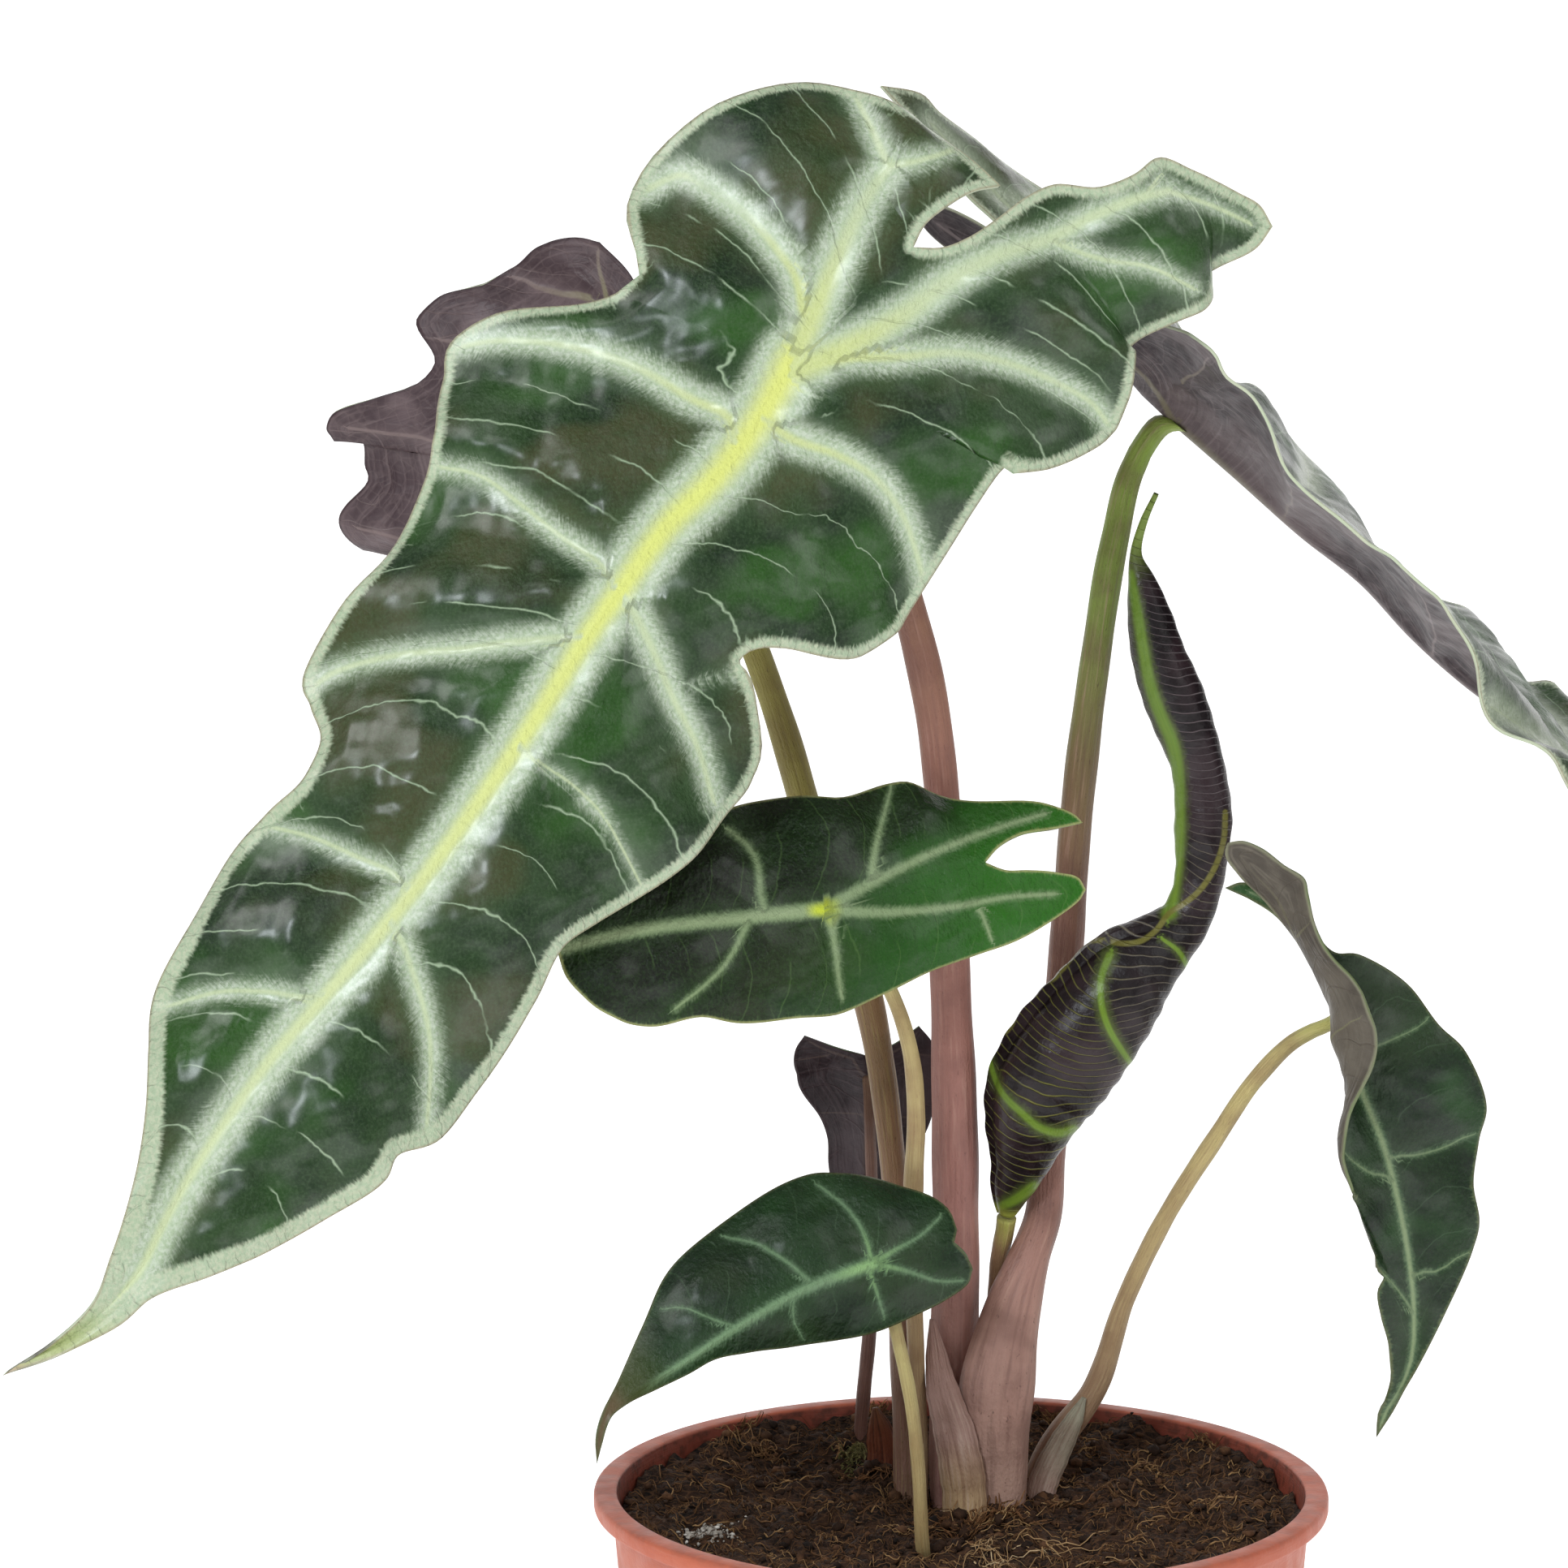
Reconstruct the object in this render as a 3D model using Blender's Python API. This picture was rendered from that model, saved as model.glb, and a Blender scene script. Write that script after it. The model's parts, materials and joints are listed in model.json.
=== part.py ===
# A potted African mask plant: seven leaves on stalks and one rolled new leaf, in a nursery pot.
# Units are metres in Blender; the sizes below are in millimetres and go through MM.
# The origin is the middle of the pot's underside, +Z is up and the front is towards -Y.

import bpy
import numpy as np

MM = 0.001

# Pot
POT_HEIGHT = 95.0
LIP_RADIUS = 60.0
LIP_HEIGHT = 2.8
WALL_TOP_RADIUS = 57.2
BASE_RADIUS = 49.0
WALL = 1.0
FLOOR = 1.5
POT_SIDES = 48
DRAIN_HOLES = 8
DRAIN_SIDES = 12
DRAIN_RADIUS = 4.0
DRAIN_RING = 32.0
FOOT_CHAMFER = 1.5
LIP_BEVEL = 0.4
LIP_BEVEL_LONG = 0.5
SHARP_FROM = np.radians(35)

# Peat
GAP = 0.3
SOIL_CLEARANCE = 0.55
SOIL_BELOW_RIM = 6.0
SOIL_LUMPS = (0.5, 0.35, 0.3)
SOIL_BANK = 2.0
SOIL_SLOPE = 0.045
SOIL_RINGS = 7
SOIL_SIDES = 32
SOIL_TOP = POT_HEIGHT - SOIL_BELOW_RIM

# Corm under the stalks
CORM_CENTRE = (0.5, 12.0)
CORM_RADIUS = 13.5
CORM_TOP = SOIL_TOP - 12.0
CORM_DEPTH = 20.0
CORM_SIDES = 14
ROOT_STUBS = 6
STUB_SIDES = 6
STUB_RINGS = 4
STUB_SIZES = [(1.5, 1.5), (1.3, 1.3), (0.9, 0.9)]
STUB_INSET = 4.0
STUB_DROP = 9.0
STUB_BEND = (9.0, -3.0)
STUB_END = (15.0, -14.0)
# each ring of the corm as a share of its radius and a height over its lowest point
CORM_RINGS = [(0.45, 1.0), (0.85, 6.0), (1.0, 13.0)]

# Blades
BLADE = 0.7
RIB_HEIGHT = 1.1
RIB_WIDTH = 2.2
FULL_RIB = 22.0
FULL_RELIEF = 14.0
EVENING = 3
BLADE_COLUMNS = (0.0, 0.07, 0.22, 0.46, 0.74, 1.0)
ROW_CLOSENESS = 1.35
RIDGE_TAPER = 0.6
WELD_WITHIN = 0.0005
STALK_SIDES = 8
STALK_CLEARANCE = 0.45
FOOT_RISE = 3.0
SHEATH_DEPTH = 6.0
HOLE_ABOVE = 6.0
EXTRA_RINGS = 4

# The front view in which the leaves are drawn: x to the right of the pot's axis and v up from the middle
# of the rim, both in millimetres at the axis, seen by an eye this far off that looks down by EYE_PITCH.
EYE_DISTANCE = 1100.0
EYE_PITCH = np.radians(9.4)
EYE_ASIDE = -28.9
EYE_ABOVE = 115.0
FORWARD = np.array([0.0, np.cos(EYE_PITCH), -np.sin(EYE_PITCH)])
UPWARD = np.array([0.0, np.sin(EYE_PITCH), np.cos(EYE_PITCH)])
RIM_MIDDLE = np.array([0.0, 0.0, POT_HEIGHT])
EYE = RIM_MIDDLE - EYE_DISTANCE * FORWARD + EYE_ABOVE * UPWARD + np.array([EYE_ASIDE, 0.0, 0.0])


def front(points):
    """Front-view points (x, v, y) as world points: each slides along its line of sight to the depth y."""
    points = np.asarray(points, float)
    drawn = RIM_MIDDLE + points[..., 1:2] * UPWARD
    drawn[..., 0] += points[..., 0]
    ray = drawn - EYE
    return EYE + ray * ((points[..., 2:3] - EYE[1]) / ray[..., 1:2])


def smooth(keys, values, at):
    """A smooth curve through values at keys, read at other places (cubic Hermite, slopes from neighbours)."""
    keys, values, at = np.asarray(keys, float), np.asarray(values, float), np.asarray(at, float)
    values = values.reshape(len(keys), -1)
    slope = np.gradient(values, keys, axis=0)
    place = np.clip(np.searchsorted(keys, at, side="right") - 1, 0, len(keys) - 2)
    span = (keys[place + 1] - keys[place])[:, None]
    f = ((at - keys[place]) / span[:, 0])[:, None]
    a, b = values[place], values[place + 1]
    rise, fall = slope[place] * span, slope[place + 1] * span
    return (
        a * (1 + 2 * f) * (1 - f) ** 2
        + b * f * f * (3 - 2 * f)
        + rise * f * (1 - f) ** 2
        - fall * f * f * (1 - f)
    )


def along(points):
    """Each point's share of the whole length of the curve through them, from 0 to 1."""
    steps = np.linalg.norm(np.diff(np.asarray(points, float), axis=0), axis=1)
    length = np.concatenate([[0.0], np.cumsum(steps)])
    return length / length[-1]


# Leaves. midrib runs from the junction with the stalk to the tip. Each half has the inner edge of its
# rear lobe, from the lobe's tip to the bottom of the notch, and its outer margin from the lobe's tip to
# the leaf's tip. A margin point starts with t, the place on the midrib that its cross line comes from:
# 0 is the junction, 1 the tip of the leaf and -1 the tip of the lobe. Then come x and v in the front
# view, and a depth behind the leaf's own plane. lean is how much deeper that plane gets for each
# millimetre of x and of v, away from the junction. ribs are the t of the side veins.
HERO = {
    "name": "hero",
    "depth": -20.0,
    "lean": (0.08, 0.28),
    "faces_front": True,
    "rows": (9, 4, 27),
    "wave": 1.6,
    "puff": 1.6,
    "arch": 3.0,
    "midrib": [(-27.8, 184.2, 0), (-40.4, 164.9, -1), (-55, 147.7, -2), (-68.3, 127.8, -2),
               (-82.9, 106.5, -1), (-97.5, 87.9, 0), (-113.4, 69.3, 2), (-125.4, 52.1, 4),
               (-134.7, 34.8, 6), (-141, 28, 7), (-156.6, 18.3, 8)],
    "left": {
        "inner": [(6.5, 212.7, 2), (2.3, 211.9, 1), (-1.9, 209.6, 0), (-6.1, 206, 0), (-7.7, 202.8, 0)],
        "outer": [(-1, 6.5, 212.7, 2), (-0.93, 0.1, 219.1, 3), (-0.83, -7.2, 224.7, 3), (-0.7, -15, 229.1, 3),
                  (-0.58, -23.9, 231.1, 3), (-0.46, -33.2, 229.1, 3), (-0.34, -43.8, 224.3, 3),
                  (-0.25, -51.1, 217.5, 2), (-0.17, -54.3, 210.1, 1), (-0.07, -52.7, 200.7, 0),
                  (-0.02, -53.3, 197.7, 0), (0.015, -61.6, 193.9, 1), (0.035, -75.3, 192.6, 2),
                  (0.05, -82.7, 188.8, 3), (0.075, -84.7, 182.3, 3), (0.14, -86.3, 171.8, 2),
                  (0.19, -89, 163, 3), (0.22, -94.3, 152.5, 3), (0.245, -101.6, 144.5, 3),
                  (0.27, -107.8, 134.5, 3), (0.3, -106.8, 129.1, 2), (0.34, -104.8, 123, 1),
                  (0.38, -106.8, 117.3, 1), (0.46, -114.6, 109.6, 2), (0.5, -120.3, 103.3, 3),
                  (0.55, -125.9, 92.6, 3), (0.62, -132.5, 80.7, 3), (0.67, -132.8, 72, 2),
                  (0.72, -133.1, 62.5, 2), (0.78, -134.7, 50.1, 2), (0.86, -139, 37.5, 4),
                  (0.91, -142.6, 29.2, 6), (0.95, -149.3, 22.9, 7), (1, -156.6, 18.3, 8)],
        "ribs": (-0.6, -0.22, 0.07, 0.2, 0.27, 0.5, 0.62, 0.8, 1.0),
    },
    "right": {
        "inner": [(51, 206.2, 5), (49, 209.6, 5), (45.4, 211.7, 4), (38, 215.4, 2), (32.3, 217.5, 1),
                  (28.6, 214.9, 0), (22.8, 212.7, 0), (14.9, 213, 1), (10.8, 211.1, 1), (6.5, 207.9, 1),
                  (1.2, 204.4, 0), (-2.9, 202.8, 0), (-7.7, 202.8, 0)],
        "outer": [(-1, 51, 206.2, 5), (-0.95, 48.5, 202.8, 6), (-0.88, 43.3, 199.6, 6),
                  (-0.8, 42.8, 195.9, 6), (-0.72, 40.6, 192.8, 6), (-0.63, 35.9, 190.7, 6),
                  (-0.54, 30.7, 188.6, 5), (-0.46, 28.6, 186.5, 4), (-0.36, 28.6, 182.9, 5),
                  (-0.27, 28, 177.6, 6), (-0.2, 26.4, 173.3, 6), (-0.13, 23.4, 170.8, 6),
                  (-0.06, 14.9, 167.1, 4), (-0.02, 9.7, 166.8, 2), (0.01, 7, 166.5, 2),
                  (0.035, 2.8, 160.3, 3), (0.06, -1.3, 153.4, 4), (0.095, -7.2, 143.7, 5),
                  (0.115, -9.8, 139.7, 5), (0.13, -13.8, 137.1, 5), (0.145, -17.8, 136, 4),
                  (0.17, -28.4, 137.7, 1), (0.185, -32.4, 137.5, 0), (0.195, -35.1, 136.4, 0),
                  (0.205, -36.1, 134.4, 0), (0.22, -33.7, 128.4, 2), (0.235, -32, 119.8, 4),
                  (0.25, -33.1, 115.8, 4), (0.28, -37.7, 109.8, 4), (0.36, -47, 99.9, 3),
                  (0.42, -59, 92.6, 1), (0.45, -64.5, 88.8, 1), (0.5, -69.5, 79.4, 3),
                  (0.57, -77.7, 65.6, 4), (0.61, -84.6, 57.2, 3), (0.65, -92, 54.4, 2),
                  (0.68, -93.9, 50.6, 2), (0.74, -104, 44.4, 2), (0.8, -113.9, 38.8, 3),
                  (0.86, -123.4, 34.4, 4), (0.9, -132.1, 31.2, 5), (0.94, -138.4, 26.3, 6),
                  (0.97, -147.8, 21.4, 7), (1, -156.6, 18.3, 8)],
        "ribs": (-0.85, -0.5, -0.2, 0.1, 0.26, 0.4, 0.58, 0.75, 1.0),
    },
}

MIDDLE = {
    "name": "middle",
    "depth": -22.0,
    "lean": (0.34, 0.45),
    "faces_front": True,
    "rows": (6, 3, 13),
    "wave": 0.8,
    "puff": 1.0,
    "arch": 1.5,
    "midrib": [(-22.3, 94.6, 0), (-35.9, 93.1, 0), (-55.4, 90.6, 1), (-65.9, 87.6, 3)],
    "left": {
        "inner": [(19.9, 108.6, 0), (15.4, 107.6, 0), (9.7, 106.6, 0), (6.2, 104.6, 0), (4, 102.1, 0)],
        "outer": [(-1, 19.9, 108.6, 0), (-0.93, 18.3, 110.1, 0), (-0.84, 13.7, 111.8, 1),
                  (-0.66, 2.1, 112.5, 2), (-0.5, -6.5, 115, 2), (-0.35, -11, 115.7, 2),
                  (-0.15, -19.7, 113, 1), (0, -26.6, 113.3, 2), (0.18, -34.1, 112.6, 2),
                  (0.45, -43, 108, 2), (0.65, -52.3, 101.4, 2), (0.87, -61.6, 93.6, 2),
                  (1, -65.9, 87.6, 3)],
        "ribs": (-0.6, -0.3, 0.15, 0.6, 1.0),
    },
    "right": {
        "inner": [(20.5, 97.7, 0), (19.4, 99.5, 0), (15.9, 100.5, 0), (10.8, 100.9, 0), (7.3, 100.9, 0),
                  (4, 102.1, 0)],
        "outer": [(-1, 20.5, 97.7, 0), (-0.9, 18.9, 95.5, 1), (-0.74, 9.7, 89.6, 2), (-0.6, 2.1, 86.9, 2),
                  (-0.45, -4.8, 84.5, 2), (-0.28, -11.7, 81, 3), (-0.08, -19.1, 77.6, 3),
                  (0.1, -26.6, 76.8, 3), (0.28, -34.7, 76.1, 3), (0.45, -42.2, 77, 2),
                  (0.62, -50.2, 75.6, 3), (0.75, -56, 76.8, 3), (0.88, -61.2, 79.9, 3),
                  (0.95, -64.7, 83.9, 3), (1, -65.9, 87.6, 3)],
        "ribs": (-0.6, -0.1, 0.3, 0.65, 1.0),
    },
}

FRONT = {
    "name": "front",
    "depth": -20.0,
    "lean": (0.2, 0.38),
    "faces_front": True,
    "rows": (4, 2, 12),
    "wave": 0.4,
    "puff": 0.8,
    "arch": 2.0,
    "midrib": [(-14.2, 36.7, 0), (-25.6, 32.3, -1), (-36.3, 26.3, -1), (-44.6, 20.8, 0),
               (-52.6, 15.9, 1), (-57.4, 12.4, 2), (-59.1, 7.6, 3), (-59.5, 3.9, 4)],
    "left": {
        "inner": [(-0.7, 42, 2), (-1.1, 40.1, 1)],
        "outer": [(-1, -0.7, 42, 2), (-0.8, -1.9, 45.4, 3), (-0.6, -4.9, 47.9, 3), (-0.4, -9.2, 49.7, 3),
                  (-0.2, -13.8, 51.1, 3), (0, -19.3, 51.9, 2), (0.12, -24.3, 51.8, 2),
                  (0.26, -32, 48.3, 2), (0.4, -40.5, 42.5, 2), (0.52, -47.7, 35.7, 2),
                  (0.66, -52.3, 25.9, 2), (0.78, -56.2, 17, 2), (0.86, -58.5, 12.4, 2),
                  (0.94, -59.7, 7.7, 3), (1, -59.5, 3.9, 4)],
        "ribs": (-0.4, 0.1, 0.35, 0.6, 1.0),
    },
    "right": {
        "inner": [(1.9, 35.7, 2), (1.1, 37.7, 1), (-1.1, 40.1, 1)],
        "outer": [(-1, 1.9, 35.7, 2), (-0.8, 1.1, 33.1, 3), (-0.6, -2.4, 30.5, 3), (-0.4, -6.5, 28.3, 3),
                  (-0.15, -14.2, 25.1, 3), (0.05, -21.4, 23.6, 3), (0.2, -27.8, 22.7, 3),
                  (0.36, -34.5, 21.9, 2), (0.5, -40.5, 20.8, 2), (0.6, -44.6, 18.5, 2),
                  (0.7, -49.8, 16, 2), (0.79, -54.6, 13.6, 2), (0.86, -57.2, 11.3, 2),
                  (0.94, -58.5, 7.5, 3), (1, -59.5, 3.9, 4)],
        "ribs": (-0.4, 0.1, 0.35, 0.6, 1.0),
    },
}

BACK = {
    "name": "back",
    "depth": 31.0,
    "lean": (0.0, 0.0),
    "faces_front": False,
    "rows": (6, 3, 15),
    "wave": 1.2,
    "puff": 1.4,
    "arch": 2.0,
    "midrib": [(-49, 176.9, 0), (-54, 160, 5), (-59, 143, 12), (-64, 125, 21), (-67, 108, 31),
               (-66, 94, 42)],
    "left": {
        "inner": [(-59, 203.5, 14), (-53.8, 198, 9), (-51, 191.5, 5), (-49.4, 186.2, 2)],
        "outer": [(-1, -59, 203.5, 14), (-0.9, -62.1, 204, 15), (-0.72, -68.9, 202.5, 15),
                  (-0.55, -72.6, 198.3, 14), (-0.42, -77.4, 195.9, 14), (-0.28, -85.3, 194.4, 15),
                  (-0.2, -87.9, 191.2, 16), (-0.06, -85.8, 182.9, 14), (-0.02, -88.4, 180.5, 14),
                  (0.04, -94.7, 178.6, 16), (0.1, -101.7, 176.5, 19), (0.13, -102.5, 174.4, 20),
                  (0.17, -101.5, 172.5, 20), (0.2, -97.9, 172.1, 19), (0.25, -97.1, 167.1, 20),
                  (0.28, -96.5, 164.9, 20), (0.32, -99.7, 161.4, 22), (0.36, -100.4, 159.5, 23),
                  (0.42, -97.3, 155.2, 25), (0.46, -94.2, 153.7, 25), (0.52, -88.2, 146.3, 26),
                  (0.62, -86.2, 137.1, 29), (0.72, -82.9, 126.4, 33), (0.84, -77.6, 115.8, 36),
                  (0.94, -70.9, 103.9, 39), (1, -66, 94, 42)],
        "ribs": (-0.5, -0.15, 0.12, 0.36, 0.6, 1.0),
    },
    "right": {
        "inner": [(-40.4, 200.8, 6), (-43, 195.5, 4), (-46.3, 190.2, 2), (-49.4, 186.2, 2)],
        "outer": [(-1, -40.4, 200.8, 6), (-0.75, -35, 196.8, 4), (-0.4, -31, 187.5, 2),
                  (-0.15, -33.7, 179.5, 1), (0.08, -29.7, 171.6, 2), (0.24, -33.7, 163.6, 4),
                  (0.4, -37.7, 153, 9), (0.55, -40.4, 142.4, 14), (0.7, -44.4, 130.4, 21),
                  (0.83, -51, 117.1, 29), (0.93, -59, 103.9, 36), (1, -66, 94, 42)],
        "ribs": (-0.4, 0.1, 0.3, 0.6, 1.0),
    },
}

RIGHT = {
    "name": "right",
    "depth": 25.0,
    "lean": (0.0, 0.0),
    "faces_front": True,
    "rows": (7, 3, 20),
    "wave": 1.2,
    "puff": 1.2,
    "arch": 1.0,
    "midrib": [(36.7, 174.2, 0), (46.1, 165.9, 1), (56.3, 156.7, 2), (66.4, 148.6, 3), (74.6, 139.7, 3),
               (83.3, 131.9, 2), (90.5, 126.5, 1), (99.3, 119.7, -1), (112.3, 107.8, -4),
               (123, 93.2, -8), (129.6, 74.6, -12)],
    "left": {
        "inner": [(-9.2, 211.4, -4), (-5.8, 206, -4), (3, 199, -4), (15, 190.3, -4), (27.5, 181.4, -2)],
        "outer": [(-1, -9.2, 211.4, -4), (-0.86, -1.9, 209.2, -9), (-0.7, 8, 203.5, -12),
                  (-0.52, 19.4, 196.8, -16), (-0.3, 32.9, 190, -22), (-0.2, 38.5, 189.2, -25),
                  (-0.08, 43.6, 185.6, -28), (-0.02, 44.1, 181.7, -28), (0.05, 48.2, 177.6, -30),
                  (0.11, 52.2, 173, -32), (0.18, 55.8, 166.4, -33), (0.26, 60.8, 159.2, -33),
                  (0.31, 66, 155, -34), (0.37, 72.1, 153.1, -36), (0.44, 78.4, 147.1, -35),
                  (0.5, 80.5, 141.4, -33), (0.58, 85.8, 134.4, -31), (0.65, 88.6, 125.3, -29),
                  (0.7, 94.4, 121.1, -28), (0.76, 99.3, 117.1, -27), (0.84, 108.4, 105.2, -25),
                  (0.91, 116.3, 90.6, -20), (0.96, 124.3, 80, -16), (1, 129.6, 74.6, -12)],
        "ribs": (-0.55, -0.1, 0.16, 0.4, 0.62, 0.8, 1.0),
    },
    "right": {
        "inner": [(-13.1, 229.1, 9), (-4.5, 219.4, 7), (1.2, 211.1, 6), (5.2, 207.4, 5), (15.4, 197, 3),
                  (27.5, 181.4, -2)],
        "outer": [(-1, -13.1, 229.1, 9), (-0.93, -6.6, 228, 12), (-0.86, -3.5, 224.8, 14),
                  (-0.74, 4.4, 218.9, 19), (-0.6, 14.9, 213.3, 23), (-0.35, 28.7, 199.5, 28),
                  (-0.15, 39.3, 187.5, 33), (-0.05, 44.4, 181.6, 36), (0.02, 47.7, 180.1, 38),
                  (0.12, 53.3, 174.5, 39), (0.2, 58.8, 168.9, 40), (0.26, 60.6, 164.9, 40),
                  (0.34, 63.9, 157.3, 40), (0.42, 71.2, 150.3, 41), (0.5, 79.7, 144.9, 41),
                  (0.56, 83.9, 142.6, 40), (0.62, 87.3, 137.9, 38), (0.69, 92.8, 132.5, 36),
                  (0.75, 97.5, 130.8, 34), (0.79, 99.8, 127.2, 31), (0.86, 111, 119.8, 22),
                  (0.92, 120.3, 107.8, 10), (0.97, 128.3, 90.6, -3), (1, 129.6, 74.6, -12)],
        "ribs": (-0.6, -0.1, 0.18, 0.42, 0.65, 0.82, 1.0),
    },
}

SIDE = {
    "name": "side",
    "depth": 3.0,
    "lean": (0.0, 0.0),
    "faces_front": True,
    "rows": (6, 3, 16),
    "wave": 0.5,
    "puff": 0.7,
    "arch": 1.0,
    "midrib": [(62.5, 78, 0), (65.7, 64.4, 1), (69, 56.3, 1), (71.7, 46, 1), (73.2, 38, 1),
               (74.1, 29.2, 1), (73.4, 19.7, 1), (71.7, 15.7, 1), (69.5, 12.2, 1), (68, 8.2, 1)],
    "left": {
        "inner": [(43.7, 105.4, -2), (43.3, 103.7, -2), (45.4, 100.3, -2), (49.4, 96.3, -2),
                  (52.9, 92.2, -2), (58.5, 84.5, 0)],
        "outer": [(-1, 43.7, 105.4, -2), (-0.92, 46.1, 105.7, -3), (-0.83, 49.4, 104.4, -4),
                  (-0.73, 52.9, 101.7, -5), (-0.62, 56.2, 99.6, -6), (-0.52, 57, 96.9, -7),
                  (-0.38, 58.2, 92.2, -8), (-0.2, 61, 86.7, -9), (-0.05, 64.9, 82.7, -10),
                  (0.08, 67.3, 78.6, -11), (0.16, 68.4, 74.6, -11), (0.25, 67.7, 69.2, -10),
                  (0.32, 65.7, 64.4, -9), (0.4, 64.1, 59, -8.5), (0.47, 63.1, 54.3, -6),
                  (0.55, 64.5, 48.2, -3.5), (0.62, 65.7, 43.4, -1.5), (0.69, 68, 37.3, 0),
                  (0.73, 69.5, 34.7, 0), (0.77, 68.3, 31.9, 0), (0.82, 68.8, 27.9, 0),
                  (0.88, 70.2, 22.6, 0), (0.92, 70.4, 18, 0), (0.95, 69.6, 14.8, 1),
                  (0.98, 68.2, 11.7, 1), (1, 68, 8.2, 1)],
        "belly": [(-1, 0, 0, 0), (-0.6, -1, -1, 0), (-0.2, -4, -1, 1), (0.1, -9, 0, 0), (0.3, -10, 0, 0),
                  (0.45, -7, 0, 0), (0.6, -2, 0, 0), (0.7, 0, 0, 0), (1, 0, 0, 0)],
        "ribs": (-0.4, 0.1, 0.4, 0.7, 1.0),
    },
    "right": {
        "inner": [(43.3, 98, 1), (47.5, 96, 1), (51.5, 93.5, 1), (55.2, 89, 1), (58.5, 84.5, 0)],
        "outer": [(-1, 43.3, 98, 1), (-0.9, 46, 98.9, 1), (-0.8, 49.4, 98.2, 2), (-0.6, 54, 94.5, 3),
                  (-0.4, 58, 90.5, 3), (-0.22, 61.5, 87.3, 3), (-0.1, 65.7, 86.9, 3),
                  (0.03, 73.8, 81.7, 3), (0.12, 78.6, 75.3, 3), (0.2, 82.6, 71.2, 3),
                  (0.3, 86.2, 61.8, 3), (0.37, 85, 56.3, 3), (0.46, 83.9, 49.5, 2),
                  (0.54, 84.9, 43.4, 2), (0.62, 83.9, 38.6, 2), (0.75, 79.3, 28.6, 2),
                  (0.86, 74.9, 19.8, 1), (0.92, 72.6, 15.9, 1), (0.96, 70.6, 12.1, 1), (1, 68, 8.2, 1)],
        "ribs": (-0.4, 0.1, 0.35, 0.62, 1.0),
    },
}

SMALL = {
    "name": "small",
    "depth": 45.0,
    "lean": (0.0, 0.0),
    "faces_front": False,
    "rows": (3, 2, 7),
    "wave": 0.4,
    "puff": 0.6,
    "arch": 1.5,
    "midrib": [(-15.2, 67, 0), (-15.4, 58, 1), (-15.6, 48, 3), (-15.4, 38, 6)],
    "left": {
        "inner": [(-25.6, 73.8, 2), (-20, 71.8, 1), (-15.6, 70.6, 0)],
        "outer": [(-1, -25.6, 73.8, 2), (-0.6, -27, 71.5, 3), (-0.2, -26.7, 68.5, 4),
                  (0.08, -25.4, 64.9, 5), (0.22, -22.7, 61, 5), (0.34, -21.6, 57.5, 5),
                  (0.5, -21.4, 52.6, 5), (0.75, -19.2, 45, 6), (1, -15.4, 38, 6)],
        "ribs": (-0.4, 0.2, 0.6, 1.0),
    },
    "right": {
        "inner": [(-6.8, 75.4, 2), (-11, 72.4, 1), (-15.6, 70.6, 0)],
        "outer": [(-1, -6.8, 75.4, 2), (-0.6, -4.6, 72.5, 3), (-0.1, -4.3, 67, 4), (0.2, -5.4, 60.5, 5),
                  (0.5, -8.4, 52.6, 5), (0.75, -11.9, 45, 6), (1, -15.4, 38, 6)],
        "ribs": (-0.4, 0.2, 0.6, 1.0),
    },
}

LEAVES = [HERO, MIDDLE, FRONT, BACK, RIGHT, SIDE, SMALL]

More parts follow.
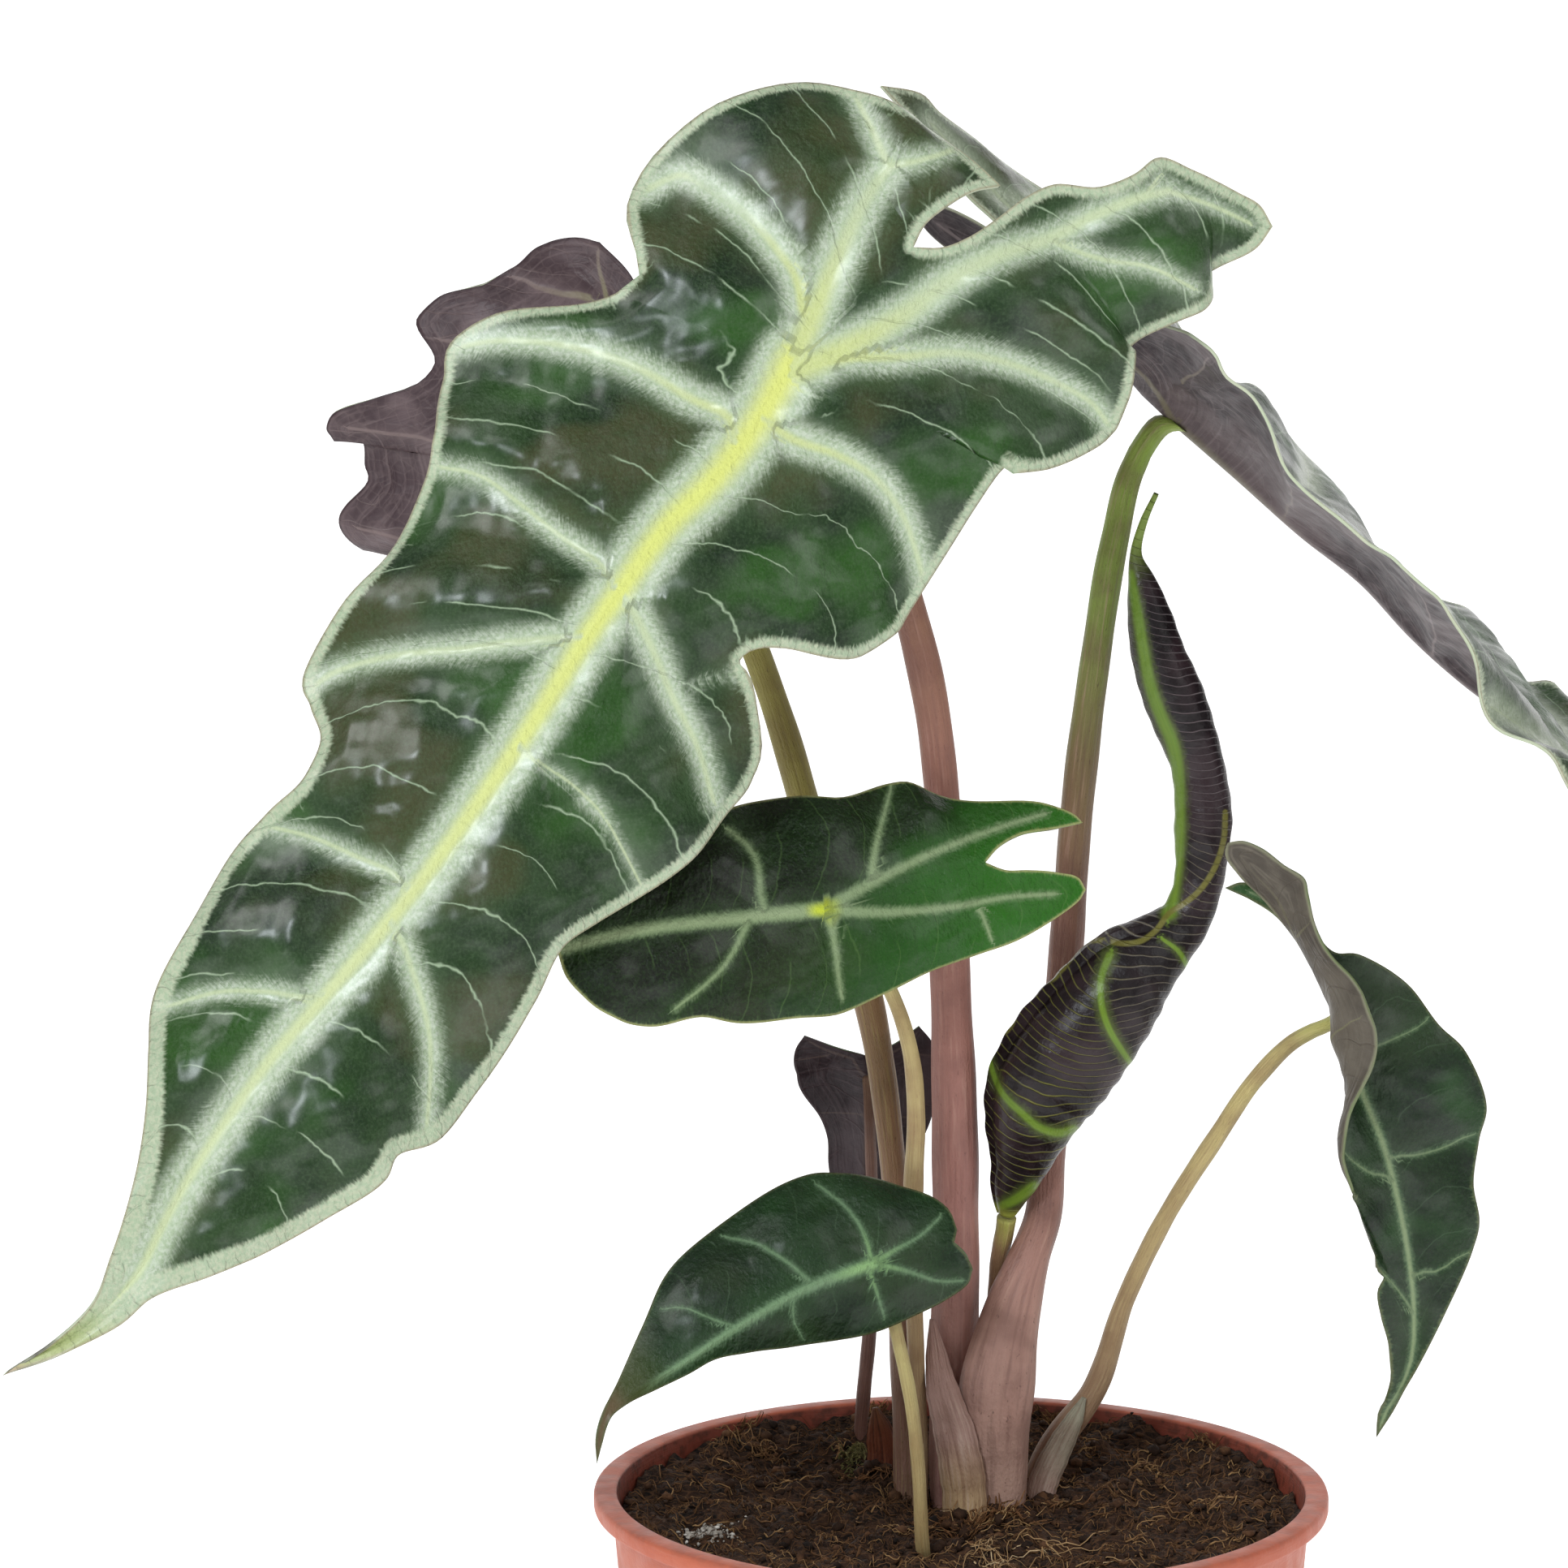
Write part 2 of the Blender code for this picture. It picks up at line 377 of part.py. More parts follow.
# Stalks. foot is where the stalk stands in the corm or peat, as world x and y. The rest is drawn in the
# front view as (x, v, y, half width across, half width in depth), up to the junction with the blade.
STALKS = {
    "hero": {
        "foot": (-0.6, 13.0, 3.6, 3.4),
        "path": [(-1.4, 2, 12.6, 3.8, 3.5), (-1.2, 17, 12, 3.9, 3.7), (-0.9, 31, 11, 3.9, 3.8),
                 (-1, 60, 9.5, 3.7, 3.6), (-1.8, 85, 8.5, 3.3, 3.2), (-2.8, 110, 7.5, 2.9, 2.8),
                 (-5.2, 130, 6.5, 2.8, 2.7), (-10.4, 150, 5, 2.7, 2.6), (-17, 167, 1, 2.6, 2.5)],
    },
    "back": {
        "foot": (-8.6, 16.5, 2.4, 2.4),
        "path": [(-8.6, 2, 16.5, 2.5, 2.4), (-9.2, 22, 17, 2.4, 2.3), (-11, 52, 18, 2.1, 2.1),
                 (-14.9, 78.6, 19.5, 2.5, 2.3), (-24.5, 108, 21.5, 2.6, 2.4), (-29.1, 124, 22.5, 2.4, 2.3),
                 (-34, 138, 23.5, 2.3, 2.2), (-40, 152, 24.5, 2.2, 2.1), (-45.5, 165, 26, 2.1, 2.1)],
    },
    "right": {
        "foot": (5.4, 5.4, 5.2, 2.9),
        "path": [(5.4, 4, 4.6, 5.6, 2.9), (5.9, 16, 4.7, 6, 3), (9.0, 30.8, 7.6, 4.4, 3),
                 (11.2, 37.5, 10.2, 3.5, 3), (13.4, 44, 14.2, 3, 2.9), (14.2, 54, 18.5, 2.9, 2.8),
                 (15.8, 72, 24, 2.8, 2.8), (17.4, 90, 25, 2.8, 2.7), (18.9, 110, 25.2, 2.7, 2.6),
                 (22.1, 136, 25.4, 2.5, 2.4), (25.2, 155, 25.5, 2.3, 2.3), (28.3, 167, 25.5, 2.1, 2.2),
                 (31.6, 172.4, 25.4, 2, 2.1)],
    },
    "middle": {
        "foot": (-6.6, 7.8, 1.3, 1.3),
        "path": [(-6.6, 4, 6.8, 1.3, 1.3), (-7.6, 30, 3, 1.4, 1.4), (-7.7, 50.7, -1, 1.6, 1.5),
                 (-7.3, 60, -3.5, 1.5, 1.5), (-8.4, 72, -7, 1.3, 1.3), (-11.2, 80.5, -10, 1.2, 1.2),
                 (-15.4, 87.4, -14, 1.2, 1.2)],
    },
    "front": {
        "foot": (-4.5, 1.5, 1.1, 1.1),
        "path": [(-6.2, -10.1, -15.5, 1.15, 1.15), (-7, 4, -16, 1.1, 1.1), (-8.3, 15, -16.2, 1.1, 1.1),
                 (-10, 23, -16.4, 1.1, 1.1), (-12, 31, -17.2, 1.1, 1.1)],
    },
    "side": {
        "foot": (9.6, 14.5, 1.8, 1.6),
        "path": [(12.4, -1, 17.8, 3, 1.9), (15.6, 7, 17.4, 2.6, 1.8), (21.6, 15.5, 16.4, 2.1, 1.7),
                 (27, 30.8, 14.5, 1.6, 1.6), (33.5, 44.1, 12.5, 1.5, 1.5), (41.8, 57.2, 10.5, 1.5, 1.4),
                 (48.6, 67.1, 9, 1.4, 1.3), (54.3, 72.8, 8, 1.3, 1.3), (59.6, 75.8, 7, 1.2, 1.2)],
    },
    "small": {
        "foot": (-5.5, 21.0, 1.0, 1.0),
        "path": [(-16.4, 6.5, 41, 1.0, 1.0), (-15.9, 15, 41.5, 1.2, 1.1), (-15, 24.4, 42, 1.2, 1.1),
                 (-14.4, 40, 42, 1.1, 1.0), (-14.6, 52, 41, 1, 1), (-15, 62, 40.6, 0.9, 0.9)],
    },
}

# Rolled new leaf: (x, v, y, radius, turn of the free margin in degrees, 0 to the right, 90 to the back)
ROLL = [(7.5, 44.6, 10.8, 1.6, 180), (8.2, 48, 9.8, 3.4, 180), (9.8, 53, 8.6, 5.2, 180),
        (11.1, 58.5, 7.6, 7.5, 180), (13, 64.2, 7, 9.5, 182), (17, 70.5, 6.6, 10.3, 186),
        (22.4, 77.3, 7, 9.7, 192), (28, 84.3, 8.4, 8.3, 205), (33.1, 88.8, 10, 6, 225),
        (36.7, 92.4, 11.4, 4.7, 250), (38.7, 97, 12.2, 4.4, 280), (39.6, 101.6, 13, 4.7, 305),
        (39.7, 107.1, 13.4, 5.1, 335), (39.4, 112.5, 13.8, 4.8, 360), (38.4, 118.7, 14, 4.6, 375),
        (36.3, 124.6, 14, 5.1, 385), (34.4, 129.6, 14, 5.3, 392), (32.1, 135.9, 14, 4.7, 400),
        (30.7, 142.1, 14, 3.9, 400), (29.6, 147.6, 14, 2.6, 400), (28.6, 152.4, 14, 1.1, 400),
        (29.8, 157.7, 14, 0.7, 400), (32, 162.6, 14, 0.45, 400)]
ROLL_STALK = {
    "foot": (4.6, 16.0, 1.2, 1.2),
    "path": [(4.8, 6, 16, 1.2, 1.2), (5, 18, 15.6, 1.2, 1.2), (5.6, 31, 14.4, 1.3, 1.3),
             (6.5, 38.5, 12.9, 1.4, 1.4), (7.2, 42, 11.8, 1.4, 1.4), (7.5, 43.9, 11.1, 1.4, 1.4)],
}
ROLL_SIDES = 16
ROLL_RINGS = 30
ROLL_STEP = 0.18
ROLL_FLATNESS = 0.82

# Sheaths and scales at the foot: (x, v, y, half width, half thickness) in the front view
OLD_SHEATH = {
    "foot": (0.4, 0.2, 3.3, 0.8),
    "path": [(0.6, -2, 0.2, 3.5, 0.8), (-0.9, 8, 0.6, 3.3, 0.8), (-3.3, 17, 3.4, 2.4, 0.7),
             (-4.3, 24, 6, 1.2, 0.6), (-4.7, 27.5, 6.4, 0.4, 0.4)],
}
SIDE_SHEATH = {
    "foot": (12.8, 12.4, 2.2, 0.7),
    "path": [(13.6, 1, 13.8, 2.4, 0.7), (16.4, 7, 14.3, 2.1, 0.6), (19, 12, 14.4, 1.2, 0.5),
             (20.2, 14.6, 14.4, 0.4, 0.4)],
}
BROWN_SCALE = {
    "foot": (-12.6, 24.0, 2.0, 0.6),
    "path": [(-12.8, 5, 24.5, 2.4, 0.6), (-13.2, 9, 24.6, 2.1, 0.6), (-14, 13, 24.7, 0.5, 0.4)],
}


def clear_scene():
    for obj in list(bpy.data.objects):
        bpy.data.objects.remove(obj, do_unlink=True)


def material(name, colour, roughness, metallic=0.0):
    made = bpy.data.materials.new(name)
    made.use_nodes = True
    shader = made.node_tree.nodes["Principled BSDF"]
    shader.inputs["Base Color"].default_value = (*colour, 1.0)
    shader.inputs["Roughness"].default_value = roughness
    shader.inputs["Metallic"].default_value = metallic
    made.diffuse_color = (*colour, 1.0)
    return made


def add_object(name, mesh, slot):
    obj = bpy.data.objects.new(name, mesh)
    bpy.context.scene.collection.objects.link(obj)
    mesh.materials.append(slot)
    return obj


def mesh_object(name, points, faces, slot):
    """An object from points in millimetres and faces, shaded smooth."""
    mesh = bpy.data.meshes.new(name)
    mesh.from_pydata((np.asarray(points) * MM).tolist(), [], [list(map(int, f)) for f in faces])
    mesh.shade_smooth()
    return add_object(name, mesh, slot)


def cutter(name, points, faces):
    """A helper for a Boolean, out of the render and drawn as wire."""
    obj = mesh_object(name, points, faces, None)
    obj.hide_render = True
    obj.display_type = "WIRE"
    return obj


def boolean(obj, operation, helpers):
    """One Boolean of a collection of helpers on obj, applied, with the helpers then removed."""
    group = bpy.data.collections.new(obj.name + "_helpers")
    bpy.context.scene.collection.children.link(group)
    for helper in helpers:
        group.objects.link(helper)
    change = obj.modifiers.new(operation.title(), "BOOLEAN")
    change.operation = operation
    change.operand_type = "COLLECTION"
    change.collection = group
    change.solver = "EXACT"
    graph = bpy.context.evaluated_depsgraph_get()
    mesh = bpy.data.meshes.new_from_object(obj.evaluated_get(graph))
    obj.modifiers.remove(change)
    obj.data = mesh
    for helper in helpers:
        bpy.data.objects.remove(helper, do_unlink=True)
    bpy.data.collections.remove(group)


def welded(points, faces):
    """Points that coincide made one, and the faces that this collapses left out."""
    _, first, index = np.unique(
        np.round(points / WELD_WITHIN).astype(int), axis=0, return_index=True, return_inverse=True
    )
    faces = index.reshape(-1)[faces]
    whole = (faces[:, 0] != faces[:, 1]) & (faces[:, 1] != faces[:, 2]) & (faces[:, 0] != faces[:, 2])
    return points[first], faces[whole], first


def point_normals(points, faces):
    """Unit normals at the points of a triangle mesh, weighted by area."""
    corner = points[faces]
    across = np.cross(corner[:, 1] - corner[:, 0], corner[:, 2] - corner[:, 0])
    total = np.zeros_like(points)
    for k in range(3):
        np.add.at(total, faces[:, k], across)
    return total / np.maximum(np.linalg.norm(total, axis=1), 1e-9)[:, None]


def evened(normals, ends):
    """Normals averaged with their neighbours' a few times, so that they don't cross under a fold."""
    for _ in range(EVENING):
        total = normals.copy()
        np.add.at(total, ends[:, 0], normals[ends[:, 1]])
        np.add.at(total, ends[:, 1], normals[ends[:, 0]])
        normals = total / np.linalg.norm(total, axis=1)[:, None]
    return normals


def leaf_points(leaf, points):
    """Front-view points of a leaf with the depth of its own leaning plane added to each."""
    points = np.array(points, float)
    start = leaf["midrib"][0]
    lean_x, lean_v = leaf["lean"]
    points[:, 2] += leaf["depth"] + lean_x * (points[:, 0] - start[0]) + lean_v * (points[:, 1] - start[1])
    return points


def blade_rows(inner, junction, rows):
    """The t of each cross line: along the lobe's edge, the neck, then the midrib, closer at its start."""
    edge = np.linalg.norm(np.diff(inner, axis=0), axis=1).sum()
    neck = np.linalg.norm(junction - inner[-1])
    notch = -neck / (edge + neck)
    lobe_rows, neck_rows, midrib_rows = rows
    lobe = np.linspace(-1, notch, lobe_rows, endpoint=False)
    between = np.linspace(notch, 0, neck_rows, endpoint=False)
    return np.concatenate([lobe, between, np.linspace(0, 1, midrib_rows + 1) ** ROW_CLOSENESS]), notch


def half_blade(leaf, side, rows, columns):
    """World grid of half a blade, from its inner edge or midrib to its margin, with folds and relief."""
    half = leaf[side]
    midrib = leaf_points(leaf, leaf["midrib"])
    inner = leaf_points(leaf, half["inner"])
    t, notch = blade_rows(inner, midrib[0], rows)
    on_lobe = smooth(along(inner) * (1 + notch) - 1, inner, np.clip(t, -1, notch))
    on_neck = midrib[0] + (inner[-1] - midrib[0]) * np.clip(t / notch, 0, 1)[:, None]
    on_midrib = smooth(along(midrib), midrib, np.clip(t, 0, 1))
    start = np.where((t < notch)[:, None], on_lobe, np.where((t < 0)[:, None], on_neck, on_midrib))
    outer = np.array(half["outer"], float)
    edge = smooth(outer[:, 0], leaf_points(leaf, outer[:, 1:]), t)
    belly = np.array(half.get("belly", [(-1, 0, 0, 0), (0, 0, 0, 0), (1, 0, 0, 0)]), float)
    middle = (start + edge) / 2 + smooth(belly[:, 0], belly[:, 1:], t)
    w = np.asarray(columns)[None, :, None]
    a, m, b = start[:, None], middle[:, None], edge[:, None]
    grid = front(a * (1 - w) ** 2 + m * 2 * w * (1 - w) + b * w * w)
    return relief(leaf, side, grid, t, np.asarray(columns))


def top_side(leaf, side):
    """Which way the cross product of a half's two directions points: 1 to the leaf's upper side, else -1."""
    return 1 if (side == "right") == leaf["faces_front"] else -1


def relief(leaf, side, grid, t, w):
    """Lifts the fields between side veins, waves the margin and arches it back, square to the blade."""
    down = np.gradient(grid, axis=0)
    across = np.gradient(grid, axis=1)
    square = np.cross(down, across)
    square *= top_side(leaf, side) / np.maximum(np.linalg.norm(square, axis=2), 1e-6)[..., None]
    ribs = np.array([-1.0, *leaf[side]["ribs"]])
    phase = np.interp(t, ribs, np.arange(len(ribs)))[:, None]
    width = np.linalg.norm(grid[:, -1] - grid[:, 0], axis=1)[:, None]
    fade = np.clip(width / FULL_RELIEF, 0, 1) ** 2
    field = np.abs(np.sin(np.pi * phase)) * 4 * w * (1 - w)
    lift = leaf["puff"] * field - leaf["wave"] * np.cos(2 * np.pi * phase) * w**3 - leaf["arch"] * w**2
    ridge = np.clip(width / FULL_RIB, 0, 1) * np.exp(-((width * w / RIB_WIDTH) ** 2))
    return grid + square * (lift * fade)[..., None], ridge


def blade_sheet(leaf, rows, columns):
    """The middle surface of a blade: points, triangles that face its upper side, and its midrib's share."""
    points, faces, ridge = [], [], []
    start = 0
    lobe_rows, neck_rows, midrib_rows = rows
    strength = np.concatenate([np.zeros(lobe_rows), np.linspace(0, 1, neck_rows, endpoint=False),
                               np.linspace(1, 0, midrib_rows + 1) ** RIDGE_TAPER])
    for side in ("left", "right"):
        grid, share = half_blade(leaf, side, rows, columns)
        count, across = grid.shape[:2]
        index = start + np.arange(count * across).reshape(count, across)
        a, b = index[:-1, :-1].ravel(), index[1:, :-1].ravel()
        c, d = index[1:, 1:].ravel(), index[:-1, 1:].ravel()
        halves = np.concatenate([np.stack([a, b, c], 1), np.stack([a, c, d], 1)])
        faces.append(halves if top_side(leaf, side) > 0 else halves[:, ::-1])
        points.append(grid.reshape(-1, 3))
        ridge.append((strength[:, None] * share).ravel())
        start += count * across
    points, faces, kept = welded(np.concatenate(points), np.concatenate(faces))
    return points, faces, np.concatenate(ridge)[kept]


def shell(points, faces, above, below):
    """A closed wall round a sheet: its copy lifted by above, its copy sunk by below, and the rim between."""
    count = len(points)
    ends = np.concatenate([faces[:, [0, 1]], faces[:, [1, 2]], faces[:, [2, 0]]])
    normals = evened(point_normals(points, faces), ends)
    paired = {tuple(e) for e in ends.tolist()}
    rim = np.array([(a, b) for a, b in ends.tolist() if (b, a) not in paired])
    a, b = rim[:, 0], rim[:, 1]
    walls = np.concatenate([np.stack([b, a, a + count], 1), np.stack([b, a + count, b + count], 1)])
    top = points + normals * np.asarray(above).reshape(-1, 1)
    under = points - normals * np.asarray(below).reshape(-1, 1)
    return np.concatenate([top, under]), np.concatenate([faces, faces[:, ::-1] + count, walls])


def add_blade(leaf, slot):
    """A leaf's blade with its raised midrib below, and the place and direction for the stalk's end."""
    points, faces, ridge = blade_sheet(leaf, leaf["rows"], BLADE_COLUMNS)
    junction = front(leaf_points(leaf, leaf["midrib"]))[0]
    nearest = np.argmin(np.linalg.norm(points - junction, axis=1))
    up = point_normals(points, faces)[nearest]
    seat = points[nearest] - up * (BLADE / 2 + RIB_HEIGHT + STALK_CLEARANCE)
    solid, sides = shell(points, faces, np.full(len(points), BLADE / 2), BLADE / 2 + RIB_HEIGHT * ridge)
    mesh_object(leaf["name"] + "_blade", solid, sides, slot)
    return seat, up


def stalk_path(spec, foot_depth):
    """World points and half widths of a stalk or sheath, from its foot in the peat to its last drawn point."""
    drawn = np.array(spec["path"], float)
    x, y, wide, deep = spec["foot"]
    upright = [(x, y, foot_depth), (x, y, foot_depth + FOOT_RISE)]
    points = np.concatenate([upright, front(drawn[:, :3])])
    return points, np.concatenate([[(wide, deep)] * 2, drawn[:, 3:]])


def tube_rings(points, sizes, sides, rings, grow=0.0, end_square=None):
    """Elliptical rings along a smooth curve; end_square tilts the last ring to that normal."""
    keys = along(points)
    at = np.linspace(0, 1, rings)
    centre = smooth(keys, points, at)
    size = smooth(keys, sizes, at) + grow
    tangent = np.gradient(centre, axis=0)
    tangent[0] = points[1] - points[0]
    tangent /= np.linalg.norm(tangent, axis=1)[:, None]
    deep = np.array([0.0, 1.0, 0.0]) - tangent * tangent[:, 1:2]
    deep /= np.linalg.norm(deep, axis=1)[:, None]
    wide = np.cross(deep, tangent)
    angle = np.linspace(0, 2 * np.pi, sides, endpoint=False)[None, :, None]
    ring = centre[:, None] + wide[:, None] * size[:, None, :1] * np.cos(angle)
    ring = ring + deep[:, None] * size[:, None, 1:] * np.sin(angle)
    if end_square is not None:
        off = (centre[-1] - ring[-1]) @ end_square
        ring[-1] += off[:, None] * tangent[-1] / (tangent[-1] @ end_square)
    return ring


def ring_solid(ring):
    """A closed solid from rings of points, with a fan over each end, its faces outwards."""
    count, sides = ring.shape[:2]
    points = np.concatenate([ring.reshape(-1, 3), ring[:1].mean(axis=1), ring[-1:].mean(axis=1)])
    index = np.arange(count * sides).reshape(count, sides)
    turned = np.roll(index, -1, axis=1)
    a, b, c, d = index[:-1].ravel(), turned[:-1].ravel(), turned[1:].ravel(), index[1:].ravel()
    low, high = count * sides, count * sides + 1
    ends = [np.stack([np.full(sides, low), turned[0], index[0]], 1),
            np.stack([np.full(sides, high), index[-1], turned[-1]], 1)]
    return points, np.concatenate([np.stack([a, b, c], 1), np.stack([a, c, d], 1), *ends])


def add_stalk(name, spec, slot, seat=None, up=None, foot_depth=CORM_TOP + GAP):
    """A stalk from its foot to the seat under its blade, if it has one. Returns its hole in the peat."""
    points, sizes = stalk_path(spec, foot_depth)
    if seat is not None:
        points = np.concatenate([points, [seat]])
        sizes = np.concatenate([sizes, sizes[-1:]])
    rings = EXTRA_RINGS + len(points)
    mesh_object(name, *ring_solid(tube_rings(points, sizes, STALK_SIDES, rings, end_square=up)), slot)
    wider = tube_rings(points, sizes, STALK_SIDES, rings, grow=GAP)
    wider[0, :, 2] -= 2 * GAP
    clear = wider[:, :, 2].min(axis=1) > SOIL_TOP + HOLE_ABOVE
    wider = wider[: np.argmax(clear) + 1] if clear.any() else wider
    return cutter(name + "_hole", *ring_solid(wider))


def add_roll(slot):
    """The rolled new leaf: each ring is one turn of a spiral, whose step is the free margin."""
    drawn = np.array(ROLL, float)
    points = front(drawn[:, :3])
    keys = along(points)
    at = np.linspace(0, 1, ROLL_RINGS)
    centre = smooth(keys, points, at)
    radius, turn = smooth(keys, drawn[:, 3:], at).T
    tangent = np.gradient(centre, axis=0)
    tangent /= np.linalg.norm(tangent, axis=1)[:, None]
    back = np.array([0.0, 1.0, 0.0]) - tangent * tangent[:, 1:2]
    back /= np.linalg.norm(back, axis=1)[:, None]
    aside = np.cross(back, tangent)
    share = np.linspace(0, 1, ROLL_SIDES)
    angle = np.radians(turn)[:, None] + 2 * np.pi * share * (ROLL_SIDES - 1) / ROLL_SIDES
    reach = radius[:, None] * (1 - ROLL_STEP * (1 - share))
    ring = centre[:, None] + aside[:, None] * (reach * np.cos(angle))[..., None]
    ring = ring + back[:, None] * (ROLL_FLATNESS * reach * np.sin(angle))[..., None]
    mesh_object("new_leaf_roll", *ring_solid(ring), slot)


def lathe(profile, sides):
    """A closed turned solid from a profile (radius, height) that starts and ends on the axis."""
    profile = np.array(profile, float)
    angle = np.linspace(0, 2 * np.pi, sides, endpoint=False)
    rings = profile[1:-1]
    ring = np.stack([rings[:, :1] * np.cos(angle), rings[:, :1] * np.sin(angle),
                     np.repeat(rings[:, 1:], sides, axis=1)], axis=2)
    points, faces = ring_solid(ring)
    points[-2] = (0, 0, profile[0][1])
    points[-1] = (0, 0, profile[-1][1])
    return points, faces


def wall_radius(height):
    """Outer radius of the pot's wall at a height."""
    return BASE_RADIUS + (WALL_TOP_RADIUS - BASE_RADIUS) * height / POT_HEIGHT


def add_pot(slot):
    """The nursery pot: floor, tapered wall and a collar that stands out at the rim, with drain holes."""
    collar = POT_HEIGHT - LIP_HEIGHT
    profile = [
        (0, 0), (BASE_RADIUS - FOOT_CHAMFER, 0), (BASE_RADIUS, FOOT_CHAMFER),
        (wall_radius(collar), collar), (LIP_RADIUS - LIP_BEVEL, collar),
        (LIP_RADIUS, collar + LIP_BEVEL_LONG), (LIP_RADIUS, POT_HEIGHT - LIP_BEVEL),
        (LIP_RADIUS - LIP_BEVEL_LONG, POT_HEIGHT),
        (WALL_TOP_RADIUS - WALL, POT_HEIGHT), (wall_radius(FLOOR) - WALL, FLOOR), (0, FLOOR),
    ]
    pot = mesh_object("pot", *lathe(profile, POT_SIDES), slot)
    drills = []
    for k in range(DRAIN_HOLES):
        turn = 2 * np.pi * (k + 0.5) / DRAIN_HOLES
        reach = [(0, -1), (DRAIN_RADIUS, -1), (DRAIN_RADIUS, FLOOR + 1), (0, FLOOR + 1)]
        drill = lathe(reach, DRAIN_SIDES)
        away = np.array([DRAIN_RING * np.cos(turn), DRAIN_RING * np.sin(turn), 0])
        drills.append(cutter(f"drain_{k}", drill[0] + away, drill[1]))
    boolean(pot, "DIFFERENCE", drills)
    pot.data.set_sharp_from_angle(angle=SHARP_FROM)


def soil_rise(x, y):
    """The peat's height over SOIL_TOP: banked up at the wall and the back, with crossed waves as lumps."""
    bank = SOIL_BANK * (x**2 + y**2) / WALL_TOP_RADIUS**2 + SOIL_SLOPE * y
    first, second, third = SOIL_LUMPS
    lumps = first * np.sin(0.31 * x + 0.9 * np.sin(0.23 * y))
    lumps += second * np.sin(0.47 * y + 1.3 * np.cos(0.29 * x))
    return bank + lumps + third * np.sin(0.8 * x - 0.55 * y + 1.0)


def add_soil(holes, slot):
    """The peat plug that fills the pot, higher at the back, with the stalks' holes."""
    floor = FLOOR + GAP
    inset = WALL + SOIL_CLEARANCE
    reach = wall_radius(SOIL_TOP) - inset
    profile = [(0, floor), (wall_radius(floor) - inset, floor)]
    profile += [(reach * (1 - k / SOIL_RINGS), SOIL_TOP) for k in range(SOIL_RINGS)]
    points, faces = lathe(profile + [(0, SOIL_TOP)], SOIL_SIDES)
    on_top = points[:, 2] > SOIL_TOP - 1
    points[on_top, 2] += soil_rise(points[on_top, 0], points[on_top, 1])
    soil = mesh_object("soil", points, faces, slot)
    boolean(soil, "DIFFERENCE", holes)


def corm_shape(grow):
    """The corm: a blunt turnip shape with root stubs round it, all of it wider by grow."""
    x, y = CORM_CENTRE
    r = CORM_RADIUS + grow
    low = CORM_TOP - CORM_DEPTH - grow
    top = CORM_TOP + grow
    rings = [(share * r, low + height) for share, height in CORM_RINGS]
    body, faces = lathe([(0, low), *rings, (r, top), (0, top)], CORM_SIDES)
    solids = [(body + np.array([x, y, 0]), faces)]
    for k in range(ROOT_STUBS):
        turn = 2 * np.pi * (k + 0.3) / ROOT_STUBS
        out = np.array([np.cos(turn), np.sin(turn), 0.0])
        start = np.array([x, y, CORM_TOP - STUB_DROP]) + out * (CORM_RADIUS - STUB_INSET)
        bend = start + out * STUB_BEND[0] + np.array([0, 0, STUB_BEND[1]])
        end = start + out * (STUB_END[0] + grow) + np.array([0, 0, STUB_END[1] - grow])
        stub = tube_rings(np.array([start, bend, end]), STUB_SIZES, STUB_SIDES, STUB_RINGS, grow=grow)
        solids.append(ring_solid(stub))
    return solids


def add_corm(slot):
    """The corm with its root stubs joined on. Returns the pocket that it needs in the peat."""
    shapes = corm_shape(0.0)
    corm = mesh_object("corm", *shapes[0], slot)
    boolean(corm, "UNION", [cutter(f"stub_{k}", *shape) for k, shape in enumerate(shapes[1:])])
    return [cutter(f"pocket_{k}", *shape) for k, shape in enumerate(corm_shape(GAP))]


def build():
    clear_scene()
    stalk_slots = {
        "hero": material("pink_brown_stalk", (0.33, 0.16, 0.13), 0.55),
        "back": material("olive_stalk", (0.24, 0.19, 0.07), 0.55),
        "right": material("pink_taupe_stalk", (0.30, 0.17, 0.12), 0.55),
        "middle": material("straw_stalk", (0.48, 0.40, 0.17), 0.55),
        "front": material("pale_yellow_stalk", (0.50, 0.44, 0.20), 0.55),
        "side": material("tan_stalk", (0.36, 0.26, 0.14), 0.55),
        "small": material("brown_stalk", (0.28, 0.17, 0.12), 0.55),
    }
    green = material("dark_green_blade", (0.03, 0.09, 0.035), 0.3)
    purple = material("purple_blade", (0.13, 0.10, 0.11), 0.45)
    holes = []
    for leaf in LEAVES:
        name = leaf["name"]
        seat, up = add_blade(leaf, purple if name in ("back", "small", "right") else green)
        holes.append(add_stalk(name + "_stalk", STALKS[name], stalk_slots[name], seat, up))
    add_roll(material("rolled_leaf", (0.06, 0.035, 0.045), 0.4))
    holes.append(add_stalk("new_leaf_stalk", ROLL_STALK, material("lime_stalk", (0.5, 0.55, 0.12), 0.5)))
    sheaths = (
        ("old_sheath", OLD_SHEATH, material("pale_sheath", (0.38, 0.24, 0.2), 0.6)),
        ("side_sheath", SIDE_SHEATH, material("papery_sheath", (0.45, 0.38, 0.33), 0.7)),
        ("brown_scale", BROWN_SCALE, material("brown_scale", (0.16, 0.06, 0.03), 0.7)),
    )
    for name, spec, slot in sheaths:
        holes.append(add_stalk(name, spec, slot, foot_depth=SOIL_TOP - SHEATH_DEPTH))
    holes += add_corm(material("corm", (0.25, 0.14, 0.08), 0.8))
    add_soil(holes, material("peat", (0.035, 0.02, 0.013), 0.95))
    add_pot(material("terracotta_plastic", (0.56, 0.17, 0.09), 0.5))


build()
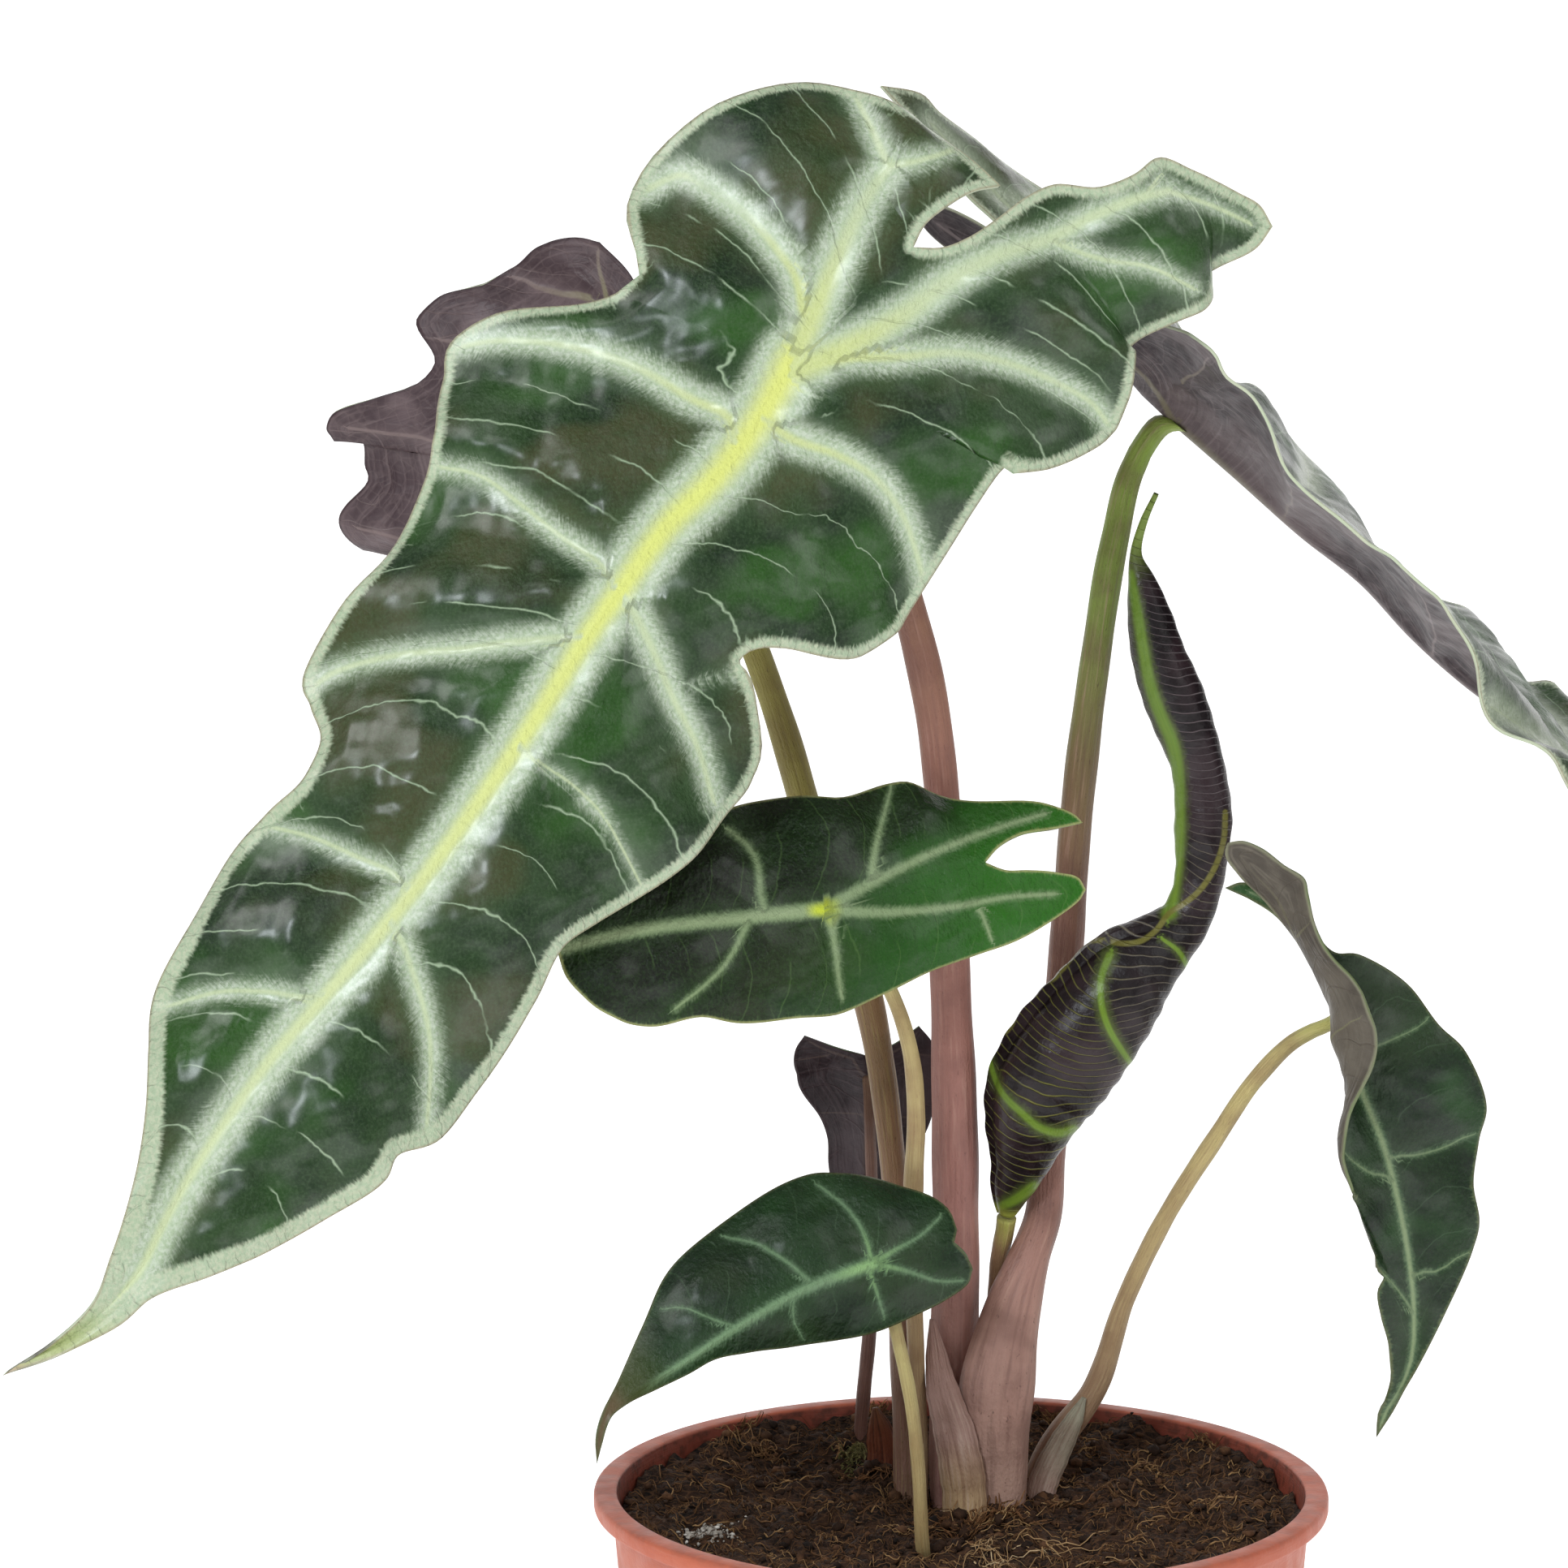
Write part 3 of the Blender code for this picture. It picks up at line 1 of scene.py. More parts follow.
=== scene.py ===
# A potted African mask plant: veined blades, ribbed stalks, a rolled new leaf, loose peat and a thin pot.
# Sizes are in millimetres until makePiece turns them into metres. Colours are display colours, 0 to 255.
import json

import bpy
import numpy as np
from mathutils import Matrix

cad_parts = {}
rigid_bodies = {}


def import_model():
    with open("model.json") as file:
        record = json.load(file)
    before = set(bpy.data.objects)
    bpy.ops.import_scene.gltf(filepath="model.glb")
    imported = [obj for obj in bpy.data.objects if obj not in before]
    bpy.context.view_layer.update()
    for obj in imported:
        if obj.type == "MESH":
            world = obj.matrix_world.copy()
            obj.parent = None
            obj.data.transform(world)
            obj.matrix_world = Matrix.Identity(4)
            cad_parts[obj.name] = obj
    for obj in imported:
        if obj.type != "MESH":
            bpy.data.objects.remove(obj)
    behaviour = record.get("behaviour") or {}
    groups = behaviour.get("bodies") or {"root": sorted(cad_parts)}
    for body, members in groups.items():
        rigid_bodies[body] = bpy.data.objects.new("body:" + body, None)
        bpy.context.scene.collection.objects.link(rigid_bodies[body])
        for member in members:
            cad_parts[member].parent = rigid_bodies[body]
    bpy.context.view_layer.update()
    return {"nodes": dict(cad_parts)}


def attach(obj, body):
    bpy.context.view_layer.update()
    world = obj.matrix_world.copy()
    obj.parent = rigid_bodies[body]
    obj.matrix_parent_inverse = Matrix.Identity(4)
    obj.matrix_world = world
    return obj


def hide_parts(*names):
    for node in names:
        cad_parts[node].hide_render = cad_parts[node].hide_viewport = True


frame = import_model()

mm = 0.001
fullTurn = 2 * np.pi
anyWay = (0, 6.28)  # the range that seeded directions are drawn from

# The photograph's view: an eye this far from the middle of the pot's rim, looking down by pitch degrees
view = {"distance": 1100, "pitch": 9.4, "aside": -28.9, "above": 115, "rimHeight": 95, "lens": 154.4,
        "sensor": 36}
pitch = np.radians(view["pitch"])
lookAlong = np.array([0.0, np.cos(pitch), -np.sin(pitch)])
lookUp = np.array([0.0, np.sin(pitch), np.cos(pitch)])
rimMiddle = np.array([0.0, 0.0, view["rimHeight"]])
eye = rimMiddle - view["distance"] * lookAlong + view["above"] * lookUp + np.array([view["aside"], 0.0, 0.0])


def setCamera():
    data = bpy.data.cameras.new("camera")
    data.lens, data.sensor_width = view["lens"], view["sensor"]
    holder = bpy.data.objects.new("camera", data)
    holder.location = eye * mm
    holder.rotation_euler = (np.pi / 2 - pitch, 0.0, 0.0)
    bpy.context.scene.collection.objects.link(holder)
    bpy.context.scene.camera = holder


# Curves and surfaces
def front(points):
    # drawn points (x, v, y) to world points: each slides along its line of sight to the depth y
    points = np.asarray(points, float)
    drawn = rimMiddle + points[..., 1:2] * lookUp
    drawn[..., 0] += points[..., 0]
    ray = drawn - eye
    return eye + ray * ((points[..., 2:3] - eye[1]) / ray[..., 1:2])


def seen(points):
    # the drawing's x and v of world points: where their lines of sight cross the plane of the pot's axis
    ray = points - eye
    hit = eye + ray * (((rimMiddle - eye) @ lookAlong) / (ray @ lookAlong))[..., None]
    return np.stack([hit[..., 0], (hit - rimMiddle) @ lookUp, 0.0 * hit[..., 0]], -1)


def smooth(keys, values, at):
    # cubic Hermite through values at keys, with slopes from the neighbours, read at other places
    keys, values, at = np.asarray(keys, float), np.asarray(values, float), np.asarray(at, float)
    values = values.reshape(len(keys), -1)
    slope = np.gradient(values, keys, axis=0)
    place = np.clip(np.searchsorted(keys, at, side="right") - 1, 0, len(keys) - 2)
    span = (keys[place + 1] - keys[place])[:, None]
    f = ((at - keys[place]) / span[:, 0])[:, None]
    a, b = values[place], values[place + 1]
    rise, fall = slope[place] * span, slope[place + 1] * span
    return (a * (1 + 2 * f) * (1 - f) ** 2 + b * f * f * (3 - 2 * f) + rise * f * (1 - f) ** 2
            - fall * f * f * (1 - f))


def along(points):
    # each point's share of the whole length of the line through them
    steps = np.linalg.norm(np.diff(np.asarray(points, float), axis=0), axis=1)
    length = np.concatenate([[0.0], np.cumsum(steps)])
    return length / length[-1]


def dense(line, step=2.0):
    # the smooth line through a few points, cut into runs of about one step, drawn ones with a depth of 0
    line = np.array(line, float)
    line = np.pad(line, ((0, 0), (0, 3 - line.shape[1])))
    count = max(3, int(np.linalg.norm(np.diff(line, axis=0), axis=1).sum() / step) + 1)
    return line if len(line) < 3 else smooth(along(line), line, np.linspace(0, 1, count))


def unit(vectors):
    return vectors / np.maximum(np.linalg.norm(vectors, axis=-1, keepdims=True), 1e-9)


def bell(distance, reach):
    # exp(-(distance / reach)^2): 1 at no distance and next to nothing at twice the reach
    return np.exp(-((distance / reach) ** 2))


def around(sides):
    # the angles of a ring's points
    return np.linspace(0, fullTurn, sides, endpoint=False)


def waves(points, size, seed, count=9):
    # a rolling field: the mean of crossed sine waves of about one size, in seeded directions
    dice = np.random.default_rng(seed)
    way = unit(dice.normal(size=(count, points.shape[-1]))) * (fullTurn / size)
    way *= dice.uniform(0.6, 1.5, count)[:, None]
    return np.sin(points @ way.T + dice.uniform(*anyWay, count)).sum(-1) / np.sqrt(count)


def crumble(x, y, size, seed, lattice=256):
    # value noise: seeded heights on a square lattice, eased between its corners, from -1 to 1
    heights = np.random.default_rng(seed).uniform(-1, 1, (lattice, lattice))
    gx, gy = x / size + 128.3, y / size + 128.7
    ix, iy = np.floor(gx).astype(int), np.floor(gy).astype(int)
    fx, fy = gx - ix, gy - iy
    fx, fy = fx * fx * (3 - 2 * fx), fy * fy * (3 - 2 * fy)
    nextX, nextY = (ix + 1) % lattice, (iy + 1) % lattice
    near = heights[ix % lattice, iy % lattice] * (1 - fx) + heights[nextX, iy % lattice] * fx
    far = heights[ix % lattice, nextY] * (1 - fx) + heights[nextX, nextY] * fx
    return near * (1 - fy) + far * fy


def gridFaces(rows, columns, closed=False):
    # quads of a grid, each (row, column), (next row), (next row, next column), (next column)
    index = np.arange(rows * columns).reshape(rows, columns)
    if closed:
        index = np.concatenate([index, index[:, :1]], axis=1)
    return np.stack([index[:-1, :-1], index[1:, :-1], index[1:, 1:], index[:-1, 1:]], -1).reshape(-1, 4)


def tubeFaces(count, sides):
    # faces of a tube of count rings, with a fan at each end round one more point
    low, last = count * sides, (count - 1) * sides
    index = np.arange(sides)
    turned = (index + 1) % sides
    faces = gridFaces(count, sides, closed=True)[:, ::-1].tolist()
    faces += np.stack([np.full(sides, low), turned, index], 1).tolist()
    return faces + np.stack([np.full(sides, low + 1), last + index, last + turned], 1).tolist()


def capped(ring):
    # a tube's points, with the middles of its first and last rings behind them
    return np.concatenate([ring.reshape(-1, 3), ring[:1].mean(1), ring[-1:].mean(1)])


def makePiece(name, points, faces, finishes, node=None, pick=None, marks=None):
    # a mesh object at the origin, with one number per point for each mark, that rides on the root
    mesh = bpy.data.meshes.new(name)
    mesh.from_pydata((np.asarray(points) * mm).tolist(), [], faces)
    for finish in finishes:
        mesh.materials.append(finish)
    if pick is not None:
        mesh.polygons.foreach_set("material_index", np.asarray(pick, np.int32))
    for key, values in (marks or {}).items():
        layer = mesh.attributes.new(key, "FLOAT", "POINT")
        layer.data.foreach_set("value", np.asarray(values, np.float32))
    mesh.shade_smooth()
    mesh.validate()
    mesh.update()
    piece = bpy.data.objects.new(name, mesh)
    bpy.context.scene.collection.objects.link(piece)
    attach(piece, "root")
    if node:
        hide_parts(node)
    return piece


# Material nodes
def tint(shade):
    # a display colour as the linear colour that the shader takes, and a wire as it is
    if isinstance(shade, Wire):
        return shade
    share = np.array(shade) / 255
    linear = np.where(share <= 0.04045, share / 12.92, ((share + 0.055) / 1.055) ** 2.4)
    return (*linear.tolist(), 1.0)


def feed(tree, socket, value):
    if isinstance(value, Wire):
        tree.links.new(value.socket, socket)
    else:
        socket.default_value = value


def addNode(tree, kind, inputs, out=0, **settings):
    # a new node with these settings and inputs, as a wire from one of its outputs
    node = tree.nodes.new("ShaderNode" + kind)
    for name, value in settings.items():
        setattr(node, name, value)
    for name, value in inputs.items():
        feed(tree, node.inputs[name], value)
    return Wire(tree, node.outputs[out])


class Wire:
    # what comes out of a node, to be reckoned with like a number
    def __init__(self, tree, socket):
        self.tree, self.socket = tree, socket

    def math(self, operation, other=0.0):
        return addNode(self.tree, "Math", {0: self, 1: other}, operation=operation)

    def __add__(self, other):
        return self.math("ADD", other)

    def __sub__(self, other):
        return self.math("SUBTRACT", other)

    def __rsub__(self, other):
        return addNode(self.tree, "Math", {0: other, 1: self}, operation="SUBTRACT")

    def __mul__(self, other):
        return self.math("MULTIPLY", other)

    def __truediv__(self, other):
        return self.math("DIVIDE", other)

    def __abs__(self):
        return self.math("ABSOLUTE")

    def spread(self, low, high, first=0.0, last=1.0):
        # eased from first at low to last at high, and level outside
        inputs = {"Value": self, "From Min": low, "From Max": high, "To Min": first, "To Max": last}
        return addNode(self.tree, "MapRange", inputs, "Result", interpolation_type="SMOOTHSTEP")

    def blend(self, first, second):
        # the first colour where this is 0 and the second where it is 1
        return addNode(self.tree, "Mix", {0: self, 6: tint(first), 7: tint(second)}, 2, data_type="RGBA")

    def lines(self, width):
        # 1 on the whole numbers and 0 at width away from them
        return abs(self.math("FRACT") - 0.5).spread(0.5 - width, 0.5)

    def part(self, axis):
        return addNode(self.tree, "SeparateXYZ", {0: self}, axis)

    def mottle(self, size, detail=2, roughness=0.5):
        # noise with spots of about this size in the vector's own units, middling at 0.5
        inputs = {"Vector": self, "Scale": 1.0 / size, "Detail": detail, "Roughness": roughness}
        return addNode(self.tree, "TexNoise", inputs, "Fac")

    def cells(self, size):
        # the distance from the edges of uneven cells
        inputs = {"Vector": self, "Scale": 1.0 / size}
        return addNode(self.tree, "TexVoronoi", inputs, "Distance", feature="DISTANCE_TO_EDGE")


def newFinish(name):
    finish = bpy.data.materials.new(name)
    finish.use_nodes = True
    return finish, finish.node_tree, finish.node_tree.nodes["Principled BSDF"]


def readings(tree, *names):
    # a wire for each of these marks of the piece's own points
    return [addNode(tree, "Attribute", {}, "Fac", attribute_name=name) for name in names]


def place(tree, x=1000, y=1000, z=1000):
    # Object coordinates in millimetres, or stretched by other factors
    where = addNode(tree, "TexCoord", {}, "Object")
    return addNode(tree, "VectorMath", {0: where, 1: (x, y, z)}, operation="MULTIPLY")


def joined(tree, x, y, z=0.0):
    return addNode(tree, "CombineXYZ", {0: x, 1: y, 2: z})


def fill(tree, shader, values, height=None, depth=0.0):
    # the shader's inputs, and a bump of this depth in millimetres by the wire height
    if height is not None:
        inputs = {"Distance": depth * mm, "Strength": 1.0, "Height": height}
        values = {**values, "Normal": addNode(tree, "Bump", inputs, "Normal")}
    for name, value in values.items():
        feed(tree, shader.inputs[name], value)


def veinReach(tree):
    # how far out of the nearest vein's core, in its half widths, and out of its border, in millimetres. The
    # signed distance crosses 0 on the vein, so a thin vein stays whole between the mesh's points. Where one
    # vein takes over from another, the plain distance less 0.7 mm keeps that crossing from showing
    core, half, offset, wide, beyond = readings(tree, "core", "half", "offset", "wide", "beyond")
    gap = abs(offset).math("MAXIMUM", core * half - 0.7)
    return gap / half, (gap - wide).math("MINIMUM", beyond)


def bladeGreen(tree, spot, look):
    # near-black to mid green in clouds, with olive and vivid patches, fine grain, a brighter right end that
    # is partly painted light, and a painted shadow from a leaf above
    green = spot.mottle(16, 3).spread(0.36, 0.66).blend(look["dark"], look["mid"])
    cloud = place(tree, 900, 1000, 1150).mottle(23)
    green = cloud.spread(0.49, 0.64, 0, 0.85).blend(green, look["olive"])
    green = cloud.spread(0.46, 0.33, 0, 0.7).blend(green, look["vivid"])
    green = spot.mottle(3, 3).spread(0.42, 0.75, 0, 0.3).blend(green, look["mid"])
    # a brighter, more vivid right end: partly the leaf's own green, partly painted light where no leaf above
    # shades it
    if "bright" in look:
        east = spot.part(0) + spot.mottle(12) * 14
        green = east.spread(*look["brightFrom"]).blend(green, look["bright"])
    # painted shadow: near-black green high on the left, where a leaf above casts its shade
    if "deep" in look:
        high = spot.part(0) * -0.475 + spot.part(2) * 0.88 + (spot.mottle(12) - 0.5) * 14
        green = high.spread(*look["deepFrom"], 0, 0.85).blend(green, look["deep"])
    return spot.mottle(0.5, 3).spread(0.4, 0.72, 0, look["grain"]).blend(green, look["haloGreen"])


def bladeTop(name, look):
    # dark quilted green, with veins whose pale borders are feathered out into it, and a pale ticked margin
    finish, tree, shader = newFinish(name)
    spot = place(tree)
    edge, start, brim, main, reach = readings(tree, "edge", "start", "brim", "main", "reach")
    strand, thin, pace, clear = readings(tree, "strand", "thin", "pace", "away")
    core, border = veinReach(tree)
    across = joined(tree, (strand - reach * 0.7) * 3, reach * 0.4)
    comb, fluff = across.mottle(1, 3), spot.mottle(0.6, 3)
    uneven = spot.mottle(4).spread(0.3, 0.7, 0.5 * look["comb"], 1.6 * look["comb"])
    away = border + ((comb - 0.5) + (fluff - 0.5) * 0.7) * uneven
    colour = bladeGreen(tree, spot, look)
    colour = away.spread(-0.5, 3.6, look["halo"], 0).blend(colour, look["haloGreen"])

    # thin veins, ticks along the margin and the net of the finest veins
    wander = spot.mottle(26, 1) + spot.mottle(3.5) * 0.2
    hair = (thin + wander).lines(pace * look["hairWidth"])
    hair = hair * spot.mottle(12).spread(0.42, 0.52, 0, look["hair"]) * clear
    tick = (brim * 0.42 + spot.mottle(2.6)).lines(0.08)
    tick = tick * (edge + spot.mottle(3.4) * 7).spread(3.4, 6.4, look["tick"], 0)
    hair = hair.math("MAXIMUM", tick)
    colour = hair.blend(colour, look["hairTint"])
    colour = spot.cells(2.6).spread(0, 0.09, look["net"], 0).blend(colour, look["haloGreen"])

    # the veins' pale borders, then their cores, yellow near the junction
    pale = away.spread(-look["fade"], look["fade"] * 0.6, 1, 0)
    fluffy = fluff.spread(0.35, 0.65).blend(look["border"], look["borderDeep"])
    fluffy = core.spread(1, 2, 0.6, 0).blend(fluffy, look["borderDeep"])
    colour = pale.blend(colour, fluffy)
    gold = main * start.spread(*look["yellowTo"], 1, 0)
    gold = gold.math("MAXIMUM", start.spread(*look["yellowNear"], 1, 0))
    strength = main.spread(0, 1, 0.55 * look["coreShare"], look["coreShare"])
    strength = strength * (core + (comb - 0.5) * 0.35).spread(0.1, 1.7, 1, 0)
    colour = strength.blend(colour, gold.blend(look["core"], look["yellow"]))
    crease = core.spread(0.04, 0.2, look["crease"], 0) * spot.mottle(9).spread(0.42, 0.56)
    colour = crease.blend(colour, look["haloGreen"])

    # the pale margin and the leaf's tip
    rim = edge - start.spread(*look["tipFrom"], 0, look["marginTip"])
    rim = rim + (joined(tree, brim * 2, edge * 0.6).mottle(1, 3) - 0.5) * 1.7
    rim = rim.spread(look["margin"] - 0.5, look["margin"] + 0.6, 0.92, 0)
    colour = rim.blend(colour, fluff.spread(0.4, 0.6).blend(look["rim"], look["borderDeep"]))
    for stretch, shade in look["tails"]:
        colour = start.spread(*stretch).blend(colour, shade)
    colour = edge.spread(0.1, 0.5, 0.75, 0).blend(colour, look["rimLine"])

    dull = spot.mottle(5, 3).spread(0.3, 0.7, look["gloss"], look["gloss"] + 0.14)
    waxy = spot.mottle(7, 3).spread(0.4, 0.62, 0.35 * look["coat"], look["coat"])
    wrinkle = abs(place(tree, 1000, 1000, 640).mottle(1.7, 3) - 0.5)
    grain = spot.mottle(0.9, 3) + spot.mottle(2.6) * 1.1 - wrinkle * 3.2 + spot.mottle(0.4) * 0.3
    fill(tree, shader, {"Base Color": colour, "Roughness": dull + pale * 0.14, "Coat Weight": waxy,
                        "Specular IOR Level": look["shine"], "Coat Roughness": 0.25},
         grain + comb * pale * 0.5 - hair * 0.8, 0.26)
    return finish


def bladeUnder(name, look):
    # satin underside: mauve fields with raised paler veins and a fine net between them
    finish, tree, shader = newFinish(name)
    spot = place(tree)
    edge, start, thin, pace = readings(tree, "edge", "start", "thin", "pace")
    vein, border = veinReach(tree)
    patch = spot.mottle(look["patch"]) + edge.spread(0, 16, -0.07, 0.04)
    colour = patch.spread(0.42, 0.6).blend(look["dark"], look["mid"])
    fibres = joined(tree, edge * 1.5, start * 0.1).mottle(1, 3)
    colour = fibres.spread(0.5, 0.72, 0, 0.5).blend(colour, look["light"])
    colour = fibres.spread(0.46, 0.3, 0, 0.35).blend(colour, look["dark"])
    colour = spot.mottle(2.4, 3).spread(0.4, 0.75, 0, 0.3).blend(colour, look["light"])
    hair = (thin + spot.mottle(11) * 1.6).lines(pace * look["hairWidth"])
    hair = hair * spot.mottle(8).spread(0.34, 0.5, 0, look["hair"])
    colour = hair.blend(colour, look["vein"])
    net = spot.cells(2.1).spread(0, 0.1, look["net"], 0)
    colour = net.blend(colour, look["vein"])
    colour = border.spread(-1.2, 1.4, look["halo"], 0).blend(colour, look["vein"])
    foot = start.spread(4, 34).blend(look["foot"], look["vein"])
    colour = vein.spread(0.4, 1.5, 0.75, 0).blend(colour, foot)
    rim = (edge + spot.mottle(3) * 0.6).spread(look["margin"], look["margin"] + 0.6, 0.85, 0)
    colour = rim.blend(colour, look["rim"])
    gloss = spot.mottle(4).spread(0.3, 0.7, 0.36, 0.52)
    fill(tree, shader, {"Base Color": colour, "Roughness": gloss, "Specular IOR Level": 0.25},
         spot.mottle(1) * 0.5 + hair * 0.9 + fibres * 0.8 + net * 0.6, 0.2)
    return finish


def bladeRim(name, colour, dark):
    # the cut edge that joins a blade's two faces, with a few dried stretches
    finish, tree, shader = newFinish(name)
    spot = place(tree)
    colour = spot.mottle(6, 3).spread(0.45, 0.7).blend(colour, dark)
    fill(tree, shader, {"Base Color": colour, "Roughness": 0.5}, spot.mottle(0.8), 0.1)
    return finish


# Leaves. midrib runs from the junction with the stalk to the tip, inner is the inner edge of a rear lobe and
# outer the margin, from the lobe's tip to the leaf's tip, as (t, x, v, depth). t is the place on the midrib
# that a cross line comes from: 0 the junction, 1 the tip, -1 the tip of the lobe. ribs are the t of the
# side veins, and belly how far the middles of the cross lines are moved. quilt, groove, wave, puff and arch
# are heights of the relief in mm, hairs and hairBend the number and the bend of the thin veins.
hero = {
    "name": "hero", "depth": -20, "lean": (0.08, 0.28), "facesFront": True, "rows": (64, 20, 206),
    "columns": 72, "quilt": 0.9, "groove": 0.45, "hairs": 3.2, "hairBend": 0.5, "wave": 1.6, "puff": 1.6,
    "arch": 3,
    "midrib": [(-27.8, 184.2, 0), (-40.4, 164.9, -1), (-55, 147.7, -2), (-68.3, 127.8, -2),
        (-82.9, 106.5, -1), (-97.5, 87.9, 0), (-113.4, 69.3, 2), (-125.4, 52.1, 4), (-134.7, 34.8, 6),
        (-141, 28, 7), (-156.6, 18.3, 8)],
    "left": {
        "inner": [(6.5, 212.7, 2), (2.3, 211.9, 1), (-1.9, 209.6, 0), (-6.1, 206, 0), (-7.7, 202.8, 0)],
        "outer": [(-1, 6.5, 212.7, 2), (-0.93, 0.1, 219.1, 3), (-0.83, -7.2, 224.7, 3), (-0.7, -15, 229.1, 3),
            (-0.58, -23.9, 231.1, 3), (-0.46, -33.2, 229.1, 3), (-0.34, -43.8, 224.3, 3),
            (-0.25, -51.1, 217.5, 2), (-0.17, -54.3, 210.1, 1), (-0.07, -52.7, 200.7, 0),
            (-0.02, -53.3, 197.7, 0), (0.015, -61.6, 193.9, 1), (0.035, -75.3, 192.6, 2),
            (0.05, -82.7, 188.8, 3), (0.075, -84.7, 182.3, 3), (0.14, -86.3, 171.8, 2), (0.19, -89, 163, 3),
            (0.22, -94.3, 152.5, 3), (0.245, -101.6, 144.5, 3), (0.27, -107.8, 134.5, 3),
            (0.3, -106.8, 129.1, 2), (0.34, -104.8, 123, 1), (0.38, -106.8, 117.3, 1),
            (0.46, -114.6, 109.6, 2), (0.5, -120.3, 103.3, 3), (0.55, -125.9, 92.6, 3),
            (0.62, -132.5, 80.7, 3), (0.67, -132.8, 72, 2), (0.72, -133.1, 62.5, 2), (0.78, -134.7, 50.1, 2),
            (0.86, -139, 37.5, 4), (0.91, -142.6, 29.2, 6), (0.95, -149.3, 22.9, 7), (1, -156.6, 18.3, 8)],
        "ribs": (-0.6, -0.22, 0.07, 0.2, 0.27, 0.5, 0.62, 0.8, 1),
    },
    "right": {
        "inner": [(51, 206.2, 5), (49, 209.6, 5), (45.4, 211.7, 4), (38, 215.4, 2), (32.3, 217.5, 1),
            (28.6, 214.9, 0), (22.8, 212.7, 0), (14.9, 213, 1), (10.8, 211.1, 1), (6.5, 207.9, 1),
            (1.2, 204.4, 0), (-2.9, 202.8, 0), (-7.7, 202.8, 0)],
        "outer": [(-1, 51, 206.2, 5), (-0.95, 48.5, 202.8, 6), (-0.88, 43.3, 199.6, 6),
            (-0.8, 42.8, 195.9, 6), (-0.72, 40.6, 192.8, 6), (-0.63, 35.9, 190.7, 6), (-0.54, 30.7, 188.6, 5),
            (-0.46, 28.6, 186.5, 4), (-0.36, 28.6, 182.9, 5), (-0.27, 28, 177.6, 6), (-0.2, 26.4, 173.3, 6),
            (-0.13, 23.4, 170.8, 6), (-0.06, 14.9, 167.1, 4), (-0.02, 9.7, 166.8, 2), (0.01, 7, 166.5, 2),
            (0.035, 2.8, 160.3, 3), (0.06, -1.3, 153.4, 4), (0.095, -7.2, 143.7, 5), (0.115, -9.8, 139.7, 5),
            (0.13, -13.8, 137.1, 5), (0.145, -17.8, 136, 4), (0.17, -28.4, 137.7, 1),
            (0.185, -32.4, 137.5, 0), (0.195, -35.1, 136.4, 0), (0.205, -36.1, 134.4, 0),
            (0.22, -33.7, 128.4, 2), (0.235, -32, 119.8, 4), (0.25, -33.1, 115.8, 4), (0.28, -37.7, 109.8, 4),
            (0.36, -47, 99.9, 3), (0.42, -59, 92.6, 1), (0.45, -64.5, 88.8, 1), (0.5, -69.5, 79.4, 3),
            (0.57, -77.7, 65.6, 4), (0.61, -84.6, 57.2, 3), (0.65, -92, 54.4, 2), (0.68, -93.9, 50.6, 2),
            (0.74, -104, 44.4, 2), (0.8, -113.9, 38.8, 3), (0.86, -123.4, 34.4, 4), (0.9, -132.1, 31.2, 5),
            (0.94, -138.4, 26.3, 6), (0.97, -147.8, 21.4, 7), (1, -156.6, 18.3, 8)],
        "ribs": (-0.85, -0.5, -0.2, 0.1, 0.26, 0.4, 0.58, 0.75, 1),
    },
}
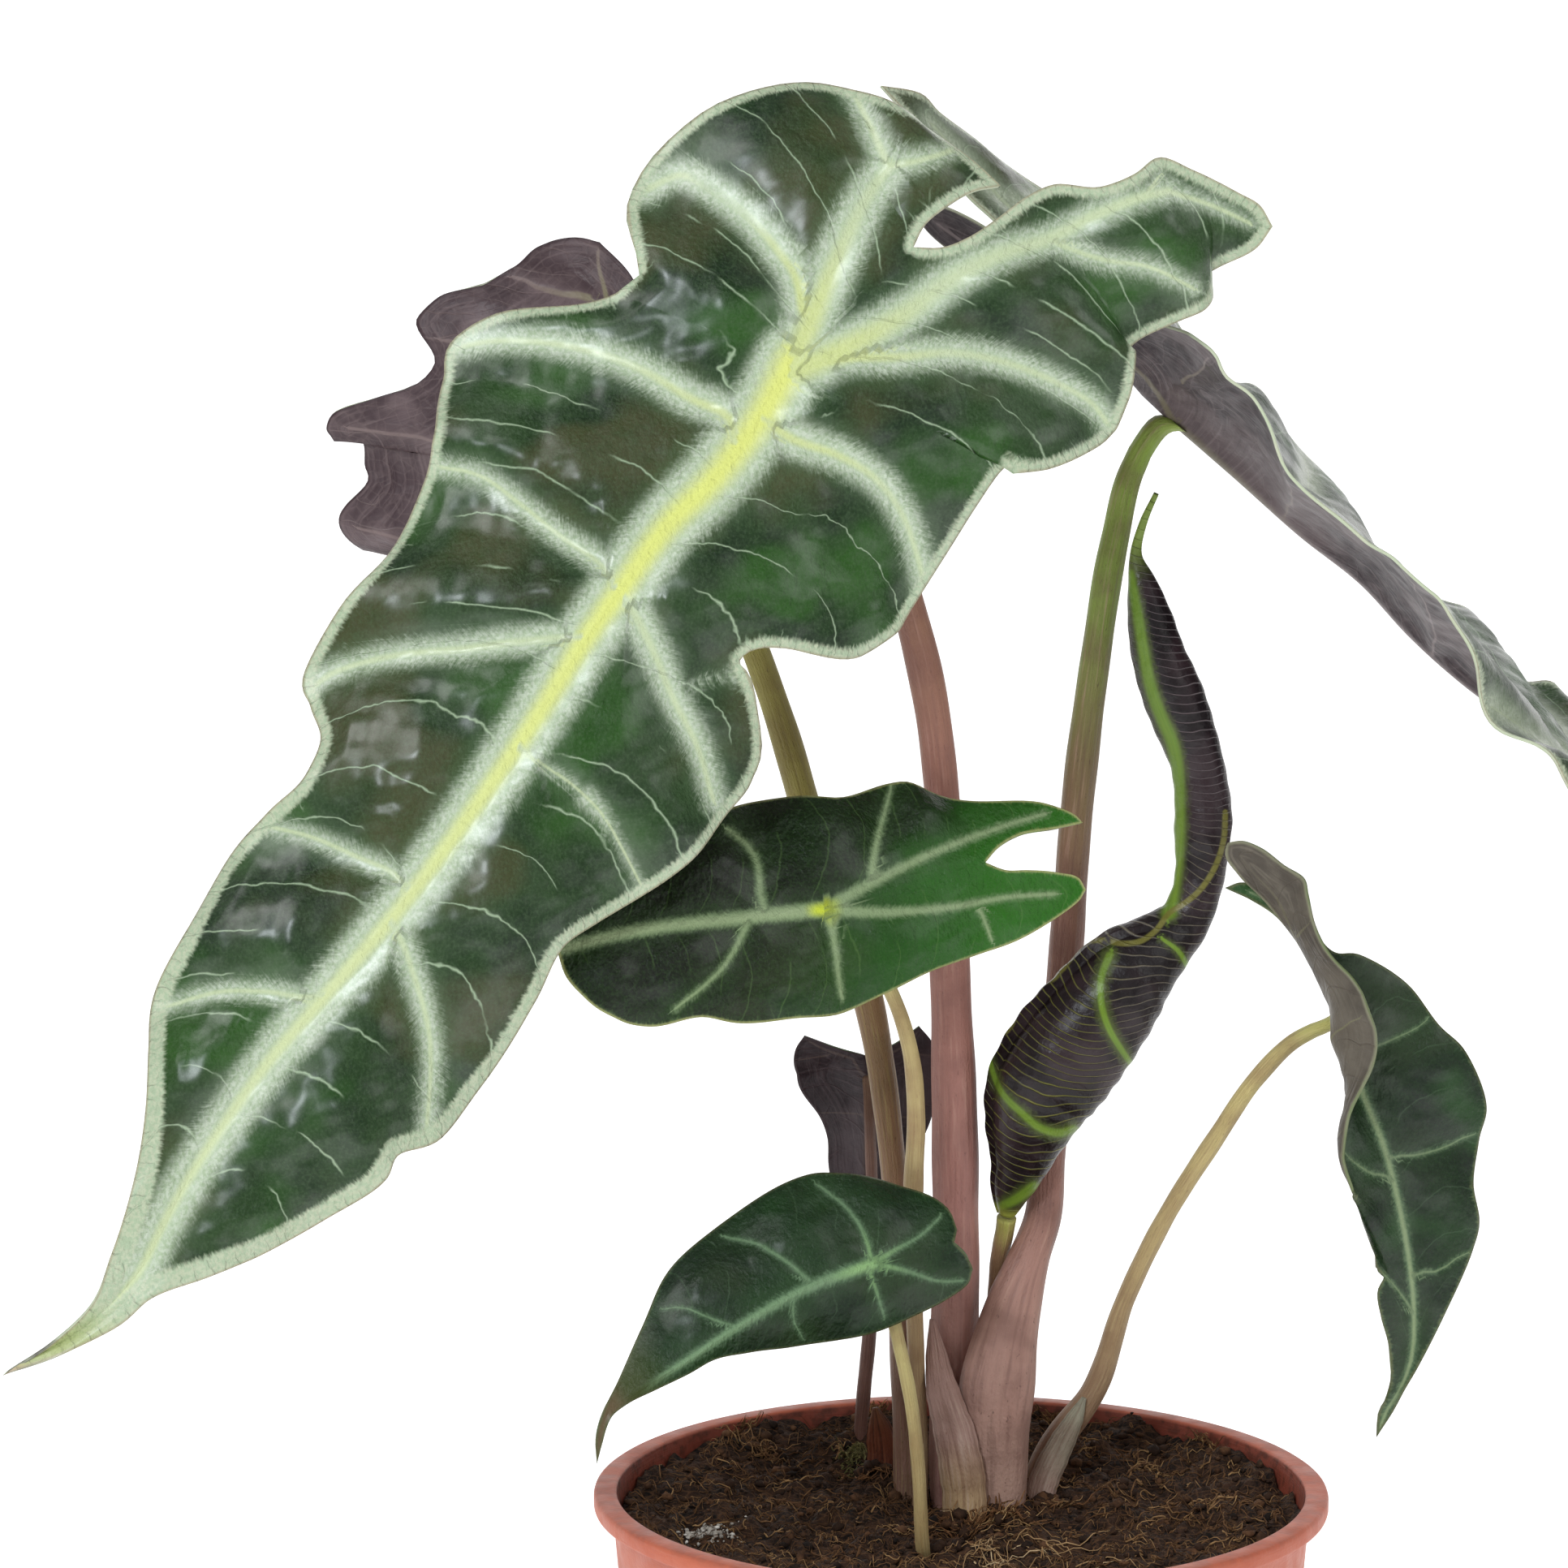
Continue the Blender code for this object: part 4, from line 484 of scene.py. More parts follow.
# (core half width at the start and the end, border half width at the start and the end, route)
hero["veins"] = [
    (2.8, 0.5, 6.4, 3.4, [(-27.7, 184.1), (-32.4, 175.5), (-40.4, 164.9), (-48.3, 156.9), (-55, 147.6),
        (-61.6, 138.3), (-68.2, 127.7), (-74.9, 117.7), (-82.8, 106.5), (-90.8, 95.8), (-97.4, 87.9),
        (-105.4, 78.6), (-113.4, 69.3), (-120, 60), (-125.3, 52), (-130.6, 42.7), (-134.6, 34.8),
        (-140.6, 28.1), (-156.5, 18.3)]),
    (2.3, 0.9, 5, 3.6, [(-27.7, 183.5), (-23.1, 194.1), (-19.1, 203.4), (-15.1, 211.3), (-11.8, 216)]),
    (0.8, 0.4, 3, 1.9, [(-11.8, 216), (-15.1, 223.3), (-17.8, 228.6)]),
    (0.7, 0.4, 2.8, 1.5, [(-11.8, 216), (-5.8, 217.3), (0.8, 219.3)]),
    (0.8, 0.5, 3.6, 2.6, [(-25.8, 192), (-27, 198), (-29.7, 202), (-35, 208), (-40.4, 212), (-45.7, 214.7),
        (-51.6, 212)]),
    (2.3, 0.7, 5, 2.2, [(-27.7, 182.1), (-17.8, 186.8), (-9.8, 191.4), (-0.5, 198.1), (7.4, 202), (14.1, 204),
        (22, 208), (30, 211.1), (34, 212)]),
    (0.5, 0.3, 2.4, 1.5, [(14.1, 204), (23.4, 200.7), (31.3, 199.4), (38, 196.1)]),
    (0.4, 0.2, 1.5, 0.9, [(30, 211.1), (32.7, 214.7)]),
    (0.5, 0.3, 1.9, 1, [(34, 212), (41.9, 209.3), (47.3, 206.7)]),
    (1, 0.4, 3.6, 2.2, [(-24.4, 183.2), (-17.8, 184.8), (-11.2, 184.8), (-0.5, 185.5), (8.8, 183.5),
        (16.7, 180.1), (22, 176.8), (24.3, 173.5)]),
    (0.9, 0.4, 3.7, 2.2, [(-37, 170.8), (-37.6, 174.4), (-44.3, 178.1), (-52.3, 182.8), (-61.6, 186.1),
        (-69.6, 187.4), (-77.5, 187.4), (-83.5, 186.1)]),
    (0.5, 0.3, 2.8, 1.8, [(-56, 145.6), (-58.3, 150.3), (-65.6, 155.6), (-72.2, 160.9), (-78.9, 165.5),
        (-85.5, 166.9)]),
    (0.7, 0.4, 3.1, 2, [(-60.9, 139), (-62.9, 139), (-72.2, 138.3), (-82.8, 137), (-90.8, 136.3),
        (-97.4, 135), (-104.1, 132.4), (-106.3, 130.4)]),
    (0.5, 0.3, 2.3, 1.4, [(-90.1, 97.2), (-92.1, 99.8), (-98.8, 103.1), (-106.7, 106.5), (-113.4, 108.1)]),
    (0.5, 0.3, 2.3, 1.5, [(-104.1, 80.6), (-106.1, 80.2), (-113.4, 81), (-121.3, 81), (-130, 78.6)]),
    (0.9, 0.4, 3.8, 2.2, [(-32.4, 174.8), (-27.7, 171.5), (-20.4, 168.9), (-13.8, 164.9), (-9.8, 159.6),
        (-7.2, 152.9), (-5.8, 146.3)]),
    (0.8, 0.4, 3.4, 2.2, [(-56.3, 146.3), (-55, 145), (-51, 138.3), (-47, 129), (-43, 121.1),
        (-40.4, 112.4)]),
    (0.3, 0.2, 0.9, 0.5, [(-72.2, 121.1), (-69.6, 119.1), (-62.9, 114.4), (-58.9, 110.4), (-55, 103.8),
        (-51, 95.8)]),
    (0.6, 0.3, 2.6, 1.8, [(-93.5, 92.5), (-92.1, 90.5), (-89.5, 83.9), (-86.8, 73.3), (-86.8, 64),
        (-87.5, 57.3)]),
    (0.02, 0.02, 1.9, 1.1, [(-61, 112.5), (-59, 110.4), (-57.5, 108)]),
    (0.02, 0.02, 0.9, 0.4, [(-37.4, 132.6), (-34, 133.6), (-30, 134.4)]),
    (0.02, 0.02, 0.5, 0.3, [(-44.6, 131), (-36, 133), (-27, 132.6), (-20, 129), (-16.4, 124.6)]),
]
# comb and fade are the teeth's length and the soft edge of a vein's border, margin the pale rim's width.
# yellowTo and yellowNear are how far from the junction the midrib's and the other veins' cores are yellow,
# tails where the tip takes on other colours
hero["top"] = {
    "dark": (15, 38, 15), "mid": (36, 62, 28), "olive": (64, 67, 38), "vivid": (40, 86, 20), "comb": 1.7,
    "fade": 2.3, "halo": 0.5, "haloGreen": (76, 100, 68), "net": 0.08, "grain": 0.24, "hairWidth": 0.3,
    "hair": 0.8, "hairTint": (160, 182, 150), "tick": 0.75, "crease": 0.04, "border": (192, 204, 184),
    "borderDeep": (170, 188, 158), "coreShare": 0.92, "yellowTo": (34, 150), "yellowNear": (6, 28),
    "yellow": (216, 223, 120), "core": (200, 212, 166), "margin": 1.6, "marginTip": 1.5, "tipFrom": (60, 170),
    "rim": (186, 196, 168), "rimLine": (160, 152, 126), "gloss": 0.4, "shine": 0.14, "coat": 0.9,
    "tails": [((178, 191), (168, 180, 122)), ((194, 199), (196, 150, 122))],
}

middle = {
    "name": "middle", "depth": -22, "lean": (0.34, 0.45), "facesFront": True, "rows": (46, 18, 96),
    "columns": 46, "quilt": 0.5, "groove": 0.25, "hairs": 3, "hairBend": 0.4, "wave": 0.8, "puff": 1,
    "arch": 1.5, "midrib": [(-22.3, 94.6, 0), (-35.9, 93.1, 0), (-55.4, 90.6, 1), (-65.9, 87.6, 3)],
    "left": {
        "inner": [(19.9, 108.6, 0), (15.4, 107.6, 0), (9.7, 106.6, 0), (6.2, 104.6, 0), (4, 102.1, 0)],
        "outer": [(-1, 19.9, 108.6, 0), (-0.93, 18.3, 110.1, 0), (-0.84, 13.7, 111.8, 1),
            (-0.66, 2.1, 112.5, 2), (-0.5, -6.5, 115, 2), (-0.35, -11, 115.7, 2), (-0.15, -19.7, 113, 1),
            (0, -26.6, 113.3, 2), (0.18, -34.1, 112.6, 2), (0.45, -43, 108, 2), (0.65, -52.3, 101.4, 2),
            (0.87, -61.6, 93.6, 2), (1, -65.9, 87.6, 3)],
        "ribs": (-0.6, -0.3, 0.15, 0.6, 1),
    },
    "right": {
        "inner": [(20.5, 97.7, 0), (19.4, 99.5, 0), (15.9, 100.5, 0), (10.8, 100.9, 0), (7.3, 100.9, 0),
            (4, 102.1, 0)],
        "outer": [(-1, 20.5, 97.7, 0), (-0.9, 18.9, 95.5, 1), (-0.74, 9.7, 89.6, 2), (-0.6, 2.1, 86.9, 2),
            (-0.45, -4.8, 84.5, 2), (-0.28, -11.7, 81, 3), (-0.08, -19.1, 77.6, 3), (0.1, -26.6, 76.8, 3),
            (0.28, -34.7, 76.1, 3), (0.45, -42.2, 77, 2), (0.62, -50.2, 75.6, 3), (0.75, -56, 76.8, 3),
            (0.88, -61.2, 79.9, 3), (0.95, -64.7, 83.9, 3), (1, -65.9, 87.6, 3)],
        "ribs": (-0.6, -0.1, 0.3, 0.65, 1),
    },
}
middle["veins"] = [
    (1, 0.7, 1.5, 1.2, [(-22.3, 94.5), (-35.8, 93.1), (-55.4, 90.5), (-65.6, 87.9)]),
    (0.9, 0.3, 1.3, 0.7, [(-22.3, 94.5), (-13.4, 99.4), (-3.6, 104.1), (7.3, 108.1), (13.7, 110)]),
    (0.9, 0.3, 1.3, 0.6, [(-22.3, 94.5), (-15.1, 94), (-1.9, 94.8), (8, 96.5), (15.4, 97)]),
    (0.6, 0.3, 1, 0.7, [(-31.7, 93.5), (-32.4, 95.4), (-34.1, 104.1), (-38.1, 107.5)]),
    (0.7, 0.2, 1.1, 0.5, [(-14.5, 98.9), (-14.5, 100), (-11.4, 114.4)]),
    (0.5, 0.2, 0.9, 0.5, [(-34.4, 93.2), (-35.3, 91.3), (-38.8, 85.1), (-46.7, 78.2)]),
    (0.7, 0.3, 1.1, 0.6, [(-22, 94.3), (-21.4, 92.5), (-19.6, 80.4)]),
    (0.4, 0.2, 0.8, 0.4, [(2.1, 95.6), (2.8, 94.8), (5, 89.6)]),
]
# deep is a painted shadow: near-black green high on the left, where the big leaf above shades this one.
# bright is a brighter right end, partly its own vivid green and partly painted light
middle["top"] = {
    "dark": (12, 25, 11), "mid": (24, 50, 18), "olive": (34, 42, 22), "vivid": (30, 84, 16), "comb": 0.7,
    "fade": 0.9, "halo": 0.2, "haloGreen": (58, 90, 44), "net": 0.05, "grain": 0.2, "hairWidth": 0.25,
    "hair": 0.2, "hairTint": (100, 134, 74), "tick": 0.12, "crease": 0.04, "border": (122, 144, 104),
    "borderDeep": (100, 124, 84), "coreShare": 0.85, "yellowTo": (1, 3.8), "yellowNear": (1, 3.8),
    "yellow": (200, 214, 50), "core": (150, 168, 126), "margin": 0, "marginTip": 0.2, "tipFrom": (20, 50),
    "rim": (120, 140, 76), "rimLine": (158, 160, 104), "gloss": 0.32, "shine": 0.16, "coat": 0.4,
    "bright": (38, 98, 18), "brightFrom": (-30, 24), "deep": (15, 21, 10), "deepFrom": (177, 187),
    "tails": [],
}

frontLeaf = {
    "name": "front", "depth": -20, "lean": (0.2, 0.38), "facesFront": True, "rows": (30, 14, 96),
    "columns": 38, "quilt": 0.4, "groove": 0.2, "hairs": 2.4, "hairBend": 0.4, "wave": 0.4, "puff": 0.8,
    "arch": 2,
    "midrib": [(-14.2, 36.7, 0), (-25.6, 32.3, -1), (-36.3, 26.3, -1), (-44.6, 20.8, 0), (-52.6, 15.9, 1),
        (-57.4, 12.4, 2), (-59.1, 7.6, 3), (-59.5, 3.9, 4)],
    "left": {
        "inner": [(-0.7, 42, 2), (-1.1, 40.1, 1)],
        "outer": [(-1, -0.7, 42, 2), (-0.8, -1.9, 45.4, 3), (-0.6, -4.9, 47.9, 3), (-0.4, -9.2, 49.7, 3),
            (-0.2, -13.8, 51.1, 3), (0, -19.3, 51.9, 2), (0.12, -24.3, 51.8, 2), (0.26, -32, 48.3, 2),
            (0.4, -40.5, 42.5, 2), (0.52, -47.7, 35.7, 2), (0.66, -52.3, 25.9, 2), (0.78, -56.2, 17, 2),
            (0.86, -58.5, 12.4, 2), (0.94, -59.7, 7.7, 3), (1, -59.5, 3.9, 4)],
        "ribs": (-0.4, 0.1, 0.35, 0.6, 1),
    },
    "right": {
        "inner": [(1.9, 35.7, 2), (1.1, 37.7, 1), (-1.1, 40.1, 1)],
        "outer": [(-1, 1.9, 35.7, 2), (-0.8, 1.1, 33.1, 3), (-0.6, -2.4, 30.5, 3), (-0.4, -6.5, 28.3, 3),
            (-0.15, -14.2, 25.1, 3), (0.05, -21.4, 23.6, 3), (0.2, -27.8, 22.7, 3), (0.36, -34.5, 21.9, 2),
            (0.5, -40.5, 20.8, 2), (0.6, -44.6, 18.5, 2), (0.7, -49.8, 16, 2), (0.79, -54.6, 13.6, 2),
            (0.86, -57.2, 11.3, 2), (0.94, -58.5, 7.5, 3), (1, -59.5, 3.9, 4)],
        "ribs": (-0.4, 0.1, 0.35, 0.6, 1),
    },
}
frontLeaf["veins"] = [
    (0.8, 0.3, 1.5, 0.7, [(-14.2, 36.6), (-25.6, 32.3), (-36.2, 26.3), (-44.6, 20.8), (-49.8, 17.4),
        (-55, 12.9)]),
    (0.5, 0.2, 0.9, 0.4, [(-14.2, 36.6), (-11, 38.6), (-6, 41.5), (-3.5, 44)]),
    (0.5, 0.2, 0.9, 0.4, [(-14.2, 36.6), (-9, 35.4), (-3, 33.6), (0, 33.8)]),
    (0.4, 0.2, 0.8, 0.4, [(-14.6, 37), (-15.6, 41), (-19, 46), (-23.5, 49.4)]),
    (0.4, 0.2, 0.7, 0.4, [(-24, 32.9), (-28, 36.5), (-34, 40), (-38.5, 40.8)]),
    (0.4, 0.2, 0.7, 0.4, [(-15.2, 36.2), (-13.8, 32), (-12.6, 28)]),
    (0.3, 0.1, 0.6, 0.3, [(-27, 31.6), (-27.6, 28), (-26, 24.6)]),
    (0.3, 0.1, 0.5, 0.3, [(-36.6, 26), (-41, 27.6), (-46, 29.4), (-48.6, 29)]),
]
frontLeaf["top"] = {
    "dark": (16, 34, 18), "mid": (29, 54, 28), "olive": (40, 54, 34), "vivid": (28, 66, 24), "comb": 0.9,
    "fade": 0.9, "halo": 0.25, "haloGreen": (50, 78, 44), "net": 0.05, "grain": 0.18, "hairWidth": 0.22,
    "hair": 0.15, "hairTint": (96, 126, 92), "tick": 0.1, "crease": 0.04, "border": (96, 124, 92),
    "borderDeep": (76, 104, 74), "coreShare": 0.75, "yellowTo": (2, 9), "yellowNear": (2, 7),
    "yellow": (146, 186, 122), "core": (122, 152, 114), "margin": 0, "marginTip": 0.2, "tipFrom": (20, 40),
    "rim": (76, 96, 60), "rimLine": (84, 88, 58), "gloss": 0.36, "shine": 0.18, "coat": 0.4,
    "tails": [((36, 45), (58, 68, 30)), ((44.5, 49), (94, 80, 56))],
}

back = {
    "name": "back", "depth": 31, "lean": (0, 0), "facesFront": False, "rows": (50, 16, 110), "columns": 44,
    "quilt": 0.6, "groove": 0.35, "hairs": 3.2, "hairBend": 0.4, "wave": 1.2, "puff": 1.4, "arch": 2,
    "midrib": [(-49, 176.9, 0), (-54, 160, 5), (-59, 143, 12), (-64, 125, 21), (-67, 108, 31), (-66, 94, 42)],
    "left": {
        "inner": [(-59, 203.5, 14), (-53.8, 198, 9), (-51, 191.5, 5), (-49.4, 186.2, 2)],
        "outer": [(-1, -59, 203.5, 14), (-0.9, -62.1, 204, 15), (-0.72, -68.9, 202.5, 15),
            (-0.55, -72.6, 198.3, 14), (-0.42, -77.4, 195.9, 14), (-0.28, -85.3, 194.4, 15),
            (-0.2, -87.9, 191.2, 16), (-0.06, -85.8, 182.9, 14), (-0.02, -88.4, 180.5, 14),
            (0.04, -94.7, 178.6, 16), (0.1, -101.7, 176.5, 19), (0.13, -102.5, 174.4, 20),
            (0.17, -101.5, 172.5, 20), (0.2, -97.9, 172.1, 19), (0.25, -97.1, 167.1, 20),
            (0.28, -96.5, 164.9, 20), (0.32, -99.7, 161.4, 22), (0.36, -100.4, 159.5, 23),
            (0.42, -97.3, 155.2, 25), (0.46, -94.2, 153.7, 25), (0.52, -88.2, 146.3, 26),
            (0.62, -86.2, 137.1, 29), (0.72, -82.9, 126.4, 33), (0.84, -77.6, 115.8, 36),
            (0.94, -70.9, 103.9, 39), (1, -66, 94, 42)],
        "ribs": (-0.5, -0.15, 0.12, 0.36, 0.6, 1),
    },
    "right": {
        "inner": [(-40.4, 200.8, 6), (-43, 195.5, 4), (-46.3, 190.2, 2), (-49.4, 186.2, 2)],
        "outer": [(-1, -40.4, 200.8, 6), (-0.75, -35, 196.8, 4), (-0.4, -31, 187.5, 2),
            (-0.15, -33.7, 179.5, 1), (0.08, -29.7, 171.6, 2), (0.24, -33.7, 163.6, 4), (0.4, -37.7, 153, 9),
            (0.55, -40.4, 142.4, 14), (0.7, -44.4, 130.4, 21), (0.83, -51, 117.1, 29), (0.93, -59, 103.9, 36),
            (1, -66, 94, 42)],
        "ribs": (-0.4, 0.1, 0.3, 0.6, 1),
    },
}

right = {
    "name": "right", "depth": 25, "lean": (0, 0), "facesFront": True, "rows": (60, 20, 150), "columns": 50,
    "quilt": 0.7, "groove": 0.35, "hairs": 3.2, "hairBend": 0.4, "wave": 1.2, "puff": 1.2, "arch": 1,
    "midrib": [(36.7, 174.2, 0), (46.1, 165.9, 1), (56.3, 156.7, 2), (66.4, 148.6, 3), (74.6, 139.7, 3),
        (83.3, 131.9, 2), (90.5, 126.5, 1), (99.3, 119.7, -1), (112.3, 107.8, -4), (123, 93.2, -8),
        (129.6, 74.6, -12)],
    "left": {
        "inner": [(-9.2, 211.4, -4), (-5.8, 206, -4), (3, 199, -4), (15, 190.3, -4), (27.5, 181.4, -2)],
        "outer": [(-1, -9.2, 211.4, -4), (-0.86, -1.9, 209.2, -9), (-0.7, 8, 203.5, -12),
            (-0.52, 19.4, 196.8, -16), (-0.3, 32.9, 190, -22), (-0.2, 38.5, 189.2, -25),
            (-0.08, 43.6, 185.6, -28), (-0.02, 44.1, 181.7, -28), (0.05, 48.2, 177.6, -30),
            (0.11, 52.2, 173, -32), (0.18, 55.8, 166.4, -33), (0.26, 60.8, 159.2, -33), (0.31, 66, 155, -34),
            (0.37, 72.1, 153.1, -36), (0.44, 78.4, 147.1, -35), (0.5, 80.5, 141.4, -33),
            (0.58, 85.8, 134.4, -31), (0.65, 88.6, 125.3, -29), (0.7, 94.4, 121.1, -28),
            (0.76, 99.3, 117.1, -27), (0.84, 108.4, 105.2, -25), (0.91, 116.3, 90.6, -20),
            (0.96, 124.3, 80, -16), (1, 129.6, 74.6, -12)],
        "ribs": (-0.55, -0.1, 0.16, 0.4, 0.62, 0.8, 1),
    },
    "right": {
        "inner": [(-13.1, 229.1, 9), (-4.5, 219.4, 7), (1.2, 211.1, 6), (5.2, 207.4, 5), (15.4, 197, 3),
            (27.5, 181.4, -2)],
        "outer": [(-1, -13.1, 229.1, 9), (-0.93, -6.6, 228, 12), (-0.86, -3.5, 224.8, 14),
            (-0.74, 4.4, 218.9, 19), (-0.6, 14.9, 213.3, 23), (-0.35, 28.7, 199.5, 28),
            (-0.15, 39.3, 187.5, 33), (-0.05, 44.4, 181.6, 36), (0.02, 47.7, 180.1, 38),
            (0.12, 53.3, 174.5, 39), (0.2, 58.8, 168.9, 40), (0.26, 60.6, 164.9, 40), (0.34, 63.9, 157.3, 40),
            (0.42, 71.2, 150.3, 41), (0.5, 79.7, 144.9, 41), (0.56, 83.9, 142.6, 40), (0.62, 87.3, 137.9, 38),
            (0.69, 92.8, 132.5, 36), (0.75, 97.5, 130.8, 34), (0.79, 99.8, 127.2, 31), (0.86, 111, 119.8, 22),
            (0.92, 120.3, 107.8, 10), (0.97, 128.3, 90.6, -3), (1, 129.6, 74.6, -12)],
        "ribs": (-0.6, -0.1, 0.18, 0.42, 0.65, 0.82, 1),
    },
}

side = {
    "name": "side", "depth": 3, "lean": (0, 0), "facesFront": True, "rows": (40, 14, 110), "columns": 40,
    "quilt": 0.4, "groove": 0.25, "hairs": 2.6, "hairBend": 0.4, "wave": 0.5, "puff": 0.7, "arch": 1,
    "midrib": [(62.5, 78, 0), (65.7, 64.4, 1), (69, 56.3, 1), (71.7, 46, 1), (73.2, 38, 1), (74.1, 29.2, 1),
        (73.4, 19.7, 1), (71.7, 15.7, 1), (69.5, 12.2, 1), (68, 8.2, 1)],
    "left": {
        "inner": [(43.7, 105.4, -2), (43.3, 103.7, -2), (45.4, 100.3, -2), (49.4, 96.3, -2), (52.9, 92.2, -2),
            (58.5, 84.5, 0)],
        "outer": [(-1, 43.7, 105.4, -2), (-0.92, 46.1, 105.7, -3), (-0.83, 49.4, 104.4, -4),
            (-0.73, 52.9, 101.7, -5), (-0.62, 56.2, 99.6, -6), (-0.52, 57, 96.9, -7), (-0.38, 58.2, 92.2, -8),
            (-0.2, 61, 86.7, -9), (-0.05, 64.9, 82.7, -10), (0.08, 67.3, 78.6, -11), (0.16, 68.4, 74.6, -11),
            (0.25, 67.7, 69.2, -10), (0.32, 65.7, 64.4, -9), (0.4, 64.1, 59, -8.5), (0.47, 63.1, 54.3, -6),
            (0.55, 64.5, 48.2, -3.5), (0.62, 65.7, 43.4, -1.5), (0.69, 68, 37.3, 0), (0.73, 69.5, 34.7, 0),
            (0.77, 68.3, 31.9, 0), (0.82, 68.8, 27.9, 0), (0.88, 70.2, 22.6, 0), (0.92, 70.4, 18, 0),
            (0.95, 69.6, 14.8, 1), (0.98, 68.2, 11.7, 1), (1, 68, 8.2, 1)],
        "belly": [(-1, 0, 0, 0), (-0.6, -1, -1, 0), (-0.2, -4, -1, 1), (0.1, -9, 0, 0), (0.3, -10, 0, 0),
            (0.45, -7, 0, 0), (0.6, -2, 0, 0), (0.7, 0, 0, 0), (1, 0, 0, 0)],
        "ribs": (-0.4, 0.1, 0.4, 0.7, 1),
    },
    "right": {
        "inner": [(43.3, 98, 1), (47.5, 96, 1), (51.5, 93.5, 1), (55.2, 89, 1), (58.5, 84.5, 0)],
        "outer": [(-1, 43.3, 98, 1), (-0.9, 46, 98.9, 1), (-0.8, 49.4, 98.2, 2), (-0.6, 54, 94.5, 3),
            (-0.4, 58, 90.5, 3), (-0.22, 61.5, 87.3, 3), (-0.1, 65.7, 86.9, 3), (0.03, 73.8, 81.7, 3),
            (0.12, 78.6, 75.3, 3), (0.2, 82.6, 71.2, 3), (0.3, 86.2, 61.8, 3), (0.37, 85, 56.3, 3),
            (0.46, 83.9, 49.5, 2), (0.54, 84.9, 43.4, 2), (0.62, 83.9, 38.6, 2), (0.75, 79.3, 28.6, 2),
            (0.86, 74.9, 19.8, 1), (0.92, 72.6, 15.9, 1), (0.96, 70.6, 12.1, 1), (1, 68, 8.2, 1)],
        "ribs": (-0.4, 0.1, 0.35, 0.62, 1),
    },
}

small = {
    "name": "small", "depth": 45, "lean": (0, 0), "facesFront": False, "rows": (20, 10, 50), "columns": 26,
    "quilt": 0.3, "groove": 0.2, "hairs": 2.6, "hairBend": 0.4, "wave": 0.4, "puff": 0.6, "arch": 1.5,
    "midrib": [(-15.2, 67, 0), (-15.4, 58, 1), (-15.6, 48, 3), (-15.4, 38, 6)],
    "left": {
        "inner": [(-25.6, 73.8, 2), (-20, 71.8, 1), (-15.6, 70.6, 0)],
        "outer": [(-1, -25.6, 73.8, 2), (-0.6, -27, 71.5, 3), (-0.2, -26.7, 68.5, 4), (0.08, -25.4, 64.9, 5),
            (0.22, -22.7, 61, 5), (0.34, -21.6, 57.5, 5), (0.5, -21.4, 52.6, 5), (0.75, -19.2, 45, 6),
            (1, -15.4, 38, 6)],
        "ribs": (-0.4, 0.2, 0.6, 1),
    },
    "right": {
        "inner": [(-6.8, 75.4, 2), (-11, 72.4, 1), (-15.6, 70.6, 0)],
        "outer": [(-1, -6.8, 75.4, 2), (-0.6, -4.6, 72.5, 3), (-0.1, -4.3, 67, 4), (0.2, -5.4, 60.5, 5),
            (0.5, -8.4, 52.6, 5), (0.75, -11.9, 45, 6), (1, -15.4, 38, 6)],
        "ribs": (-0.4, 0.2, 0.6, 1),
    },
}

# Half widths, as above, of the veins of the leaves without drawn ones, which follow the blade's own grid
back["ruled"] = {"midrib": (1.2, 0.5, 2.6, 1.2), "lobe": (0.7, 0.3, 1.6, 0.8), "side": (0.5, 0.25, 1.2, 0.6)}
right["ruled"] = {"midrib": (1.4, 0.6, 5, 2.6), "lobe": (0.7, 0.3, 4, 2), "side": (0.3, 0.15, 3, 1.8)}
side["ruled"] = {"midrib": (0.7, 0.3, 1.2, 0.7), "lobe": (0.4, 0.2, 0.7, 0.4), "side": (0.3, 0.1, 0.6, 0.3)}
small["ruled"] = {"midrib": (0.5, 0.3, 0.9, 0.5), "lobe": (0.3, 0.2, 0.5, 0.3), "side": (0.2, 0.1, 0.4, 0.3)}
right["top"] = {
    **hero["top"], "hair": 0.4, "margin": 1, "marginTip": 0.3, "halo": 0.8, "comb": 1.2,
    "haloGreen": (124, 138, 114), "border": (176, 186, 164), "borderDeep": (152, 164, 140),
    "core": (180, 192, 158), "yellowTo": (4, 20), "yellowNear": (2, 10), "tails": [],
}
back["top"] = {**hero["top"], "margin": 0.6, "marginTip": 0.3, "tails": []}
side["top"] = {
    **frontLeaf["top"], "dark": (12, 28, 13), "mid": (26, 50, 24), "rim": (108, 120, 80),
    "border": (104, 126, 92), "core": (140, 156, 116), "yellow": (146, 166, 116), "vivid": (34, 76, 26),
    "coat": 0.5, "tails": [],
}
small["top"] = {**frontLeaf["top"], "margin": 0.2, "tails": []}
mauveUnder = {
    "dark": (70, 56, 60), "mid": (98, 83, 86), "light": (118, 103, 104), "hairWidth": 0.28, "hair": 0.4,
    "vein": (128, 112, 110), "net": 0.14, "halo": 0.15, "foot": (140, 150, 78), "margin": 0.35,
    "rim": (62, 48, 52), "patch": 14,
}
darkUnder = {
    **mauveUnder, "dark": (40, 30, 36), "mid": (84, 73, 75), "light": (118, 107, 108), "foot": (112, 106, 84),
    "halo": 0.1, "hair": 0.2, "rim": (190, 194, 170), "margin": 0.1, "vein": (124, 112, 112), "net": 0.08,
    "patch": 20,
}
greyUnder = {
    **mauveUnder, "dark": (76, 70, 62), "mid": (98, 92, 82), "light": (120, 113, 101), "vein": (86, 79, 70),
    "foot": (120, 118, 90), "rim": (128, 128, 104), "net": 0.08,
}
